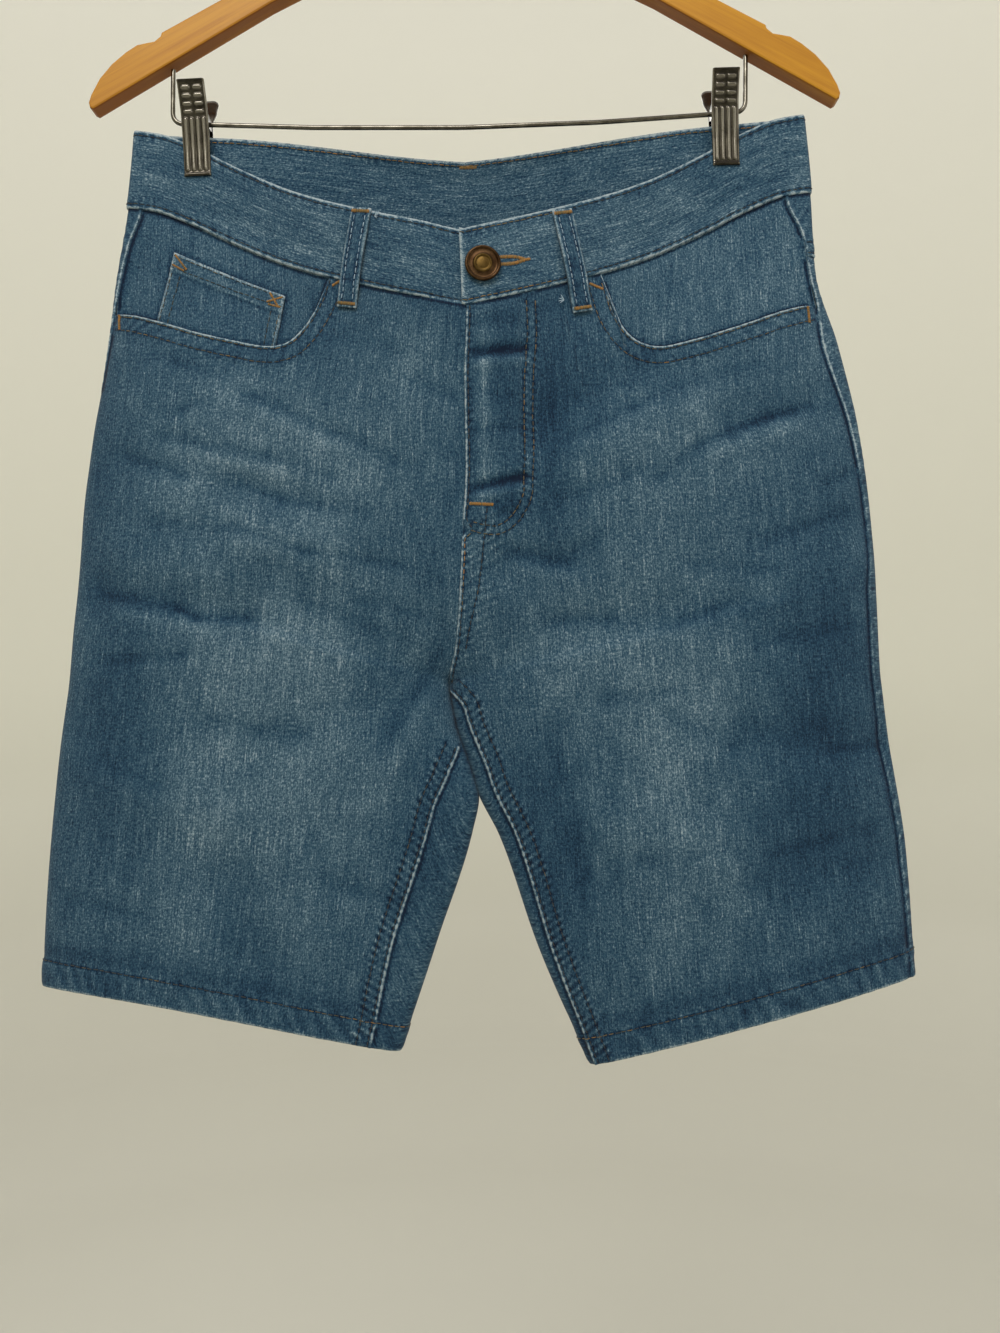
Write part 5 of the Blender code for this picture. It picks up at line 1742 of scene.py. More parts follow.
@dataclass
class CoinPocket(ClothPiece):
    """The small pocket that shows in the left pocket mouth."""

    def layer(self) -> Layer:
        """The pocket's layer of cloth."""
        top_a, top_b, end_a, end_b = (np.array(corner) for corner in COIN_CORNERS)
        u = np.linspace(0, 1, 64)[None, :, None]
        v = np.linspace(0, 1, 52)[:, None, None]
        flat = mix(mix(top_a, top_b, u), mix(end_a, end_b, u), v)
        place, level = LEFT.locate(flat[..., 0], flat[..., 1], True)
        deep = np.linalg.norm(mix(end_a, end_b, u) - mix(top_a, top_b, u), axis=-1) * v[..., 0]
        from_side = np.minimum(u, 1 - u)[..., 0] * np.linalg.norm(top_b - top_a)
        rise = facing_height(LEFT, place, level) + PATCH_FACE
        hem = 0.0006 * (1 - smooth((deep - COIN_BAND) / 0.0012))
        sides = 0.0003 * (1 - smooth((from_side - 0.006) / 0.002))
        sides -= 0.0004 * bump_at(from_side, 0, 0.0008)
        made = skin_layer(LEFT, place, level, rise + hem + sides, CLOTH_WALL)
        edge = 0.38 * bump_at(from_side, 0.0006, 0.0012) + 0.42 * bump_at(deep, 0.0006, 0.0011)
        edge += 0.22 * bump_at(deep, COIN_BAND - 0.0006, 0.0010)
        # Painted shadow just below the coin pocket's raised hem.
        edge -= 0.16 * bump_at(deep, COIN_BAND + 0.001, 0.001)
        for row in COIN_ROWS:
            edge -= 0.14 * bump_at(deep, row, ROW_TONE_REACH)
        edge += 0.06 * (deep < COIN_BAND)
        return Layer(made.outer, made.inner, made.tone + edge - 0.02)


@dataclass
class BackPocket(ClothPiece):
    """A five-sided patch pocket on a back panel."""

    half: Half = LEFT

    def spot(self, u: Array, v: Array) -> tuple[Array, Array]:
        """x and z of a place on the pocket, u across from -1 to 1 and v down from 0 to 1.

        Args:
            u: Places across.
            v: Places down.

        Returns:
            World x, and world z.
        """
        sign = self.half.sign
        x = sign * (POCKET_X + POCKET_DRIFT * v) + u * mix(*POCKET_WIDTH, v) / 2
        return x, POCKET_TOP_Z + POCKET_SLANT * sign * u - v * self.fall(u)

    @staticmethod
    def fall(u: Array) -> Array:
        """The pocket's height at a place across it."""
        return mix(POCKET_HEIGHT[1], POCKET_HEIGHT[0], np.abs(u))

    def layer(self) -> Layer:
        """The pocket's layer of cloth."""
        wide, tall = POCKET_WIDTH[0], POCKET_GRID_HEIGHT
        beside = ((0.0, POCKET_DENSE), (wide - POCKET_DENSE, wide))
        below = ((0.0, POCKET_TOP_DENSE), (tall - POCKET_DENSE, tall))
        u = stations(wide, beside, POCKET_STEP, POCKET_FINE_STEP)[None, :] * 2 - 1
        v = stations(tall, below, POCKET_STEP, POCKET_FINE_ROW)[:, None]
        x, z = self.spot(u, v)
        place, level = self.half.locate(x, z, front=False)
        side = (1 - np.abs(u)) * mix(*POCKET_WIDTH, v) / 2
        top, foot = v * self.fall(u), (1 - v) * self.fall(u)
        edge = np.minimum(side, foot)
        rise = PATCH_FACE - PIECE_EDGE_DROP * bump_at(np.minimum(edge, top), 0.0, EDGE_REACH)
        rise = rise + 0.0003 * (1 - smooth((edge - 0.0085) / 0.002))
        rise = rise + 0.0004 * (1 - smooth((top - 0.0155) / 0.0015))
        made = skin_layer(self.half, place, level, rise, CLOTH_WALL)
        tone = 0.36 * bump_at(edge, 0.0005, 0.0011) + 0.40 * bump_at(top, 0.0005, 0.0011)
        for row in POCKET_ROWS:
            tone -= ROW_TONE * bump_at(edge, row, ROW_TONE_REACH)
        tone -= ROW_TONE * bump_at(top, POCKET_TOP_ROW, ROW_TONE_REACH)
        return Layer(made.outer, made.inner, made.tone + tone)


def on_front(x: Array, level: Array, out: float) -> Array:
    """Points at a height above the front skin at x, on whichever half holds it.

    Args:
        x: World x.
        level: Levels.
        out: The height, in metres.

    Returns:
        World points.
    """
    points = np.zeros(x.shape + (3,))
    for half in HALVES:
        mask = (x < 0) == (half.side is Side.LEFT)
        xs, levels = x[mask], level[mask]
        width = half.inner_x(levels) - half.fold_x(levels)
        q = half.ring_place(np.clip((xs - half.fold_x(levels)) / width, 0, 1), levels)
        at = half.bare(q, levels)
        points[mask] = at + half.normal(q, levels) * out
    return points


SHIELD_FOOT_LEVELS = (0.285, 0.225)
SHIELD_CURVE = (0.008, 0.038)
SHIELD_EDGES = (-0.014, 0.038)
SHIELD_OUT = -2 * CLOTH_WALL - 0.0010


@dataclass
class FlyShield(ClothPiece):
    """The strip behind the fly opening."""

    def layer(self) -> Layer:
        """The strip's layer of cloth."""
        x = np.linspace(*SHIELD_EDGES, 28)[None, :]
        curve = smooth((x - SHIELD_CURVE[0]) / (SHIELD_CURVE[1] - SHIELD_CURVE[0]))
        foot = mix(*SHIELD_FOOT_LEVELS, curve)
        level = mix(UNDER_BAND_LEVEL, foot, np.linspace(0, 1, 56)[:, None])
        x = np.broadcast_to(x, level.shape)
        outer = on_front(x, level, SHIELD_OUT)
        inner = on_front(x, level, SHIELD_OUT - CLOTH_WALL)
        return Layer(outer, inner, np.zeros(level.shape))


UNDERLAP_END = 0.038
OVERLAP_TIP = -0.0024
LAP_STEP = (-0.028, -0.006)
BAND_SHELL_WALL = 0.0024
LAP_DROP = BAND_SHELL_WALL + GAP
# Ring places on both sides of an outer fold, between which the cross lines lie closer.
FOLD_PLACE = 0.04
BAND_HEIGHT = 0.046
BAND_FOOT_LEVEL = -0.0002
TIP_TONES = (0.10, 0.35, 0.50)


@dataclass
class Waistband(ClothPiece):
    """One strip, from the underlap round the back to the end that laps over it."""

    def stops(self) -> list[tuple[Half, float, float]]:
        """(half, ring place, drop) of each cross line, from the underlap's end."""

        def place_at(half: Half, x: float) -> float:
            """The ring place at x on a half's front, at the waistband's seam."""
            width = half.inner_x(0.0) - half.fold_x(0.0)
            return float(half.ring_place(np.array((x - half.fold_x(0.0)) / width), np.array(0.0)))

        found = [(RIGHT, place_at(RIGHT, x), LAP_DROP) for x in np.arange(UNDERLAP_END, 0.001, -0.002)]
        found.append((LEFT, 1.0, LAP_DROP))
        lap_from, lap_full = LAP_STEP
        for x in np.linspace(-0.002, lap_from, 14):
            drop = LAP_DROP * float(smooth((x - lap_from) / (lap_full - lap_from)))
            found.append((LEFT, place_at(LEFT, x), drop))
        runs = (
            (LEFT, found[-1][1], FOLD_PLACE, 92), (LEFT, FOLD_PLACE, -FOLD_PLACE, 9),
            (LEFT, -FOLD_PLACE, -1.0, 104), (RIGHT, -1.0, -FOLD_PLACE, 104),
            (RIGHT, -FOLD_PLACE, FOLD_PLACE, 9), (RIGHT, FOLD_PLACE, 1.0, 104),
        )
        for half, start, end, count in runs:
            found += [(half, float(p), 0.0) for p in np.linspace(start, end, count)[1:]]
        found.append((LEFT, place_at(LEFT, -0.0012), 0.0))
        found.append((LEFT, place_at(LEFT, OVERLAP_TIP), 0.0))
        return found

    def layer(self) -> Layer:
        """The band's layer of cloth."""
        dense = ((0.0, 0.006), (BAND_HEIGHT - 0.006, BAND_HEIGHT))
        levels = BAND_TOP - BAND_TOP * stations(BAND_HEIGHT, dense, 0.0026, 0.0009)
        levels[-1] = BAND_FOOT_LEVEL
        outer, inner, tone, lines = [], [], [], []
        for half, place, drop in self.stops():
            places = np.full((len(levels), 1), place)
            made = skin_layer(half, places, levels[:, None], BAND_FACE - drop, BAND_SHELL_WALL)
            outer.append(made.outer[:, 0])
            inner.append(made.inner[:, 0])
            tone.append(made.tone[:, 0])
            lines.append(made.lines[:, 0])
        tone_grid = np.stack(tone, 1)
        tone_grid[:, -3:] += np.array(TIP_TONES)
        return Layer(np.stack(outer, 1), np.stack(inner, 1), tone_grid, Warp.ACROSS, np.stack(lines, 1))


class Loop(NamedTuple):
    """A belt loop: the middles of its ends in XZ, and whether it is in front."""

    name: str
    x_top: float
    z_top: float
    x_end: float
    z_end: float
    front: bool


LOOPS = (
    Loop("belt_loop_front_left", -0.0591, -0.2530, -0.0689, -0.3104, True),
    Loop("belt_loop_front_right", 0.0551, -0.2560, 0.0667, -0.3150, True),
    Loop("belt_loop_back_left", -0.1120, -0.2020, -0.1135, -0.2620, False),
    Loop("belt_loop_back_right", 0.1140, -0.2000, 0.1155, -0.2600, False),
    Loop("belt_loop_centre", 0.0085, -0.2075, 0.0085, -0.2685, False),
)
LOOP_WIDTH = 0.0115
LOOP_WALL = 0.0018
LOOP_ARCH = 0.0014
LOOP_LENGTH = 0.060
LOOP_STEP = (0.004, 0.022)
LOOP_ROW = 0.0026
LOOP_SINK = 0.0002


@dataclass
class BeltLoop(ClothPiece):
    """A folded strip standing a little proud between its sewn ends."""

    loop: Loop = LOOPS[0]

    def spot(self, across: Array, along: Array) -> tuple[Half, Array, Array, Array]:
        """Its place on the skin, and how high its under side lies there.

        Args:
            across: Distance from its middle line, in metres.
            along: From 0 at its upper end to 1.

        Returns:
            The half, ring places, levels and heights.
        """
        loop = self.loop
        half = LEFT if loop.x_top < 0 else RIGHT
        run = np.array([loop.x_end - loop.x_top, loop.z_end - loop.z_top])
        side = np.array([-run[1], run[0]]) / np.linalg.norm(run)
        x = loop.x_top + along * run[0] + across * side[0]
        z = loop.z_top + along * run[1] + across * side[1]
        place, level = half.locate(x, z, loop.front)
        below = smooth((level - LOOP_STEP[0]) / (LOOP_STEP[1] - LOOP_STEP[0]))
        seat = mix(BAND_PROUD, 0.0, below) + LAID_ON
        return half, place, level, seat + LOOP_ARCH * np.sin(math.pi * along) ** 2

    def face(self, across: Array, along: Array) -> tuple[Array, Array]:
        """Points just under its outer face, where its stitches lie, and the normals there.

        Args:
            across: Places across the loop, in metres.
            along: Shares along it.

        Returns:
            World points, and unit normals.
        """
        half, place, level, rise = self.spot(across, along)
        normal = half.normal(place, level)
        return half.bare(place, level) + normal * (rise + LOOP_WALL - LOOP_SINK)[:, None], normal

    def layer(self) -> Layer:
        """The loop's layer of cloth."""
        along = np.linspace(0, 1, 76)[:, None]
        across = (np.linspace(-0.5, 0.5, 19) * LOOP_WIDTH)[None, :]
        half, place, level, rise = self.spot(across, along)
        edge = LOOP_WIDTH / 2 - np.abs(across)
        length = LOOP_LENGTH * np.minimum(along, 1 - along)
        crown = LOOP_WALL - PIECE_EDGE_DROP * bump_at(edge, 0, EDGE_REACH)
        crown = crown + 0.00012 * bump_at(edge, 0.0012, 0.001)
        crown = crown - 0.0003 * bump_at(edge, LOOP_ROW, 0.0008)
        crown = crown - 0.0005 * bump_at(length, 0.0022, 0.0016) - 0.0005 * bump_at(length, 0, 0.0010)
        bare, normal = half.bare(place, level), half.normal(place, level)
        wobble = 0.00016 * GROUND(along * 14 + self.loop.x_top * 900, across / 0.004)
        outer = bare + normal * (rise + crown + wobble)[..., None]
        inner = bare + normal * rise[..., None]
        tone = 0.42 * bump_at(edge, 0.0004, 0.0009) + 0.05 * bump_at(edge, 0.0046, 0.0016)
        tone = tone - 0.18 * bump_at(edge, LOOP_ROW, 0.0010) + 900 * wobble
        tone = tone + 0.45 * bump_at(length, 0.0004, 0.0010)
        return Layer(outer, inner, tone)


# ------------------------------------------------------------------ finishes
Colour = tuple[float, float, float, float]


def shade(red: int, green: int, blue: int) -> Colour:
    """A colour as the shader takes it, from how it looks on a screen (0 to 255 each).

    Args:
        red: Its red.
        green: Its green.
        blue: Its blue.

    Returns:
        The colour.
    """
    linear = [c / 12.92 if c <= 0.04045 else ((c + 0.055) / 1.055) ** 2.4
              for c in (red / 255, green / 255, blue / 255)]
    return (linear[0], linear[1], linear[2], 1.0)


class Tree:
    """A short way to write shader nodes and their links."""

    def __init__(self, tree: bpy.types.NodeTree) -> None:
        """Takes the node tree to write in."""
        self.tree = tree

    def add(self, kind: str, inputs: dict[str | int, object] | None = None,
            **settings: object) -> bpy.types.Node:
        """Adds a node.

        Args:
            kind: Its type, without "ShaderNode".
            inputs: Values or sockets for its inputs, by name or number.
            settings: Its own settings.

        Returns:
            The node.
        """
        node = self.tree.nodes.new("ShaderNode" + kind)
        for name, value in settings.items():
            setattr(node, name, value)
        for key, value in (inputs or {}).items():
            if isinstance(value, bpy.types.NodeSocket):
                self.tree.links.new(value, node.inputs[key])
            else:
                node.inputs[key].default_value = value
        return node

    def math(self, operation: str, a: object, b: object = 0.0) -> bpy.types.NodeSocket:
        """Adds a Math node and gives its output."""
        return self.add("Math", {0: a, 1: b}, operation=operation).outputs[0]

    def plus(self, a: object, b: object) -> bpy.types.NodeSocket:
        """a + b."""
        return self.math("ADD", a, b)

    def less(self, a: object, b: object) -> bpy.types.NodeSocket:
        """a - b."""
        return self.math("SUBTRACT", a, b)

    def times(self, a: object, b: object) -> bpy.types.NodeSocket:
        """a * b."""
        return self.math("MULTIPLY", a, b)

    def about_half(self, source: object, weight: float) -> bpy.types.NodeSocket:
        """How far a value from 0 to 1 lies from its middle, times a weight."""
        return self.times(self.less(source, 0.5), weight)

    def join(self, source: object, node: bpy.types.Node, name: str) -> None:
        """Links a socket to a node's named input."""
        self.tree.links.new(source, node.inputs[name])

    def noise(self, vector: object, scale: float, detail: float = 2.0,
              rough: float = 0.5) -> bpy.types.NodeSocket:
        """Adds a Noise Texture and gives its value.

        Args:
            vector: Where it is read.
            scale: Its scale.
            detail: Its detail.
            rough: Its roughness.

        Returns:
            The value's socket.
        """
        node = self.add("TexNoise", {"Vector": vector, "Scale": scale, "Detail": detail,
                                     "Roughness": rough})
        return node.outputs["Fac"]

    def stretched(self, vector: object, size: tuple[float, float, float]) -> bpy.types.NodeSocket:
        """Scales a vector on each axis."""
        return self.add("VectorMath", {0: vector, 1: size}, operation="MULTIPLY").outputs[0]

    def ramp(self, value: object, stops: Sequence[tuple[float, Colour]]) -> bpy.types.NodeSocket:
        """Adds a Color Ramp and gives its colour.

        Args:
            value: What it reads.
            stops: Its stops, as (place, colour).

        Returns:
            The colour's socket.
        """
        node = self.add("ValToRGB", {"Fac": value})
        ramp = node.color_ramp
        while len(ramp.elements) < len(stops):
            ramp.elements.new(0.5)
        for element, (place, colour) in zip(ramp.elements, stops):
            element.position, element.color = place, colour
        return node.outputs["Color"]

    def bump(self, value: object, at: object, reach: float) -> bpy.types.NodeSocket:
        """1 where a value is at a number, falling softly to 0 on both sides of it.

        Args:
            value: The value.
            at: The number.
            reach: Its reach; it ends 1.7 times as far away.

        Returns:
            The result's socket.
        """
        away = self.math("ABSOLUTE", self.less(value, at))
        node = self.add("MapRange", {0: away, 1: 0.0, 2: 1.7 * reach, 3: 1.0, 4: 0.0},
                        interpolation_type="SMOOTHSTEP")
        return node.outputs[0]

    def band(self, value: object, low: float, high: float, to_low: float = 0.0,
             to_high: float = 1.0) -> bpy.types.NodeSocket:
        """Maps a value from one range to another and holds it there."""
        node = self.add("MapRange", {0: value, 1: low, 2: high, 3: to_low, 4: to_high})
        return node.outputs[0]


def new_group(name: str, takes: Sequence[tuple[str, float]],
              gives: Sequence[tuple[str, str]]) -> tuple[Tree, bpy.types.Node, bpy.types.Node]:
    """Starts a shader node group.

    Args:
        name: The group's name.
        takes: (name, default) of each number that it takes.
        gives: (name, socket type) of each output.

    Returns:
        Its tree, its input node and its output node.
    """
    tree = bpy.data.node_groups.new(name, "ShaderNodeTree")
    for label, value in takes:
        socket = tree.interface.new_socket(label, in_out="INPUT", socket_type="NodeSocketFloat")
        socket.default_value = value
    for label, kind in gives:
        tree.interface.new_socket(label, in_out="OUTPUT", socket_type=kind)
    writer = Tree(tree)
    return writer, tree.nodes.new("NodeGroupInput"), tree.nodes.new("NodeGroupOutput")


COLOUR, NUMBER = "NodeSocketColor", "NodeSocketFloat"
# Radians of the twill's rib to a metre: one rib every 0.95 mm.
RIB_RATE = 6283.0 / 0.95
# How far a stitch row's thread and the puckered cloth beside it reach, in metres.
STITCH_REACH = 0.00085
BESIDE_REACH = 0.0022
# The value of plain cloth on WORN_STOPS.
PLAIN_CLOTH = 0.47
WORN_STOPS = (
    (0.00, shade(5, 24, 46)),
    (0.22, shade(17, 47, 71)),
    (0.45, shade(39, 72, 94)),
    (0.62, shade(66, 93, 109)),
    (0.80, shade(103, 127, 142)),
    (1.00, shade(152, 167, 174)),
)
REVERSE_STOPS = (
    (0.00, shade(20, 36, 52)),
    (0.35, shade(40, 62, 78)),
    (0.60, shade(62, 86, 100)),
    (1.00, shade(130, 146, 152)),
)


def seam_group() -> bpy.types.NodeTree:
    """A seam's worn edge, the painted shadow beside it and its stitch holes, from what TRACED lists."""
    t, _, give = new_group("seam_lines", (), (("Tone", NUMBER), ("Height", NUMBER)))
    read = {name: t.add("Attribute", attribute_name=name).outputs["Fac"] for name in TRACED}
    edge = read["edge"]
    flat = t.add("CombineXYZ", {0: read["run"], 1: t.times(edge, 1.5)}).outputs[0]
    uneven = t.band(t.noise(flat, 330.0, 2.0, 0.6), 0.35, 0.65, 0.45, 1.25)
    worn = t.times(t.times(t.bump(edge, 0.0004, STITCH_REACH), read["wear"]), uneven)
    # Painted shadow on the cloth beside the seam's raised edge.
    dark = t.times(t.bump(edge, -0.0009, 0.0010), read["shade"])
    holed = t.math("MINIMUM", t.times(read["holes"], 2.5), 1.0)
    rows, beside = (
        t.math("MAXIMUM", t.bump(edge, read["row_a"], reach), t.bump(edge, read["row_b"], reach))
        for reach in (STITCH_REACH, BESIDE_REACH)
    )
    wave = t.math("SINE", t.times(read["run"], 2 * math.pi / ROPE_PITCH))
    patchy = t.band(t.noise(flat, 110.0, 1.0), 0.35, 0.6, 0.45, 1.0)
    ladder = t.times(t.times(wave, beside), t.times(read["holes"], patchy))
    total = t.less(t.less(worn, dark), t.times(t.times(rows, holed), 0.24))
    t.join(t.plus(total, t.times(ladder, 0.19)), give, "Tone")
    t.join(ladder, give, "Height")
    return t.tree


def twill_group() -> bpy.types.NodeTree:
    """Faded twill: slubby warp streaks, weft specks and a fine diagonal rib, with the seams' lines and their
    painted shadows.
    """
    takes = (("Tone", 0.0), ("Reverse", 0.0), ("Depth", 0.0), ("Streak", 1.0))
    t, take, give = new_group("faded_twill", takes,
                              (("Color", COLOUR), ("Height", NUMBER), ("Roughness", NUMBER)))
    uv = t.add("UVMap", uv_map="weave").outputs["UV"]
    drift = t.noise(t.stretched(uv, (1.0, 1.0, 0.0)), 9.0, 1.0)
    shift = t.add("CombineXYZ", {0: t.times(drift, 0.004)}).outputs[0]
    bent = t.add("VectorMath", {0: uv, 1: shift}, operation="ADD").outputs[0]
    long_slub = t.noise(t.stretched(bent, (980.0, 48.0, 0.0)), 1.0, 2.0, 0.6)
    short_slub = t.noise(t.stretched(bent, (1500.0, 260.0, 0.0)), 1.0, 2.0, 0.6)
    weft = t.noise(t.stretched(uv, (260.0, 1400.0, 0.0)), 1.0, 2.0, 0.55)
    speck = t.noise(t.stretched(uv, (1150.0, 640.0, 0.0)), 1.0, 2.0, 0.65)
    cloud = t.noise(t.stretched(uv, (60.0, 40.0, 0.0)), 1.0, 3.0, 0.6)
    parts = t.add("SeparateXYZ", {0: uv})
    rib = t.math("SINE", t.times(t.plus(parts.outputs[0], parts.outputs[1]), RIB_RATE))
    slubs = t.plus(t.about_half(long_slub, 0.50), t.about_half(short_slub, 0.46))
    total = t.times(slubs, take.outputs["Streak"])
    mottle = t.noise(t.stretched(bent, (210.0, 120.0, 0.0)), 1.0, 3.0, 0.7)
    bands = t.noise(t.stretched(bent, (260.0, 9.0, 0.0)), 1.0, 2.0, 0.6)
    thick = t.band(t.noise(t.stretched(bent, (820.0, 38.0, 0.0)), 1.0, 1.0), 0.60, 0.74, 0.0, 0.15)
    for source, weight in ((weft, 0.42), (speck, 1.30), (cloud, 0.15), (mottle, 0.26), (bands, 0.20)):
        total = t.plus(total, t.about_half(source, weight))
    total = t.plus(t.plus(total, thick), t.times(rib, 0.045))
    seams = t.add("Group", node_tree=seam_group())
    total = t.plus(total, seams.outputs["Tone"])
    tone = t.plus(take.outputs["Tone"], take.outputs["Depth"])
    value = t.plus(t.plus(total, tone), PLAIN_CLOTH)
    face = t.ramp(value, WORN_STOPS)
    back = t.ramp(value, REVERSE_STOPS)
    colour = t.add("Mix", {0: take.outputs["Reverse"], 6: face, 7: back}, data_type="RGBA")
    yarn = t.times(rib, 0.20)
    for source, weight in ((long_slub, 0.9), (short_slub, 0.6), (speck, 0.8), (seams.outputs["Height"], 0.6)):
        yarn = t.plus(yarn, t.times(source, weight))
    t.join(colour.outputs[2], give, "Color")
    t.join(yarn, give, "Height")
    t.join(t.band(value, 0.1, 0.9, 0.96, 0.82), give, "Roughness")
    return t.tree


def smudge_group() -> bpy.types.NodeTree:
    """Uneven sheen and small dark specks of handled metal."""
    t, _, give = new_group("handled_metal", (), (("Tint", NUMBER), ("Roughness", NUMBER)))
    at = t.add("TexCoord").outputs["Object"]
    cloud = t.noise(at, 120.0, 3.0, 0.6)
    speck = t.noise(at, 1500.0, 2.0, 0.6)
    tint = t.plus(t.band(cloud, 0.3, 0.7, 0.78, 1.0), t.band(speck, 0.60, 0.72, 0.0, -0.16))
    t.join(tint, give, "Tint")
    t.join(t.band(cloud, 0.3, 0.7, 0.24, 0.12), give, "Roughness")
    return t.tree


@dataclass(frozen=True)
class Finish:
    """A finish's name and how light meets it.

    Attributes:
        name: The material's name.
        sheen: How strong its nap is.
        specular: How much it reflects head on.
    """

    name: str
    sheen: float = 0.0
    specular: float = 0.5

    def start(self) -> tuple[bpy.types.Material, Tree, bpy.types.Node]:
        """A new material with its tree and its Principled node."""
        made = bpy.data.materials.new(self.name)
        made.use_nodes = True
        shader = made.node_tree.nodes["Principled BSDF"]
        shader.inputs["Specular IOR Level"].default_value = self.specular
        shader.inputs["Sheen Weight"].default_value = self.sheen
        shader.inputs["Sheen Roughness"].default_value = 0.55
        return made, Tree(made.node_tree), shader


@dataclass(frozen=True)
class Denim(Finish):
    """Faded denim.

    Attributes:
        reverse: 0 for the face of the cloth, 1 for its back.
        depth: How much paler (over 0) or deeper it is as a whole.
        streak: How strongly its warp streaks show.
    """

    sheen: float = 0.10
    specular: float = 0.16
    reverse: float = 0.0
    depth: float = 0.0
    streak: float = 1.0

    def make(self, twill: bpy.types.NodeTree) -> bpy.types.Material:
        """Makes the material.

        Args:
            twill: The weave's node group.

        Returns:
            The material.
        """
        made, t, shader = self.start()
        weave = t.add("Group", node_tree=twill)
        t.join(t.add("Attribute", attribute_name="tone").outputs["Fac"], weave, "Tone")
        weave.inputs["Streak"].default_value = self.streak
        weave.inputs["Reverse"].default_value = self.reverse
        weave.inputs["Depth"].default_value = self.depth
        bump = t.add("Bump", {"Strength": 0.55, "Distance": 0.00035, "Height": weave.outputs["Height"]})
        t.join(weave.outputs["Color"], shader, "Base Color")
        t.join(weave.outputs["Roughness"], shader, "Roughness")
        t.join(bump.outputs["Normal"], shader, "Normal")
        return made


@dataclass(frozen=True)
class ThreadFinish(Finish):
    """Twisted sewing thread.

    Attributes:
        stops: Its colours, from worn to fresh.
    """

    sheen: float = 0.2
    specular: float = 0.3
    stops: tuple[tuple[float, Colour], ...] = ()

    def make(self) -> bpy.types.Material:
        """Makes the material."""
        made, t, shader = self.start()
        fresh = t.add("Attribute", attribute_name="fresh").outputs["Fac"]
        at = t.add("TexCoord").outputs["Object"]
        fuzz = t.noise(at, 2600.0, 2.0)
        value = t.plus(fresh, t.about_half(fuzz, 0.35))
        t.join(t.ramp(value, self.stops), shader, "Base Color")
        t.join(t.band(fuzz, 0.2, 0.8, 0.7, 0.9), shader, "Roughness")
        bump = t.add("Bump", {"Strength": 0.5, "Distance": 0.0002, "Height": fuzz})
        t.join(bump.outputs["Normal"], shader, "Normal")
        return made


@dataclass(frozen=True)
class Metal(Finish):
    """Plated metal.

    Attributes:
        stops: Its colours, from worn to bright.
        base_roughness: How dull it is.
        stamped: Whether painted shade darkens its hollows and painted highlight brightens what stands proud.
    """

    stops: tuple[tuple[float, Colour], ...] = ()
    base_roughness: float = 0.0
    stamped: bool = False

    def make(self, smudges: bpy.types.NodeTree) -> bpy.types.Material:
        """Makes the material.

        Args:
            smudges: The handled metal's node group.

        Returns:
            The material.
        """
        made, t, shader = self.start()
        wear = t.add("Group", node_tree=smudges)
        tint = wear.outputs["Tint"]
        if self.stamped:
            # Painted shade in the hollows and painted highlight on what stands proud.
            proud = t.add("Attribute", attribute_name="proud").outputs["Fac"]
            tint = t.times(tint, t.band(proud, 0.0, 0.9, 0.74, 1.16))
        t.join(t.ramp(tint, self.stops), shader, "Base Color")
        t.join(t.plus(wear.outputs["Roughness"], self.base_roughness), shader, "Roughness")
        shader.inputs["Metallic"].default_value = 1.0
        return made


@dataclass(frozen=True)
class Wood(Finish):
    """Varnished wood, its grain along each arm, with painted shade where it faces down.

    Attributes:
        stops: Its colours, from dark grain to pale.
        arm_slope: Slope of an arm in radians.
    """

    stops: tuple[tuple[float, Colour], ...] = ()
    arm_slope: float = 0.50

    def make(self) -> bpy.types.Material:
        """Makes the material."""
        made, t, shader = self.start()
        at = t.add("SeparateXYZ", {0: t.add("TexCoord").outputs["Object"]})
        away = t.math("ABSOLUTE", at.outputs[0])
        side = t.math("SIGN", at.outputs[0])
        c, s = math.cos(self.arm_slope), math.sin(self.arm_slope)
        along = t.less(t.times(away, c), t.times(at.outputs[2], s))
        across = t.plus(t.times(away, s), t.times(at.outputs[2], c))
        along = t.plus(along, t.times(side, 0.7))
        place = t.add("CombineXYZ", {0: along, 1: at.outputs[1], 2: across}).outputs[0]
        wander = t.noise(t.stretched(place, (6.0, 20.0, 40.0)), 1.0, 2.0)
        rings = t.noise(t.stretched(place, (9.0, 150.0, 330.0)), 1.0, 4.0, 0.65)
        pores = t.noise(t.stretched(place, (60.0, 1500.0, 2600.0)), 1.0, 2.0, 0.6)
        value = t.plus(t.times(rings, 0.55), t.times(wander, 0.45))
        value = t.plus(value, t.about_half(pores, 0.18))
        # Painted shade: darker where the surface faces down.
        under = t.add("SeparateXYZ", {0: t.add("TexCoord").outputs["Normal"]}).outputs[2]
        value = t.plus(value, t.band(under, -0.75, -0.30, -0.36, 0.0))
        t.join(t.ramp(value, self.stops), shader, "Base Color")
        t.join(t.band(wander, 0.2, 0.8, 0.52, 0.40), shader, "Roughness")
        bump = t.add("Bump", {"Strength": 0.25, "Distance": 0.0003, "Height": pores})
        t.join(bump.outputs["Normal"], shader, "Normal")
        shader.inputs["Coat Weight"].default_value = 0.06
        shader.inputs["Coat Roughness"].default_value = 0.30
        return made


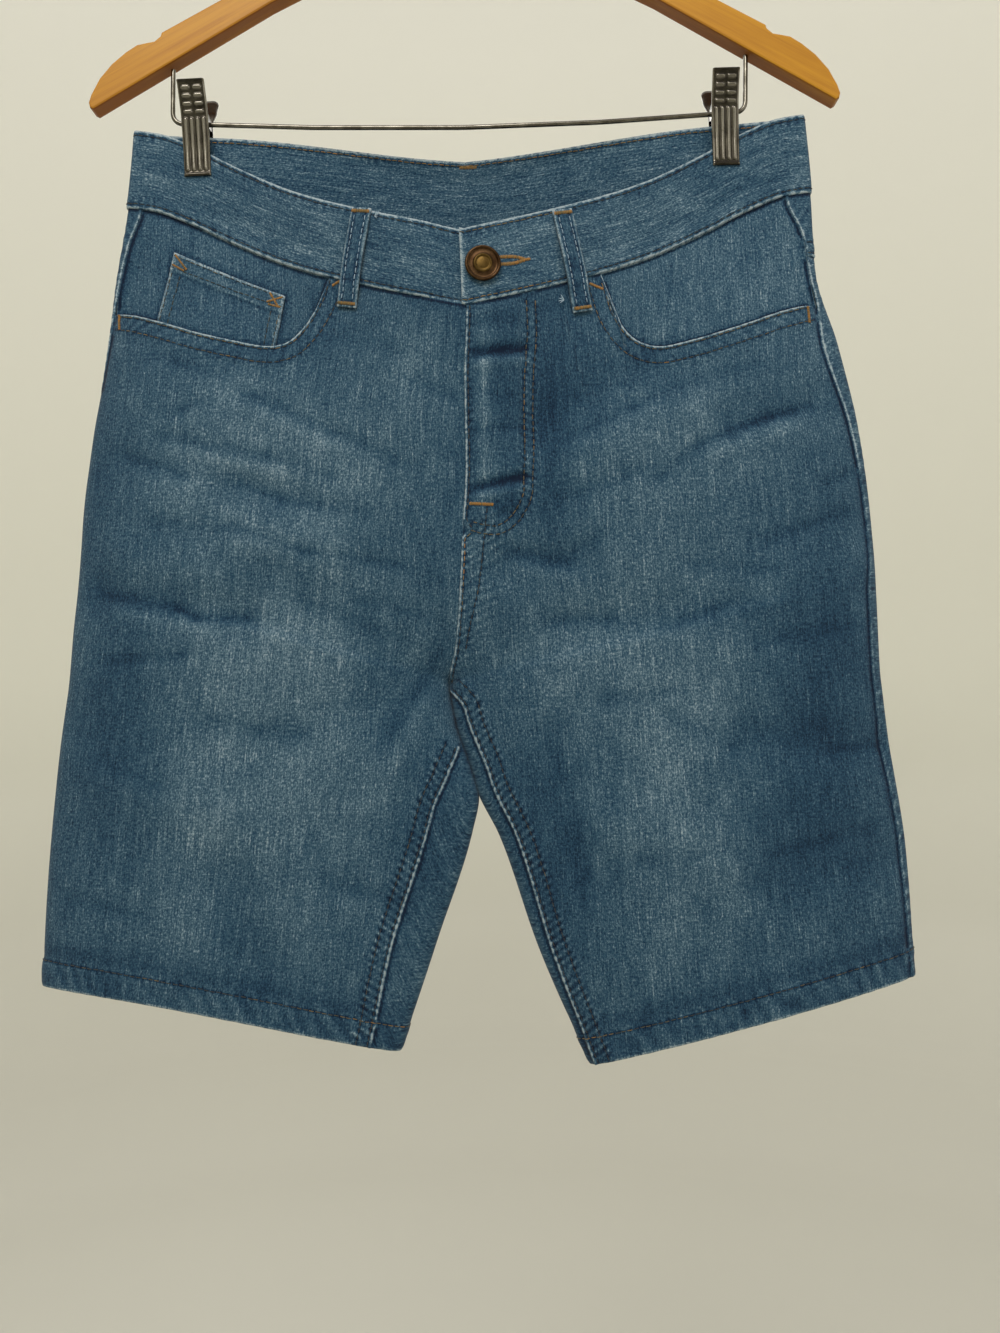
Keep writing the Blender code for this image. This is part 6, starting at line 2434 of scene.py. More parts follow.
WOOD_STOPS = (
    (0.10, shade(132, 76, 16)),
    (0.36, shade(166, 110, 16)),
    (0.55, shade(184, 129, 22)),
    (0.80, shade(193, 141, 32)),
)
STEEL_STOPS = ((0.55, shade(34, 31, 26)), (0.82, shade(90, 86, 77)), (1.0, shade(126, 122, 112)))
BRASS_STOPS = ((0.55, shade(34, 24, 10)), (0.80, shade(68, 52, 25)), (1.0, shade(100, 80, 44)))
COPPER_STOPS = ((0.55, shade(18, 11, 6)), (0.80, shade(48, 33, 20)), (1.0, shade(84, 64, 44)))
TAN_STOPS = (
    (0.00, shade(24, 32, 38)),
    (0.30, shade(54, 55, 44)),
    (0.60, shade(108, 92, 52)),
    (1.00, shade(158, 110, 46)),
)
PALE_THREAD_STOPS = ((0.0, shade(96, 124, 146)), (1.0, shade(168, 190, 204)))


@dataclass(frozen=True)
class Finishes:
    """Every material of the object, made once."""

    face: bpy.types.Material
    reverse: bpy.types.Material
    deep_face: bpy.types.Material
    band_face: bpy.types.Material
    loop_face: bpy.types.Material
    tan_thread: bpy.types.Material
    pale_thread: bpy.types.Material
    steel: bpy.types.Material
    stamped_steel: bpy.types.Material
    copper: bpy.types.Material
    brass: bpy.types.Material
    wood: bpy.types.Material

    @classmethod
    def make(cls) -> "Finishes":
        """Makes them."""
        twill, smudges = twill_group(), smudge_group()
        return cls(
            face=Denim("denim_face").make(twill),
            reverse=Denim("denim_reverse", reverse=1.0).make(twill),
            deep_face=Denim("denim_shaded_face", depth=-0.03).make(twill),
            band_face=Denim("denim_band_face", streak=1.45).make(twill),
            loop_face=Denim("denim_loop_face", depth=-0.13).make(twill),
            tan_thread=ThreadFinish("tan_thread", stops=TAN_STOPS).make(),
            pale_thread=ThreadFinish("pale_thread", stops=PALE_THREAD_STOPS).make(),
            steel=Metal("nickelled_steel", stops=STEEL_STOPS).make(smudges),
            stamped_steel=Metal(
                "stamped_steel", stops=STEEL_STOPS, base_roughness=0.04, stamped=True
            ).make(smudges),
            copper=Metal("antique_copper", stops=COPPER_STOPS, base_roughness=0.12).make(smudges),
            brass=Metal("worn_brass", stops=BRASS_STOPS, base_roughness=0.16).make(smudges),
            wood=Wood("honey_varnish", specular=0.3, stops=WOOD_STOPS).make(),
        )


# ------------------------------------------------------------------ sewing
STITCH_RADIUS = 0.00026
STITCH_SIDES = 6
# How high a thread's middle lies above the cloth.
STITCH_OUT = 0.00012
# One stitch from end to end: (place along its length, height, radius), as shares.
STITCH_SHAPE = (
    (-0.50, -0.9, 0.55), (-0.36, 0.15, 0.95), (0.0, 0.55, 1.0), (0.36, 0.15, 0.95), (0.50, -0.9, 0.55),
)
SATIN_PITCH = 0.00042
SATIN_SLANT = 0.16
HEM_POINTS = 260


# Corner tacks of the coin pocket: ends as (along its top, down its side).
COIN_TACKS = (
    ((0.0012, 0.0012), (0.0098, 0.0068)),
    ((0.0010, 0.0072), (0.0085, 0.0080)),
    ((0.0020, 0.0076), (0.0092, 0.0014)),
)
# How fresh threads look, from 0 to 1: the band's two rows outside, the lap's share on top
# of that, the band's row inside, tacks, the coin pocket's and the back pockets' rows.
BAND_FRESH = (0.12, 0.16)
LAP_FRESH = 0.45
INSIDE_FRESH = 0.72
TACK_FRESH = 0.85
COIN_FRESH = (0.18, 0.25)
POCKET_FRESH = (0.42, 0.40)
LOOP_FRESH = (0.50, 0.72)
BUTTONHOLE_FRESH = (0.80, 0.90)
# Where the fresh thread of the lap ends.
FRESH_END = 0.050
RISE_WORN_Z = -0.505
RISE_WORN_FALL = 0.055
HEM_FRESH = 0.22
BAND_INNER = BAND_FACE - BAND_SHELL_WALL
CENTRE_TACK_Z = (-0.2095, -0.2125)
CENTRE_TACK_HALF = 0.005
# How far the coin pocket's side rows lie in from its sides.
COIN_SIDE_ROWS = (0.0016, 0.0068)
# Frayed ends of pale thread beside two belt loops: (x, z), and which way they point.
FRAYS = {
    "belt_loop_front_left": (-0.0520, -0.2585, 1.0, 0.35),
    "belt_loop_front_right": (0.0560, -0.3085, -1.0, 0.25),
}
BUTTONHOLE = ((0.0185, -0.2878), (0.0330, -0.2864))
# Bartacks on the front: ends in XZ, on the left or right half.
FRONT_TACKS = (
    (Side.RIGHT, (0.0006, -0.4253), (0.0138, -0.4260), 0.0018),
    (Side.LEFT, (-0.2046, -0.3090), (-0.2044, -0.3172), 0.0016),
    (Side.LEFT, (-0.0776, -0.2960), (-0.0719, -0.2932), 0.0016),
    (Side.RIGHT, (0.0714, -0.2975), (0.0789, -0.3003), 0.0016),
    (Side.RIGHT, (0.1998, -0.3098), (0.2003, -0.3195), 0.0016),
)


def read_along(values: Array, lengths: Array, at: Array) -> Array:
    """Values that stand at lengths along a path, read at other lengths."""
    return np.stack([np.interp(at, lengths, values[:, k]) for k in range(3)], 1)


@dataclass
class Sewing:
    """Stitches in one thread, gathered into one object.

    Attributes:
        name: The object's name.
        thread: Its material.
        seed: What its unevenness is drawn from.
    """

    name: str
    thread: bpy.types.Material
    seed: int = 1
    blocks: list[Array] = field(default_factory=list)
    tones: list[Array] = field(default_factory=list)

    def __post_init__(self) -> None:
        """Starts its random numbers."""
        self.rng = np.random.default_rng(self.seed)

    def add(self, centre: Array, run: Array, up: Array, length: Array | float,
            radius: float, fresh: Array | float) -> None:
        """Adds stitches.

        Args:
            centre: Their middles.
            run: Which way they run.
            up: Which way is out of the cloth.
            length: Their lengths.
            radius: The thread's radius.
            fresh: How fresh the thread looks, from 0 to 1.
        """
        run = run / np.maximum(np.linalg.norm(run, axis=1, keepdims=True), 1e-9)
        side = np.cross(up, run)
        side /= np.maximum(np.linalg.norm(side, axis=1, keepdims=True), 1e-9)
        length = np.broadcast_to(length, (len(centre),))[:, None]
        turn = 2 * math.pi * np.arange(STITCH_SIDES) / STITCH_SIDES
        rings = []
        for along, lift, share in STITCH_SHAPE:
            middle = centre + run * length * along + up * radius * lift
            for angle in turn:
                spoke = side * math.cos(angle) + up * math.sin(angle)
                rings.append(middle + spoke * radius * share)
        self.blocks.append(np.stack(rings, 1))
        tone = np.clip(fresh + self.rng.normal(0, 0.12, len(centre)), 0, 1)
        self.tones.append(np.repeat(tone[:, None], len(rings), 1))

    def row(self, path: Array, up: Array, fresh: Array | float, pitch: float = STITCH_PITCH,
            radius: float = STITCH_RADIUS) -> None:
        """Sews a row along a path.

        Args:
            path: Its points.
            up: The cloth's normals there.
            fresh: How fresh the thread looks, as a whole or at each point.
            pitch: Length of a stitch with its gap.
            radius: The thread's radius.
        """
        lengths = arc_lengths(path, 0)
        count = max(1, int(lengths[-1] / pitch))
        at = (np.arange(count) + 0.5) * lengths[-1] / count
        at = at + self.rng.normal(0, 0.00012, count)
        centre, reach = read_along(path, lengths, at), pitch * 0.4
        run = read_along(path, lengths, at + reach) - read_along(path, lengths, at - reach)
        normal = read_along(up, lengths, at)
        centre = centre + np.cross(normal, run / np.linalg.norm(run, axis=1, keepdims=True)) * (
            self.rng.normal(0, 0.00010, (count, 1)))
        fresh = np.interp(at, lengths, np.broadcast_to(fresh, lengths.shape))
        self.add(centre, run, normal, pitch * self.rng.uniform(0.76, 0.86, count), radius, fresh)

    def satin(self, path: Array, up: Array, width: float, fresh: float,
              radius: float = STITCH_RADIUS) -> None:
        """Sews dense stitches across a path, as in a bartack.

        Args:
            path: Its points.
            up: The cloth's normals there.
            width: How wide the bar is.
            fresh: How fresh the thread looks.
            radius: The thread's radius.
        """
        lengths = arc_lengths(path, 0)
        count = max(3, int(lengths[-1] / SATIN_PITCH))
        at = np.linspace(0, lengths[-1], count)
        centre, normal = read_along(path, lengths, at), read_along(up, lengths, at)
        run = path[-1] - path[0]
        across = np.cross(normal, run / np.linalg.norm(run))
        slant = np.where(np.arange(count) % 2 == 0, SATIN_SLANT, -SATIN_SLANT)[:, None]
        across = across + slant * run / np.linalg.norm(run)
        centre = centre + normal * self.rng.uniform(0.0, 0.00015, (count, 1))
        self.add(centre, across, normal, width * self.rng.uniform(0.92, 1.1, count), radius, fresh)

    def build(self) -> bpy.types.Object:
        """Makes one object of all the stitches."""
        blocks, tones = np.concatenate(self.blocks), np.concatenate(self.tones)
        starts = np.arange(len(blocks)) * blocks.shape[1]
        quads = np.array(ring_quads(len(STITCH_SHAPE), STITCH_SIDES))[None] + starts[:, None, None]
        obj = new_mesh(self.name, blocks.reshape(-1, 3), quads.reshape(-1, 4))
        give_values(obj, "fresh", tones.ravel())
        obj.data.materials.append(self.thread)
        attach(obj, BODY)
        return obj


def skin_line(half: Half, place: Array, level: Array, out: Array | float) -> tuple[Array, Array]:
    """Points and normals of a line on the creased skin.

    Args:
        half: The half.
        place: Ring places.
        level: Levels.
        out: Height above the skin.

    Returns:
        The points and the normals.
    """
    place, level = np.broadcast_arrays(np.asarray(place, float), np.asarray(level, float))
    return half.point(place, level, out), half.normal(place, level)


def flat_line(half: Half, path: Array, out: float, front: bool = True) -> tuple[Array, Array]:
    """Points and normals of the skin under a path given in XZ."""
    place, level = half.locate(path[:, 0], path[:, 1], front)
    return skin_line(half, place, level, out)


def sew_seam(sewing: Sewing, seam: Seam, half: Half) -> None:
    """Sews a seam's rows.

    Args:
        sewing: What to sew with.
        seam: The seam.
        half: The half that it lies on.
    """
    for row in seam.style.rows:
        path = shifted(seam.line(), row * seam.strip)
        at, up = flat_line(half, path, STITCH_OUT, seam.front)
        fresh = np.full(len(at), seam.thread.value)
        if seam.name == "rise":
            fresh = fresh * smooth((at[:, 2] - RISE_WORN_Z) / RISE_WORN_FALL)
        sewing.row(at, up, fresh)


def coin_line(path: Array, extra: float) -> tuple[Array, Array]:
    """Points and normals of a path on the coin pocket, given in XZ.

    Args:
        path: Its points.
        extra: How much higher they lie than stitches do.

    Returns:
        World points, and unit normals.
    """
    place, level = LEFT.locate(path[:, 0], path[:, 1])
    out = facing_height(LEFT, place, level) + PATCH_SEWN + extra
    return skin_line(LEFT, place, level, out)


def tack(sewing: Sewing, half: Half, start: Point2, end: Point2, out: float, fresh: float = 0.8,
         width: float = 0.0017, front: bool = True) -> None:
    """Sews a bartack between two points given in XZ.

    Args:
        sewing: What to sew with.
        half: The half that it lies on.
        start: One end.
        end: The other.
        out: Height of the cloth that it is sewn to above the skin.
        fresh: How fresh the thread looks.
        width: How wide it is.
        front: Whether it is on the front.
    """
    at, up = flat_line(half, rounded((start, end), 0.0006), out, front)
    sewing.satin(at, up, width, fresh)


@dataclass
class Stitcher:
    """Sews every piece of the garment."""

    looks: Finishes

    def panel(self, half: Half, front: bool) -> list[bpy.types.Object]:
        """Sews a front or back panel: its seams and its hem.

        Args:
            half: The half.
            front: Whether it is the front panel.

        Returns:
            The objects made.
        """
        face = "front" if front else "back"
        sewing = Sewing(f"stitches_{face}_{half.word}", self.looks.tan_thread, 5 + 2 * front + half.sign)
        for seam in RELIEF.seams.get((half.side, front), ()):
            if seam.name != "yoke":
                sew_seam(sewing, seam, half)
        level = np.full(HEM_POINTS, 1 - HEM_ROW / HEM_FALL)
        place = mix(half.outseam(level), half.inner_end(level, front), np.linspace(0, 1, HEM_POINTS))
        at, up = skin_line(half, np.maximum(place, -2), level, STITCH_OUT)
        sewing.row(at, up, HEM_FRESH + 0.35 * smooth(np.linspace(-2.2, 1, HEM_POINTS)))
        for side, start, finish, width in FRONT_TACKS if front else ():
            if side is half.side:
                tack(sewing, half, start, finish, 0.0002, TACK_FRESH, width)
        return [sewing.build()]

    def yoke(self, half: Half) -> list[bpy.types.Object]:
        """Sews a yoke's lower seam.

        Args:
            half: The half that the yoke is on.

        Returns:
            The sewn objects.
        """
        sewing = Sewing(f"stitches_yoke_{half.word}", self.looks.tan_thread, 31 + half.sign)
        for seam in RELIEF.seams.get((half.side, False), ()):
            if seam.name == "yoke":
                sew_seam(sewing, seam, half)
        return [sewing.build()]

    def waistband(self, piece: Waistband) -> list[bpy.types.Object]:
        """Sews the waistband's two rows, its inner row, its centre tack and its buttonhole.

        Args:
            piece: The waistband.

        Returns:
            The sewn objects.
        """
        sewing = Sewing("stitches_waistband", self.looks.tan_thread, 41)
        top_row = BAND_TOP + BAND_ROW / HEM_FALL
        for level, fresh in zip((top_row, -BAND_ROW / HEM_FALL), BAND_FRESH):
            at, up = self.band_line(piece, level, BAND_FACE + STITCH_OUT)
            tan = (at[:, 0] > OVERLAP_TIP - 0.001) & (at[:, 0] < FRESH_END) & (at[:, 1] < 0)
            tan[: len(tan) // 2] = False
            sewing.row(at, up, np.where(tan, fresh + LAP_FRESH, fresh))
        at, up = self.band_line(piece, top_row, BAND_INNER - STITCH_OUT)
        behind = np.array([place < -0.02 for _, place, _ in piece.stops()])
        sewing.row(at[behind], -up[behind], INSIDE_FRESH)
        place, mid = RIGHT.locate(np.full(2, 0.001), np.array(CENTRE_TACK_Z), False)
        at, up = skin_line(RIGHT, place, mid, BAND_INNER - 0.0001)
        ends = at.mean(0) + np.array([[-1.0, 0.0, 0.0], [1.0, 0.0, 0.0]]) * CENTRE_TACK_HALF
        sewing.satin(ends, -np.repeat(up.mean(0)[None], 2, 0), 0.0024, 0.75)
        self.buttonhole(sewing)
        return [sewing.build()]

    @staticmethod
    def band_line(piece: Waistband, level: float, out: float) -> tuple[Array, Array]:
        """Points and normals of the waistband's line at a level, from its underlap's end.

        Args:
            piece: The waistband.
            level: The level.
            out: Height above the skin.

        Returns:
            World points, and unit normals.
        """
        found = [skin_line(half, np.array([place]), np.array([level]), out - drop)
                 for half, place, drop in piece.stops()]
        return np.concatenate([at for at, _ in found]), np.concatenate([up for _, up in found])

    @staticmethod
    def buttonhole(sewing: Sewing) -> None:
        """Sews the buttonhole: two lips that meet in a point, and a bar at its end.

        Args:
            sewing: What to add it to.
        """
        (x0, z0), (x1, z1) = BUTTONHOLE
        for way in (-1, 1):
            turn = (mix(x0, x1, 0.6), mix(z0, z1, 0.6) + way * 0.0019)
            path = rounded(((x0, z0 + way * 0.0021), turn, (x1, z1 + way * 0.0004)), 0.0006)
            at, up = flat_line(RIGHT, path, BAND_FACE + 0.00015)
            sewing.satin(at, up, 0.0021, BUTTONHOLE_FRESH[0])
        ends = (x1 - 0.001, z1 - 0.0004), (x1 + 0.0035, z1 + 0.0006)
        tack(sewing, RIGHT, *ends, BAND_FACE + 0.0002, BUTTONHOLE_FRESH[1], 0.0016)

    def belt_loop(self, piece: BeltLoop) -> list[bpy.types.Object]:
        """Sews a belt loop's two rows and the tacks at its ends.

        Args:
            piece: The belt loop.

        Returns:
            The sewn objects.
        """
        pale = Sewing(f"stitches_{piece.node}", self.looks.pale_thread, len(piece.node))
        tan = Sewing(f"tacks_{piece.node}", self.looks.tan_thread, 2 + len(piece.node))
        for side in (-1, 1):
            across = np.full(60, side * (LOOP_WIDTH / 2 - LOOP_ROW))
            pale.row(*piece.face(across, np.linspace(0.07, 0.93, 60)), LOOP_FRESH[0])
        for end in (0.035, 0.965):
            bar = piece.face(np.linspace(-0.0050, 0.0050, 8), np.full(8, end))
            tan.satin(*bar, 0.0020, LOOP_FRESH[1])
        if piece.node in FRAYS:
            self.fray(pale, *FRAYS[piece.node])
        return [pale.build(), tan.build()]

    @staticmethod
    def fray(sewing: Sewing, x: float, z: float, way: float, rise: float) -> None:
        """Adds a tuft of worn thread ends.

        Args:
            sewing: What to add it to.
            x: World x of its root.
            z: World z of its root.
            way: -1 where it points to -x, 1 to +x.
            rise: How steeply it points up.
        """
        half = LEFT if x < 0 else RIGHT
        for slope in np.linspace(rise - 1.1, rise + 0.9, 5):
            length = float(sewing.rng.uniform(0.0022, 0.0042))
            reach = length / math.hypot(1.0, slope)
            path = rounded(((x, z), (x + way * reach, z + slope * reach)), 0.0008)
            at, up = flat_line(half, path, 0.0)
            lift = np.linspace(BAND_PROUD + 0.0006, BAND_PROUD + 0.0016, len(at))
            at = at + up * lift[:, None]
            sewing.add(at[:1] + (at[-1:] - at[:1]) / 2, at[-1:] - at[:1], up[:1], length, 0.0002, 0.9)

    def coin_pocket(self) -> list[bpy.types.Object]:
        """Sews the coin pocket's hem, sides and corner tacks."""
        sewing = Sewing("stitches_coin_pocket", self.looks.tan_thread, 61)
        top_a, top_b, end_a, end_b = (np.array(corner) for corner in COIN_CORNERS)
        depth = float(np.linalg.norm(end_a - top_a))
        for row in COIN_ROWS:
            share = row / depth
            path = rounded((tuple(mix(top_a, end_a, share)), tuple(mix(top_b, end_b, share))), 0.002)
            at, up = coin_line(path, 0.0005)
            sewing.row(at, up, COIN_FRESH[0])
        run = (top_b - top_a) / np.linalg.norm(top_b - top_a)
        for inset in COIN_SIDE_ROWS:
            for corner, end, way in ((top_a, end_a, 1), (top_b, end_b, -1)):
                path = rounded((tuple(corner + run * inset * way), tuple(end + run * inset * way)), 0.002)
                at, up = coin_line(path, 0.0002)
                sewing.row(at, up, COIN_FRESH[1])
        down = (end_a - top_a) / np.linalg.norm(end_a - top_a)
        for corner, way, bars in ((top_a, 1, COIN_TACKS[:2]), (top_b, -1, COIN_TACKS)):
            for (u0, v0), (u1, v1) in bars:
                ends = [corner + run * u * way + down * v for u, v in ((u0, v0), (u1, v1))]
                at, up = coin_line(rounded(ends, 0.0006), 0.0007)
                sewing.satin(at, up, 0.0012, TACK_FRESH)
        return [sewing.build()]

    def back_pocket(self, piece: BackPocket) -> list[bpy.types.Object]:
        """Sews a back pocket's double row, its hem row and its corner tacks.

        Args:
            piece: The back pocket.

        Returns:
            The sewn objects.
        """
        half = piece.half
        sewing = Sewing(f"stitches_{piece.node}", self.looks.tan_thread, 71 + half.sign)
        for row in POCKET_ROWS:
            corners = []
            for u, v in ((-1, 0.0), (-1, 1), (0, 1), (1, 1), (1, 0.0)):
                x, z = piece.spot(np.array(float(u)), np.array(float(v)))
                inset = u * row
                corners.append((float(x - inset), float(z + (row * 1.05 if v == 1 else 0.0))))
            for a, b in zip(corners, corners[1:]):
                at, up = flat_line(half, rounded((a, b), 0.003), PATCH_SEWN, False)
                sewing.row(at, up, POCKET_FRESH[0])
        left, right = (piece.spot(np.array(u), np.array(0.0)) for u in (-0.97, 0.97))
        path = rounded(((float(left[0]), float(left[1]) - POCKET_TOP_ROW),
                        (float(right[0]), float(right[1]) - POCKET_TOP_ROW)), 0.003)
        at, up = flat_line(half, path, PATCH_SEWN + 0.0004, False)
        sewing.row(at, up, POCKET_FRESH[1])
        for u in (-0.955, 0.955):
            x, z = (float(v) for v in piece.spot(np.array(u), np.array(0.0)))
            ends = (x, z - 0.001), (x, z - 0.011)
            tack(sewing, half, *ends, PATCH_SEWN + 0.0004, 0.8, 0.0018, False)
        return [sewing.build()]


# ------------------------------------------------------------------ hanger, clips and button
HOOK_WIRE = 0.0018
CROOK_RADIUS = 0.019
CROOK_ANGLES = (-58, 202)
NECK_Z = -0.0470
NECK_PULLS = (0.0045, 0.0060)
ARM_CREST_Z = -0.0500
BAR_WIRE = 0.0014
BAR_BEND = 0.007
# The bar, from the top of its left leg to that of its right one, as (x, z).
BAR_ROUTE = (
    (-0.1738, -0.1596), (-0.1746, -0.1916), (-0.0900, -0.1950), (0.0000, -0.1961),
    (0.0800, -0.1940), (0.1674, -0.1890), (0.1680, -0.1563),
)
CLIP_WIDTH = 0.016
JAW_WALL = 0.001
EAR_HEIGHT = 0.0042
EAR_REACH = 0.0030
EAR_ROOT = 0.0003
# How far a jaw's sides roll in and how wide the roll is, and how far its two lips stand out.
ROLL_DEPTH, ROLL_WIDTH = 0.0009, 0.0011
LIP = 0.0006
# Radii of an embossed rib or bar, half a bar's length, and how far the ribs reach down.
BOSS_RADIUS = 0.0013
BOSS_BAR_HALF = 0.0016
BOSS_RIB_END = -0.0292
# A jaw's inner face from the pivot, as (distance from the middle, height).
JAW_LINE = ((0.0110, 0.0207), (0.0054, 0.0020), (0.0047, -0.0080), (0.0043, -0.0185), (0.0043, -0.0330))
# How proud plain metal stands between hollows (0) and embossing (1).
PLAIN_PROUD = 0.45
BUTTON_AT = (0.0097, -0.2901)
BUTTON_RADIUS = 0.0103
BUTTON_SIDES = 72
BUTTON_MIDDLE = 0.52


@dataclass
class Parts:
    """Points and faces gathered into one mesh."""

    points: list[Array] = field(default_factory=list)
    faces: list[tuple[int, ...]] = field(default_factory=list)
    proud: list[Array] = field(default_factory=list)
    count: int = 0

    def add(self, points: Array, faces: Iterable[Sequence[int]], proud: Array | float = PLAIN_PROUD) -> None:
        """Takes in points with faces that number them from 0, and how proud each stands.

        Args:
            points: The points.
            faces: The faces.
            proud: How proud the points stand.
        """
        self.points.append(np.asarray(points, float).reshape(-1, 3))
        self.faces += [tuple(int(i) + self.count for i in face) for face in faces]
        self.proud.append(np.broadcast_to(proud, (len(self.points[-1]),)))
        self.count += len(self.points[-1])

    def tube(self, path: Array, radius: float | Array, sides: int = 16) -> None:
        """Adds a round tube with closed ends along a path.

        Args:
            path: Points along its middle.
            radius: Its radius, or one at each point.
            sides: How many sides it has.
        """
        path = np.asarray(path, float)
        run = np.gradient(path, axis=0)
        run /= np.linalg.norm(run, axis=1, keepdims=True)
        side = np.cross(run[0], (0.0, 1.0, 0.0))
        side = side if np.linalg.norm(side) > 0.1 else np.cross(run[0], (1.0, 0.0, 0.0))
        rings, radii = [], np.broadcast_to(radius, (len(path),))
        turn = 2 * math.pi * np.arange(sides) / sides
        for at, way, r in zip(path, run, radii):
            side = side - way * side.dot(way)
            side /= np.linalg.norm(side)
            up = np.cross(way, side)
            rings.append(at + r * (np.cos(turn)[:, None] * side + np.sin(turn)[:, None] * up))
        last = (len(path) - 1) * sides
        caps = [tuple(range(sides))[::-1], tuple(range(last, last + sides))]
        self.add(np.concatenate(rings), ring_quads(len(path), sides) + caps)

    def wall(self, outer: Array, inner: Array, proud: Array) -> None:
        """Adds a closed wall between two grids of points, with how proud its outer ones stand.

        Args:
            outer: The outer grid.
            inner: The inner grid.
            proud: How proud the outer one stands.
        """
        quads = wall_quads(*outer.shape[:2])
        stands = np.concatenate([proud.ravel(), np.full(proud.size, PLAIN_PROUD)])
        self.add(np.concatenate([outer.reshape(-1, 3), inner.reshape(-1, 3)]), quads.tolist(), stands)

    def prism(self, outline: Array, depth: Array) -> None:
        """Adds a flat outline pushed along a vector, with its two ends closed.

        Args:
            outline: The outline's points, in order.
            depth: The vector.
        """
        n = len(outline)
        faces: list[tuple[int, ...]] = [tuple(range(n)), tuple(range(2 * n - 1, n - 1, -1))]
        faces += [(k, k + n, (k + 1) % n + n, (k + 1) % n) for k in range(n)]
        self.add(np.concatenate([outline, outline + depth]), faces)

    def build(self, name: str, mat: bpy.types.Material, angle: float = 40.0) -> bpy.types.Object:
        """Makes the object, which rides on the body.

        Args:
            name: Its name.
            mat: Its material.
            angle: Edges bent more than this, in degrees, stay sharp.

        Returns:
            The object.
        """
        mesh = bpy.data.meshes.new(name)
        mesh.from_pydata(np.concatenate(self.points).tolist(), [], self.faces)
        work = bmesh.new()
        work.from_mesh(mesh)
        bmesh.ops.recalc_face_normals(work, faces=work.faces)
        work.to_mesh(mesh)
        work.free()
        mesh.shade_smooth()
        mesh.set_sharp_from_angle(angle=math.radians(angle))
        mesh.materials.append(mat)
        obj = link(bpy.data.objects.new(name, mesh))
        give_values(obj, "proud", np.concatenate(self.proud))
        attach(obj, BODY)
        return obj


def upright(route: Sequence[Array]) -> Array:
    """Points given as (x, z), set on the plane y = 0."""
    flat = np.array(route)
    return np.stack([flat[:, 0], np.zeros(len(flat)), flat[:, 1]], 1)


def bar_at(x: float) -> tuple[float, float]:
    """Height and slope (in radians) of the bar at x.

    Args:
        x: World x.

    Returns:
        The height and the slope.
    """
    for (x0, z0), (x1, z1) in zip(BAR_ROUTE[1:], BAR_ROUTE[2:]):
        if x0 <= x <= x1:
            slope = (z1 - z0) / (x1 - x0)
            return z0 + slope * (x - x0), math.atan(slope)
    raise ValueError("the bar doesn't reach there")


class ClipFrame:
    """Takes (across, depth, height) about a clip's pivot to the world."""

    def __init__(self, x: float, tilt: float) -> None:
        """Stands it at x on the bar.

        Args:
            x: Where the clip is.
            tilt: How far it leans, in radians.
        """
        self.x, self.z = x, bar_at(x)[0]
        self.c, self.s = math.cos(tilt), math.sin(tilt)

    def __call__(self, x: Array, y: Array, z: Array) -> Array:
        """World points of local ones."""
        x, y, z = np.broadcast_arrays(x, y, z)
        return np.stack([self.x + x * self.c + z * self.s, y, self.z - x * self.s + z * self.c], -1)


def pill(x: Array, z: Array, ends: tuple[float, float, float, float], radius: float) -> Array:
    """A rounded bar's height, from 0 to 1, with ends at (x1, z1, x2, z2).

    Args:
        x: Places across.
        z: Places up.
        ends: Its two ends.
        radius: Its half width.

    Returns:
        Heights.
    """
    x1, z1, x2, z2 = ends
    run2 = max((x2 - x1) ** 2 + (z2 - z1) ** 2, 1e-12)
    t = np.clip(((x - x1) * (x2 - x1) + (z - z1) * (z2 - z1)) / run2, 0, 1)
    away = np.hypot(x - x1 - t * (x2 - x1), z - z1 - t * (z2 - z1)) / radius
    return np.sqrt(np.clip(1 - away**2, 0, 1)) * smooth((1.05 - away) / 0.5)


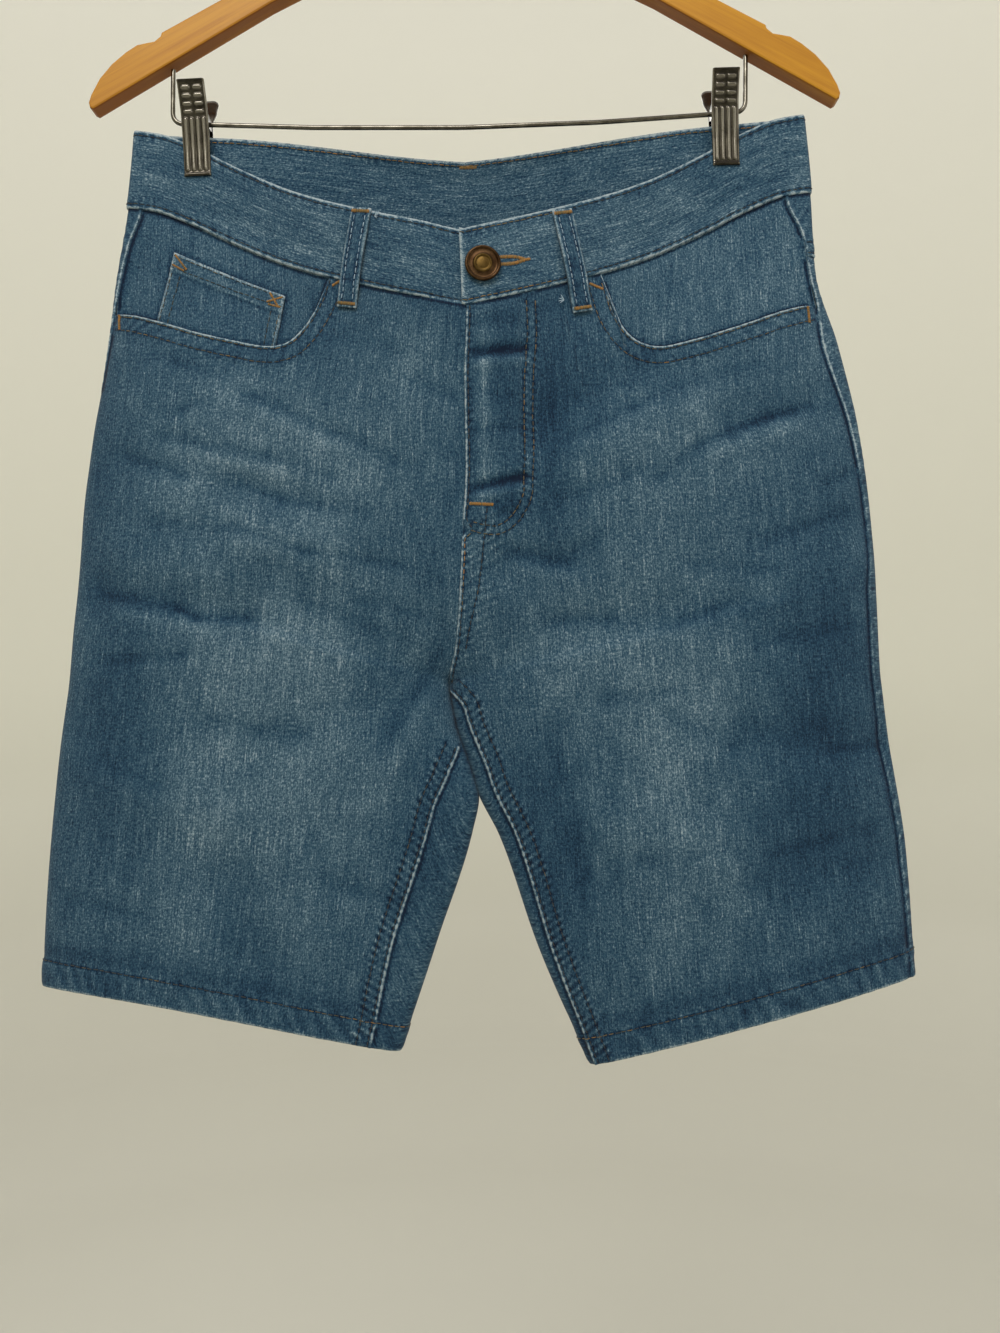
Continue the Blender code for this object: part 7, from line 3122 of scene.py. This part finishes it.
@dataclass
class Clip:
    """A spring clip: two embossed jaws, their ears and a coil spring round the bar.

    Attributes:
        name: Its name.
        x: Where it is on the bar.
        tilt: How far it leans, in degrees.
        boss: How high its embossing stands.
        rib_places: Where its long ribs lie across it.
        bar_places: Where its short bars lie across it.
        bar_heights: Their heights above the pivot.
        splay: How much further the back jaw's handle leans out than the front one's.
        widening: How much wider that handle is than the jaw.
        corner: Radius of that handle's two top corners.
    """

    name: str
    x: float
    tilt: float
    boss: float = 0.0009
    rib_places: tuple[float, ...] = (-0.0053, -0.0018, 0.0018, 0.0053)
    bar_places: tuple[float, ...] = (-0.0034, 0.0034)
    bar_heights: tuple[float, ...] = (0.0166, 0.0125, 0.0084, 0.0043)
    splay: float = 0.0015
    widening: float = 0.30
    corner: float = 0.0030

    def embossing(self, x: Array, z: Array) -> Array:
        """Height of the stamped pattern.

        Args:
            x: Places across the jaw.
            z: Places up it.

        Returns:
            Heights in metres.
        """
        bars = [(place - BOSS_BAR_HALF, height, place + BOSS_BAR_HALF, height)
                for place in self.bar_places for height in self.bar_heights]
        ribs = [(place, 0.0, place, BOSS_RIB_END) for place in self.rib_places]
        out = np.zeros_like(x)
        for ends in bars + ribs:
            out = np.maximum(out, pill(x, z, ends, BOSS_RADIUS))
        return self.boss * out

    def jaw(self, front: bool, mat: bpy.types.Material) -> None:
        """One jaw with its two ears.

        Args:
            front: Whether it is the front one.
            mat: Its material.
        """
        frame_of, way = ClipFrame(self.x, math.radians(self.tilt)), -1 if front else 1
        parts, half = Parts(), CLIP_WIDTH / 2
        depth_line = Line([-h for _, h in JAW_LINE], [d for d, _ in JAW_LINE])
        top, foot = JAW_LINE[0][1], JAW_LINE[-1][1]
        rows, cols = (128, 43) if front else (96, 33)
        x, z = np.broadcast_arrays(np.linspace(-half, half, cols), np.linspace(top, foot, rows)[:, None])
        lean = 0.0 if front else self.splay
        base = depth_line(-z) + lean * smooth(z / top)
        edge = half - np.abs(x)
        rolled = 1 - np.clip(edge / ROLL_WIDTH, 0, 1)
        roll = ROLL_DEPTH * (1 - np.sqrt(np.clip(1 - rolled**2, 0, 1)))
        lip = LIP * bump_at(z, foot + 0.0010, 0.0009)
        flare = LIP * smooth((z - top + 0.0016) / 0.0016)
        stamped = self.embossing(x, z)
        if not front:
            corner = np.clip((np.abs(x) - half + self.corner) / self.corner, 0, 1)
            z = z - self.corner * (1 - np.sqrt(1 - corner**2)) * smooth(2 * z / top - 1)
            x = x * (1 + self.widening * smooth(2.4 * z / top - 0.2))
        outer = frame_of(x, way * (base + JAW_WALL + stamped - roll + lip + flare), z)
        inner = frame_of(x, way * (base - 0.6 * roll + flare), z)
        # The rolled rims count as proud, so they take the painted highlight.
        rim = 0.8 * smooth((0.0012 - edge) / 0.0008)
        parts.wall(outer, inner, np.maximum(stamped / self.boss, rim))
        ear_out = half - (GAP if front else JAW_WALL + 2 * GAP)
        y, h = self.ear_outline(lean * float(smooth(np.array(EAR_HEIGHT / top)))).T
        for sign in (-1, 1):
            flat = frame_of(np.full(len(y), sign * ear_out), way * y, h)
            step, zero = frame_of(np.array([sign * (ear_out - JAW_WALL), sign * ear_out]), 0.0, 0.0)
            parts.prism(flat, step - zero)
        node = f"{self.name}_{'front' if front else 'back'}"
        obj = parts.build(f"jaw_{node}", mat, 55)
        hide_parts(node)

    @staticmethod
    def ear_outline(lean: float) -> Array:
        """An ear as (depth, height), its upper root moved out by lean.

        Args:
            lean: How far its upper root moves.

        Returns:
            The outline's points, in order.
        """
        heights, depths = [h for _, h in JAW_LINE[::-1]], [d for d, _ in JAW_LINE[::-1]]
        low, high = (float(np.interp(h, heights, depths)) + EAR_ROOT for h in (-EAR_HEIGHT, EAR_HEIGHT))
        tip = [(-EAR_REACH * 0.35 - EAR_HEIGHT * 0.62 * math.cos(a), EAR_HEIGHT * 0.95 * math.sin(a))
               for a in np.linspace(-0.5 * math.pi, 0.5 * math.pi, 13)]
        return np.array([(low, -EAR_HEIGHT)] + tip + [(high + lean, EAR_HEIGHT)])

    def spring(self, mat: bpy.types.Material) -> None:
        """The coil round the bar, with a leg to each jaw.

        Args:
            mat: Its finish.
        """
        frame_of = ClipFrame(self.x, -bar_at(self.x)[1])
        reach, turns, coil, wire = CLIP_WIDTH / 2 - 2 * JAW_WALL - 3 * GAP - 0.0006, 9.5, 0.0026, 0.00055
        t = np.linspace(0, 1, 190)
        angle = 2 * math.pi * turns * t
        x = mix(-reach, reach, t)
        body = frame_of(x, coil * np.cos(angle), coil * np.sin(angle))
        leg_y, leg_z = np.array([0.0052, 0.0036]), np.array([0.0115, 0.0030])
        leg_a, leg_b = frame_of(-reach, leg_y, leg_z), frame_of(reach, -leg_y[::-1], leg_z[::-1])
        parts = Parts()
        parts.tube(np.concatenate([leg_a, body, leg_b]), wire, 8)
        obj = parts.build(f"coil_{self.name}", mat)
        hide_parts(f"{self.name}_spring")

    def build(self, mat: bpy.types.Material, stamped: bpy.types.Material) -> None:
        """Builds the clip, its spring in mat and its jaws in stamped.

        Args:
            mat: The spring's finish.
            stamped: The jaws' finish, with painted shade in their hollows and painted highlight on what
                stands proud.
        """
        self.jaw(True, stamped)
        self.jaw(False, stamped)
        self.spring(mat)


@dataclass
class Hanger:
    """The wooden arms, the hook, the bar and both clips."""

    clips: tuple[Clip, ...] = (Clip("clip_left", -0.1600, -2.2), Clip("clip_right", 0.1543, -0.8))

    def hook_route(self) -> Array:
        """The hook's middle line, from its shank to its tip."""
        reach = CROOK_RADIUS + HOOK_WIRE
        start, stop = (math.radians(angle) for angle in CROOK_ANGLES)
        neck = np.array([0.0, NECK_Z])
        join = np.array([reach * math.cos(start), -CROOK_RADIUS + reach * math.sin(start)])
        pull_up = neck + (0.0, NECK_PULLS[0])
        pull_in = join - NECK_PULLS[1] * np.array([-math.sin(start), math.cos(start)])
        route = [np.array([0.0, ARM_CREST_Z - 0.001])]
        for t in np.linspace(0, 1, 20, endpoint=False):
            near = neck * (1 - t) ** 3 + 3 * pull_up * t * (1 - t) ** 2
            route.append(near + 3 * pull_in * t * t * (1 - t) + join * t**3)
        for angle in np.linspace(start, stop, 70):
            route.append(np.array([reach * math.cos(angle), -CROOK_RADIUS + reach * math.sin(angle)]))
        return upright(route)

    def bar_route(self) -> Array:
        """The bar's middle line, its corners bent round."""
        corners = [np.array(p) for p in BAR_ROUTE]
        route = [corners[0]]
        for before, at, after in zip(corners, corners[1:], corners[2:]):
            back, on = before - at, after - at
            bend = min(BAR_BEND, 0.3 * np.linalg.norm(back), 0.3 * np.linalg.norm(on))
            enter = at + back / np.linalg.norm(back) * bend
            leave = at + on / np.linalg.norm(on) * bend
            for t in np.linspace(0, 1, 11):
                route.append(enter * (1 - t) ** 2 + 2 * at * t * (1 - t) + leave * t * t)
        route.append(corners[-1] + (0.0, 0.001))
        return upright(route)

    def build(self, looks: Finishes) -> None:
        """Builds the wires and clips, and varnishes the arms.

        Args:
            looks: The finishes.
        """
        for name, route, radius in (("hanger_hook", self.hook_route(), HOOK_WIRE),
                                    ("clip_bar", self.bar_route(), BAR_WIRE)):
            parts = Parts()
            radii = np.full(len(route), radius)
            if name == "hanger_hook":
                radii[-3:] *= np.array([0.96, 0.82, 0.5])
            parts.tube(route, radii, 20)
            obj = parts.build(f"wire_{name}", looks.steel)
            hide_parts(name)
        for clip in self.clips:
            clip.build(looks.steel, looks.stamped_steel)
        bpy.data.objects["hanger_arms"].material_slots[0].material = looks.wood


BUTTON_PROFILE = (
    (0.0, 0.0), (0.80, 0.0), (0.93, 0.0004), (0.985, 0.0010), (1.0, 0.0017), (0.990, 0.0023), (0.960, 0.0027),
    (0.915, 0.0029), (0.870, 0.0028), (0.840, 0.0025), (0.820, 0.0022), (0.760, 0.0021), (0.680, 0.00215),
    (0.600, 0.0022), (0.545, 0.0023), (0.520, 0.0026), (0.490, 0.0029), (0.450, 0.0030), (0.415, 0.0029),
    (0.395, 0.0026), (0.380, 0.0024), (0.330, 0.00245), (0.22, 0.0026), (0.10, 0.00268), (0.0, 0.0027),
)


def build_button(mat: bpy.types.Material, brass: bpy.types.Material) -> None:
    """The tack button: a rimmed cap with a plain ring and a brassier middle.

    Args:
        mat: Its copper.
        brass: Its middle.
    """
    place, level = RIGHT.locate(np.array(BUTTON_AT[0]), np.array(BUTTON_AT[1]))
    axis = RIGHT.normal(place, level)
    seat = RIGHT.point(place, level, np.array(BAND_PROUD + 0.0005))
    side = np.cross(axis, [0.0, 0.0, 1.0])
    side /= np.linalg.norm(side)
    up = np.cross(side, axis)
    turn = 2 * math.pi * np.arange(BUTTON_SIDES) / BUTTON_SIDES
    spoke = np.cos(turn)[:, None] * side + np.sin(turn)[:, None] * up
    rings = [seat + axis * h + max(r, 0.004) * BUTTON_RADIUS * spoke for r, h in BUTTON_PROFILE]
    last = (len(rings) - 1) * BUTTON_SIDES
    caps = [tuple(range(BUTTON_SIDES)), tuple(range(last, last + BUTTON_SIDES))]
    parts = Parts()
    parts.add(np.concatenate(rings), ring_quads(len(rings), BUTTON_SIDES) + caps)
    obj = parts.build("button_cap", mat, 60)
    obj.data.materials.append(brass)
    for polygon in obj.data.polygons:
        away = np.array(polygon.center) - seat
        radial = np.linalg.norm(away - axis * away.dot(axis))
        if radial < BUTTON_MIDDLE * BUTTON_RADIUS and away.dot(axis) > 0.001:
            polygon.material_index = 1
    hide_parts("tack_button")


# ------------------------------------------------------------------ stage, light and camera
@dataclass(frozen=True)
class Lamp:
    """A soft area lamp.

    Attributes:
        name: Its name.
        at: Where it is.
        aim: What it points at.
        size: Its side.
        power: Its power in watts.
        colour: Its colour.
    """

    name: str
    at: tuple[float, float, float]
    aim: tuple[float, float, float]
    size: float
    power: float
    colour: tuple[float, float, float] = (1.0, 1.0, 1.0)

    def build(self) -> None:
        """Makes the lamp."""
        data = bpy.data.lights.new(self.name, "AREA")
        data.shape, data.size, data.energy, data.color = "SQUARE", self.size, self.power, self.colour
        obj = link(bpy.data.objects.new(self.name, data))
        obj.location = self.at
        obj.rotation_euler = (Vector(self.aim) - Vector(self.at)).to_track_quat("-Z", "Y").to_euler()
        obj.visible_camera = False


LAMPS = (
    Lamp("key", (-0.30, -1.35, 0.95), (0.0, 0.0, -0.42), 0.8, 20.0, (1.0, 0.97, 0.95)),
    Lamp("fill", (1.50, -1.30, -0.10), (0.0, 0.0, -0.45), 1.3, 6.0, (0.99, 0.97, 1.0)),
    Lamp("back_fill", (-0.40, 1.90, 0.50), (0.0, 0.0, -0.45), 1.4, 14.0, (1.0, 1.0, 1.0)),
)
# The bowl that is both floor and backdrop, as (radius, height) from its middle out.
BOWL = (
    (0.0, -1.90), (1.7, -1.90), (2.3, -1.86), (2.8, -1.68), (3.1, -1.36), (3.26, -0.90), (3.32, -0.3),
    (3.32, 2.4),
)
BOWL_RINGS = 60
BOWL_SIDES = 128
BOWL_MIDDLE = 0.01


@dataclass
class Stage:
    """Floor, backdrop, light and camera."""

    lens: float = 28.84
    camera_at: tuple[float, float, float] = (0.01657, -0.638, -0.5183)
    roll: float = math.radians(0.754)

    def build_bowl(self) -> None:
        """A pale floor that curves up into a backdrop on every side, with painted shade low down."""
        marks, at = np.arange(len(BOWL)), np.linspace(0, len(BOWL) - 1, BOWL_RINGS)
        radius, height = (np.interp(at, marks, values) for values in np.array(BOWL).T)
        radius[0] = BOWL_MIDDLE
        turn = np.linspace(0, 2 * math.pi, BOWL_SIDES + 1)
        points = np.stack([radius[:, None] * np.cos(turn), radius[:, None] * np.sin(turn),
                           np.broadcast_to(height[:, None], (BOWL_RINGS, BOWL_SIDES + 1))], -1)
        obj = new_mesh("pale_floor", points.reshape(-1, 3), grid_quads(BOWL_RINGS, BOWL_SIDES + 1))
        made = bpy.data.materials.new("pale_paper")
        made.use_nodes = True
        t, shader = Tree(made.node_tree), made.node_tree.nodes["Principled BSDF"]
        at = t.add("TexCoord").outputs["Object"]
        height = t.add("SeparateXYZ", {0: at}).outputs[2]
        # Painted shade: darker low on the floor, paler up the backdrop, with a little noise.
        place = t.plus(t.band(height, -1.9, 1.8), t.times(t.noise(at, 1.3, 2.0), 0.03))
        stops = ((0.0, shade(205, 204, 194)), (0.38, shade(238, 238, 226)), (1.0, shade(255, 255, 245)))
        t.join(t.ramp(place, stops), shader, "Base Color")
        shader.inputs["Roughness"].default_value = 0.95
        obj.data.materials.append(made)

    def build_world(self) -> None:
        """Even pale light from all round."""
        world = bpy.data.worlds.new("studio")
        world.use_nodes = True
        background = world.node_tree.nodes["Background"]
        background.inputs["Color"].default_value = shade(242, 237, 234)
        background.inputs["Strength"].default_value = 0.85
        bpy.context.scene.world = world

    def build_camera(self) -> None:
        """The camera, level and looking at the front."""
        data = bpy.data.cameras.new("camera")
        data.lens, data.sensor_width, data.sensor_fit = self.lens, 36.0, "AUTO"
        data.clip_start, data.clip_end = 0.01, 30.0
        obj = link(bpy.data.objects.new("camera", data))
        obj.location = self.camera_at
        obj.rotation_euler = (math.radians(90), self.roll, 0.0)
        bpy.context.scene.camera = obj

    def build(self) -> None:
        """Builds all of it."""
        self.build_bowl()
        self.build_world()
        for lamp in LAMPS:
            lamp.build()
        self.build_camera()
        bpy.context.scene.view_settings.view_transform = "Standard"


def keep_sizes() -> None:
    """Updates the view layer."""
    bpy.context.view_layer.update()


# ------------------------------------------------------------------ the whole scene
class Shorts:
    """The garment: its cut pieces and what is sewn on them."""

    def __init__(self, looks: Finishes) -> None:
        """Lists its pieces.

        Args:
            looks: The materials.
        """
        self.looks = looks
        face, reverse, deep = looks.face, looks.reverse, looks.deep_face
        self.pieces: list[ClothPiece] = []
        band = ("jaw_clip_left_front", "jaw_clip_right_front")
        self.pieces.append(Waistband("waistband", looks.band_face, looks.band_face, rests_on=band))
        for half in HALVES:
            side = half.word
            self.pieces += [
                FrontPanel(f"front_{side}", face, reverse, half=half),
                BackPanel(f"back_{side}", face, reverse, rests_on=(f"yoke_{side}",), half=half),
                Yoke(f"yoke_{side}", face, reverse, half=half),
                PocketFacing(f"pocket_facing_{side}", deep, reverse, "denim_inside", half=half),
                BackPocket(f"back_pocket_{side}", face, reverse, rests_on=(f"back_{side}",), half=half),
            ]
        self.pieces.append(CoinPocket("coin_pocket", face, reverse, rests_on=("pocket_facing_left",)))
        self.pieces.append(FlyShield("fly_shield", deep, reverse, "denim_inside"))
        for loop in LOOPS:
            self.pieces.append(BeltLoop(loop.name, looks.loop_face, reverse, loop=loop))

    def build(self) -> None:
        sew = Stitcher(self.looks)
        for piece in self.pieces:
            piece.build()
            sewn: list[bpy.types.Object] = []
            if isinstance(piece, (FrontPanel, BackPanel)):
                sewn = sew.panel(piece.half, isinstance(piece, FrontPanel))
            elif isinstance(piece, Yoke):
                sewn = sew.yoke(piece.half)
            elif isinstance(piece, Waistband):
                sewn = sew.waistband(piece)
            elif isinstance(piece, BeltLoop):
                sewn = sew.belt_loop(piece)
            elif isinstance(piece, CoinPocket):
                sewn = sew.coin_pocket()
            elif isinstance(piece, BackPocket):
                sewn = sew.back_pocket(piece)
            piece.declare(sewn)


def main() -> None:
    """Builds the scene in order."""
    add_seams()
    looks = Finishes.make()
    LOG.info("finishes made")
    Shorts(looks).build()
    LOG.info("garment built")
    Hanger().build(looks)
    build_button(looks.copper, looks.brass)
    LOG.info("hanger and button built")
    Stage().build()
    LOG.info("stage set")
    keep_sizes()


if __name__ == "__main__":
    logging.basicConfig(level=logging.INFO, format="%(message)s")
    main()
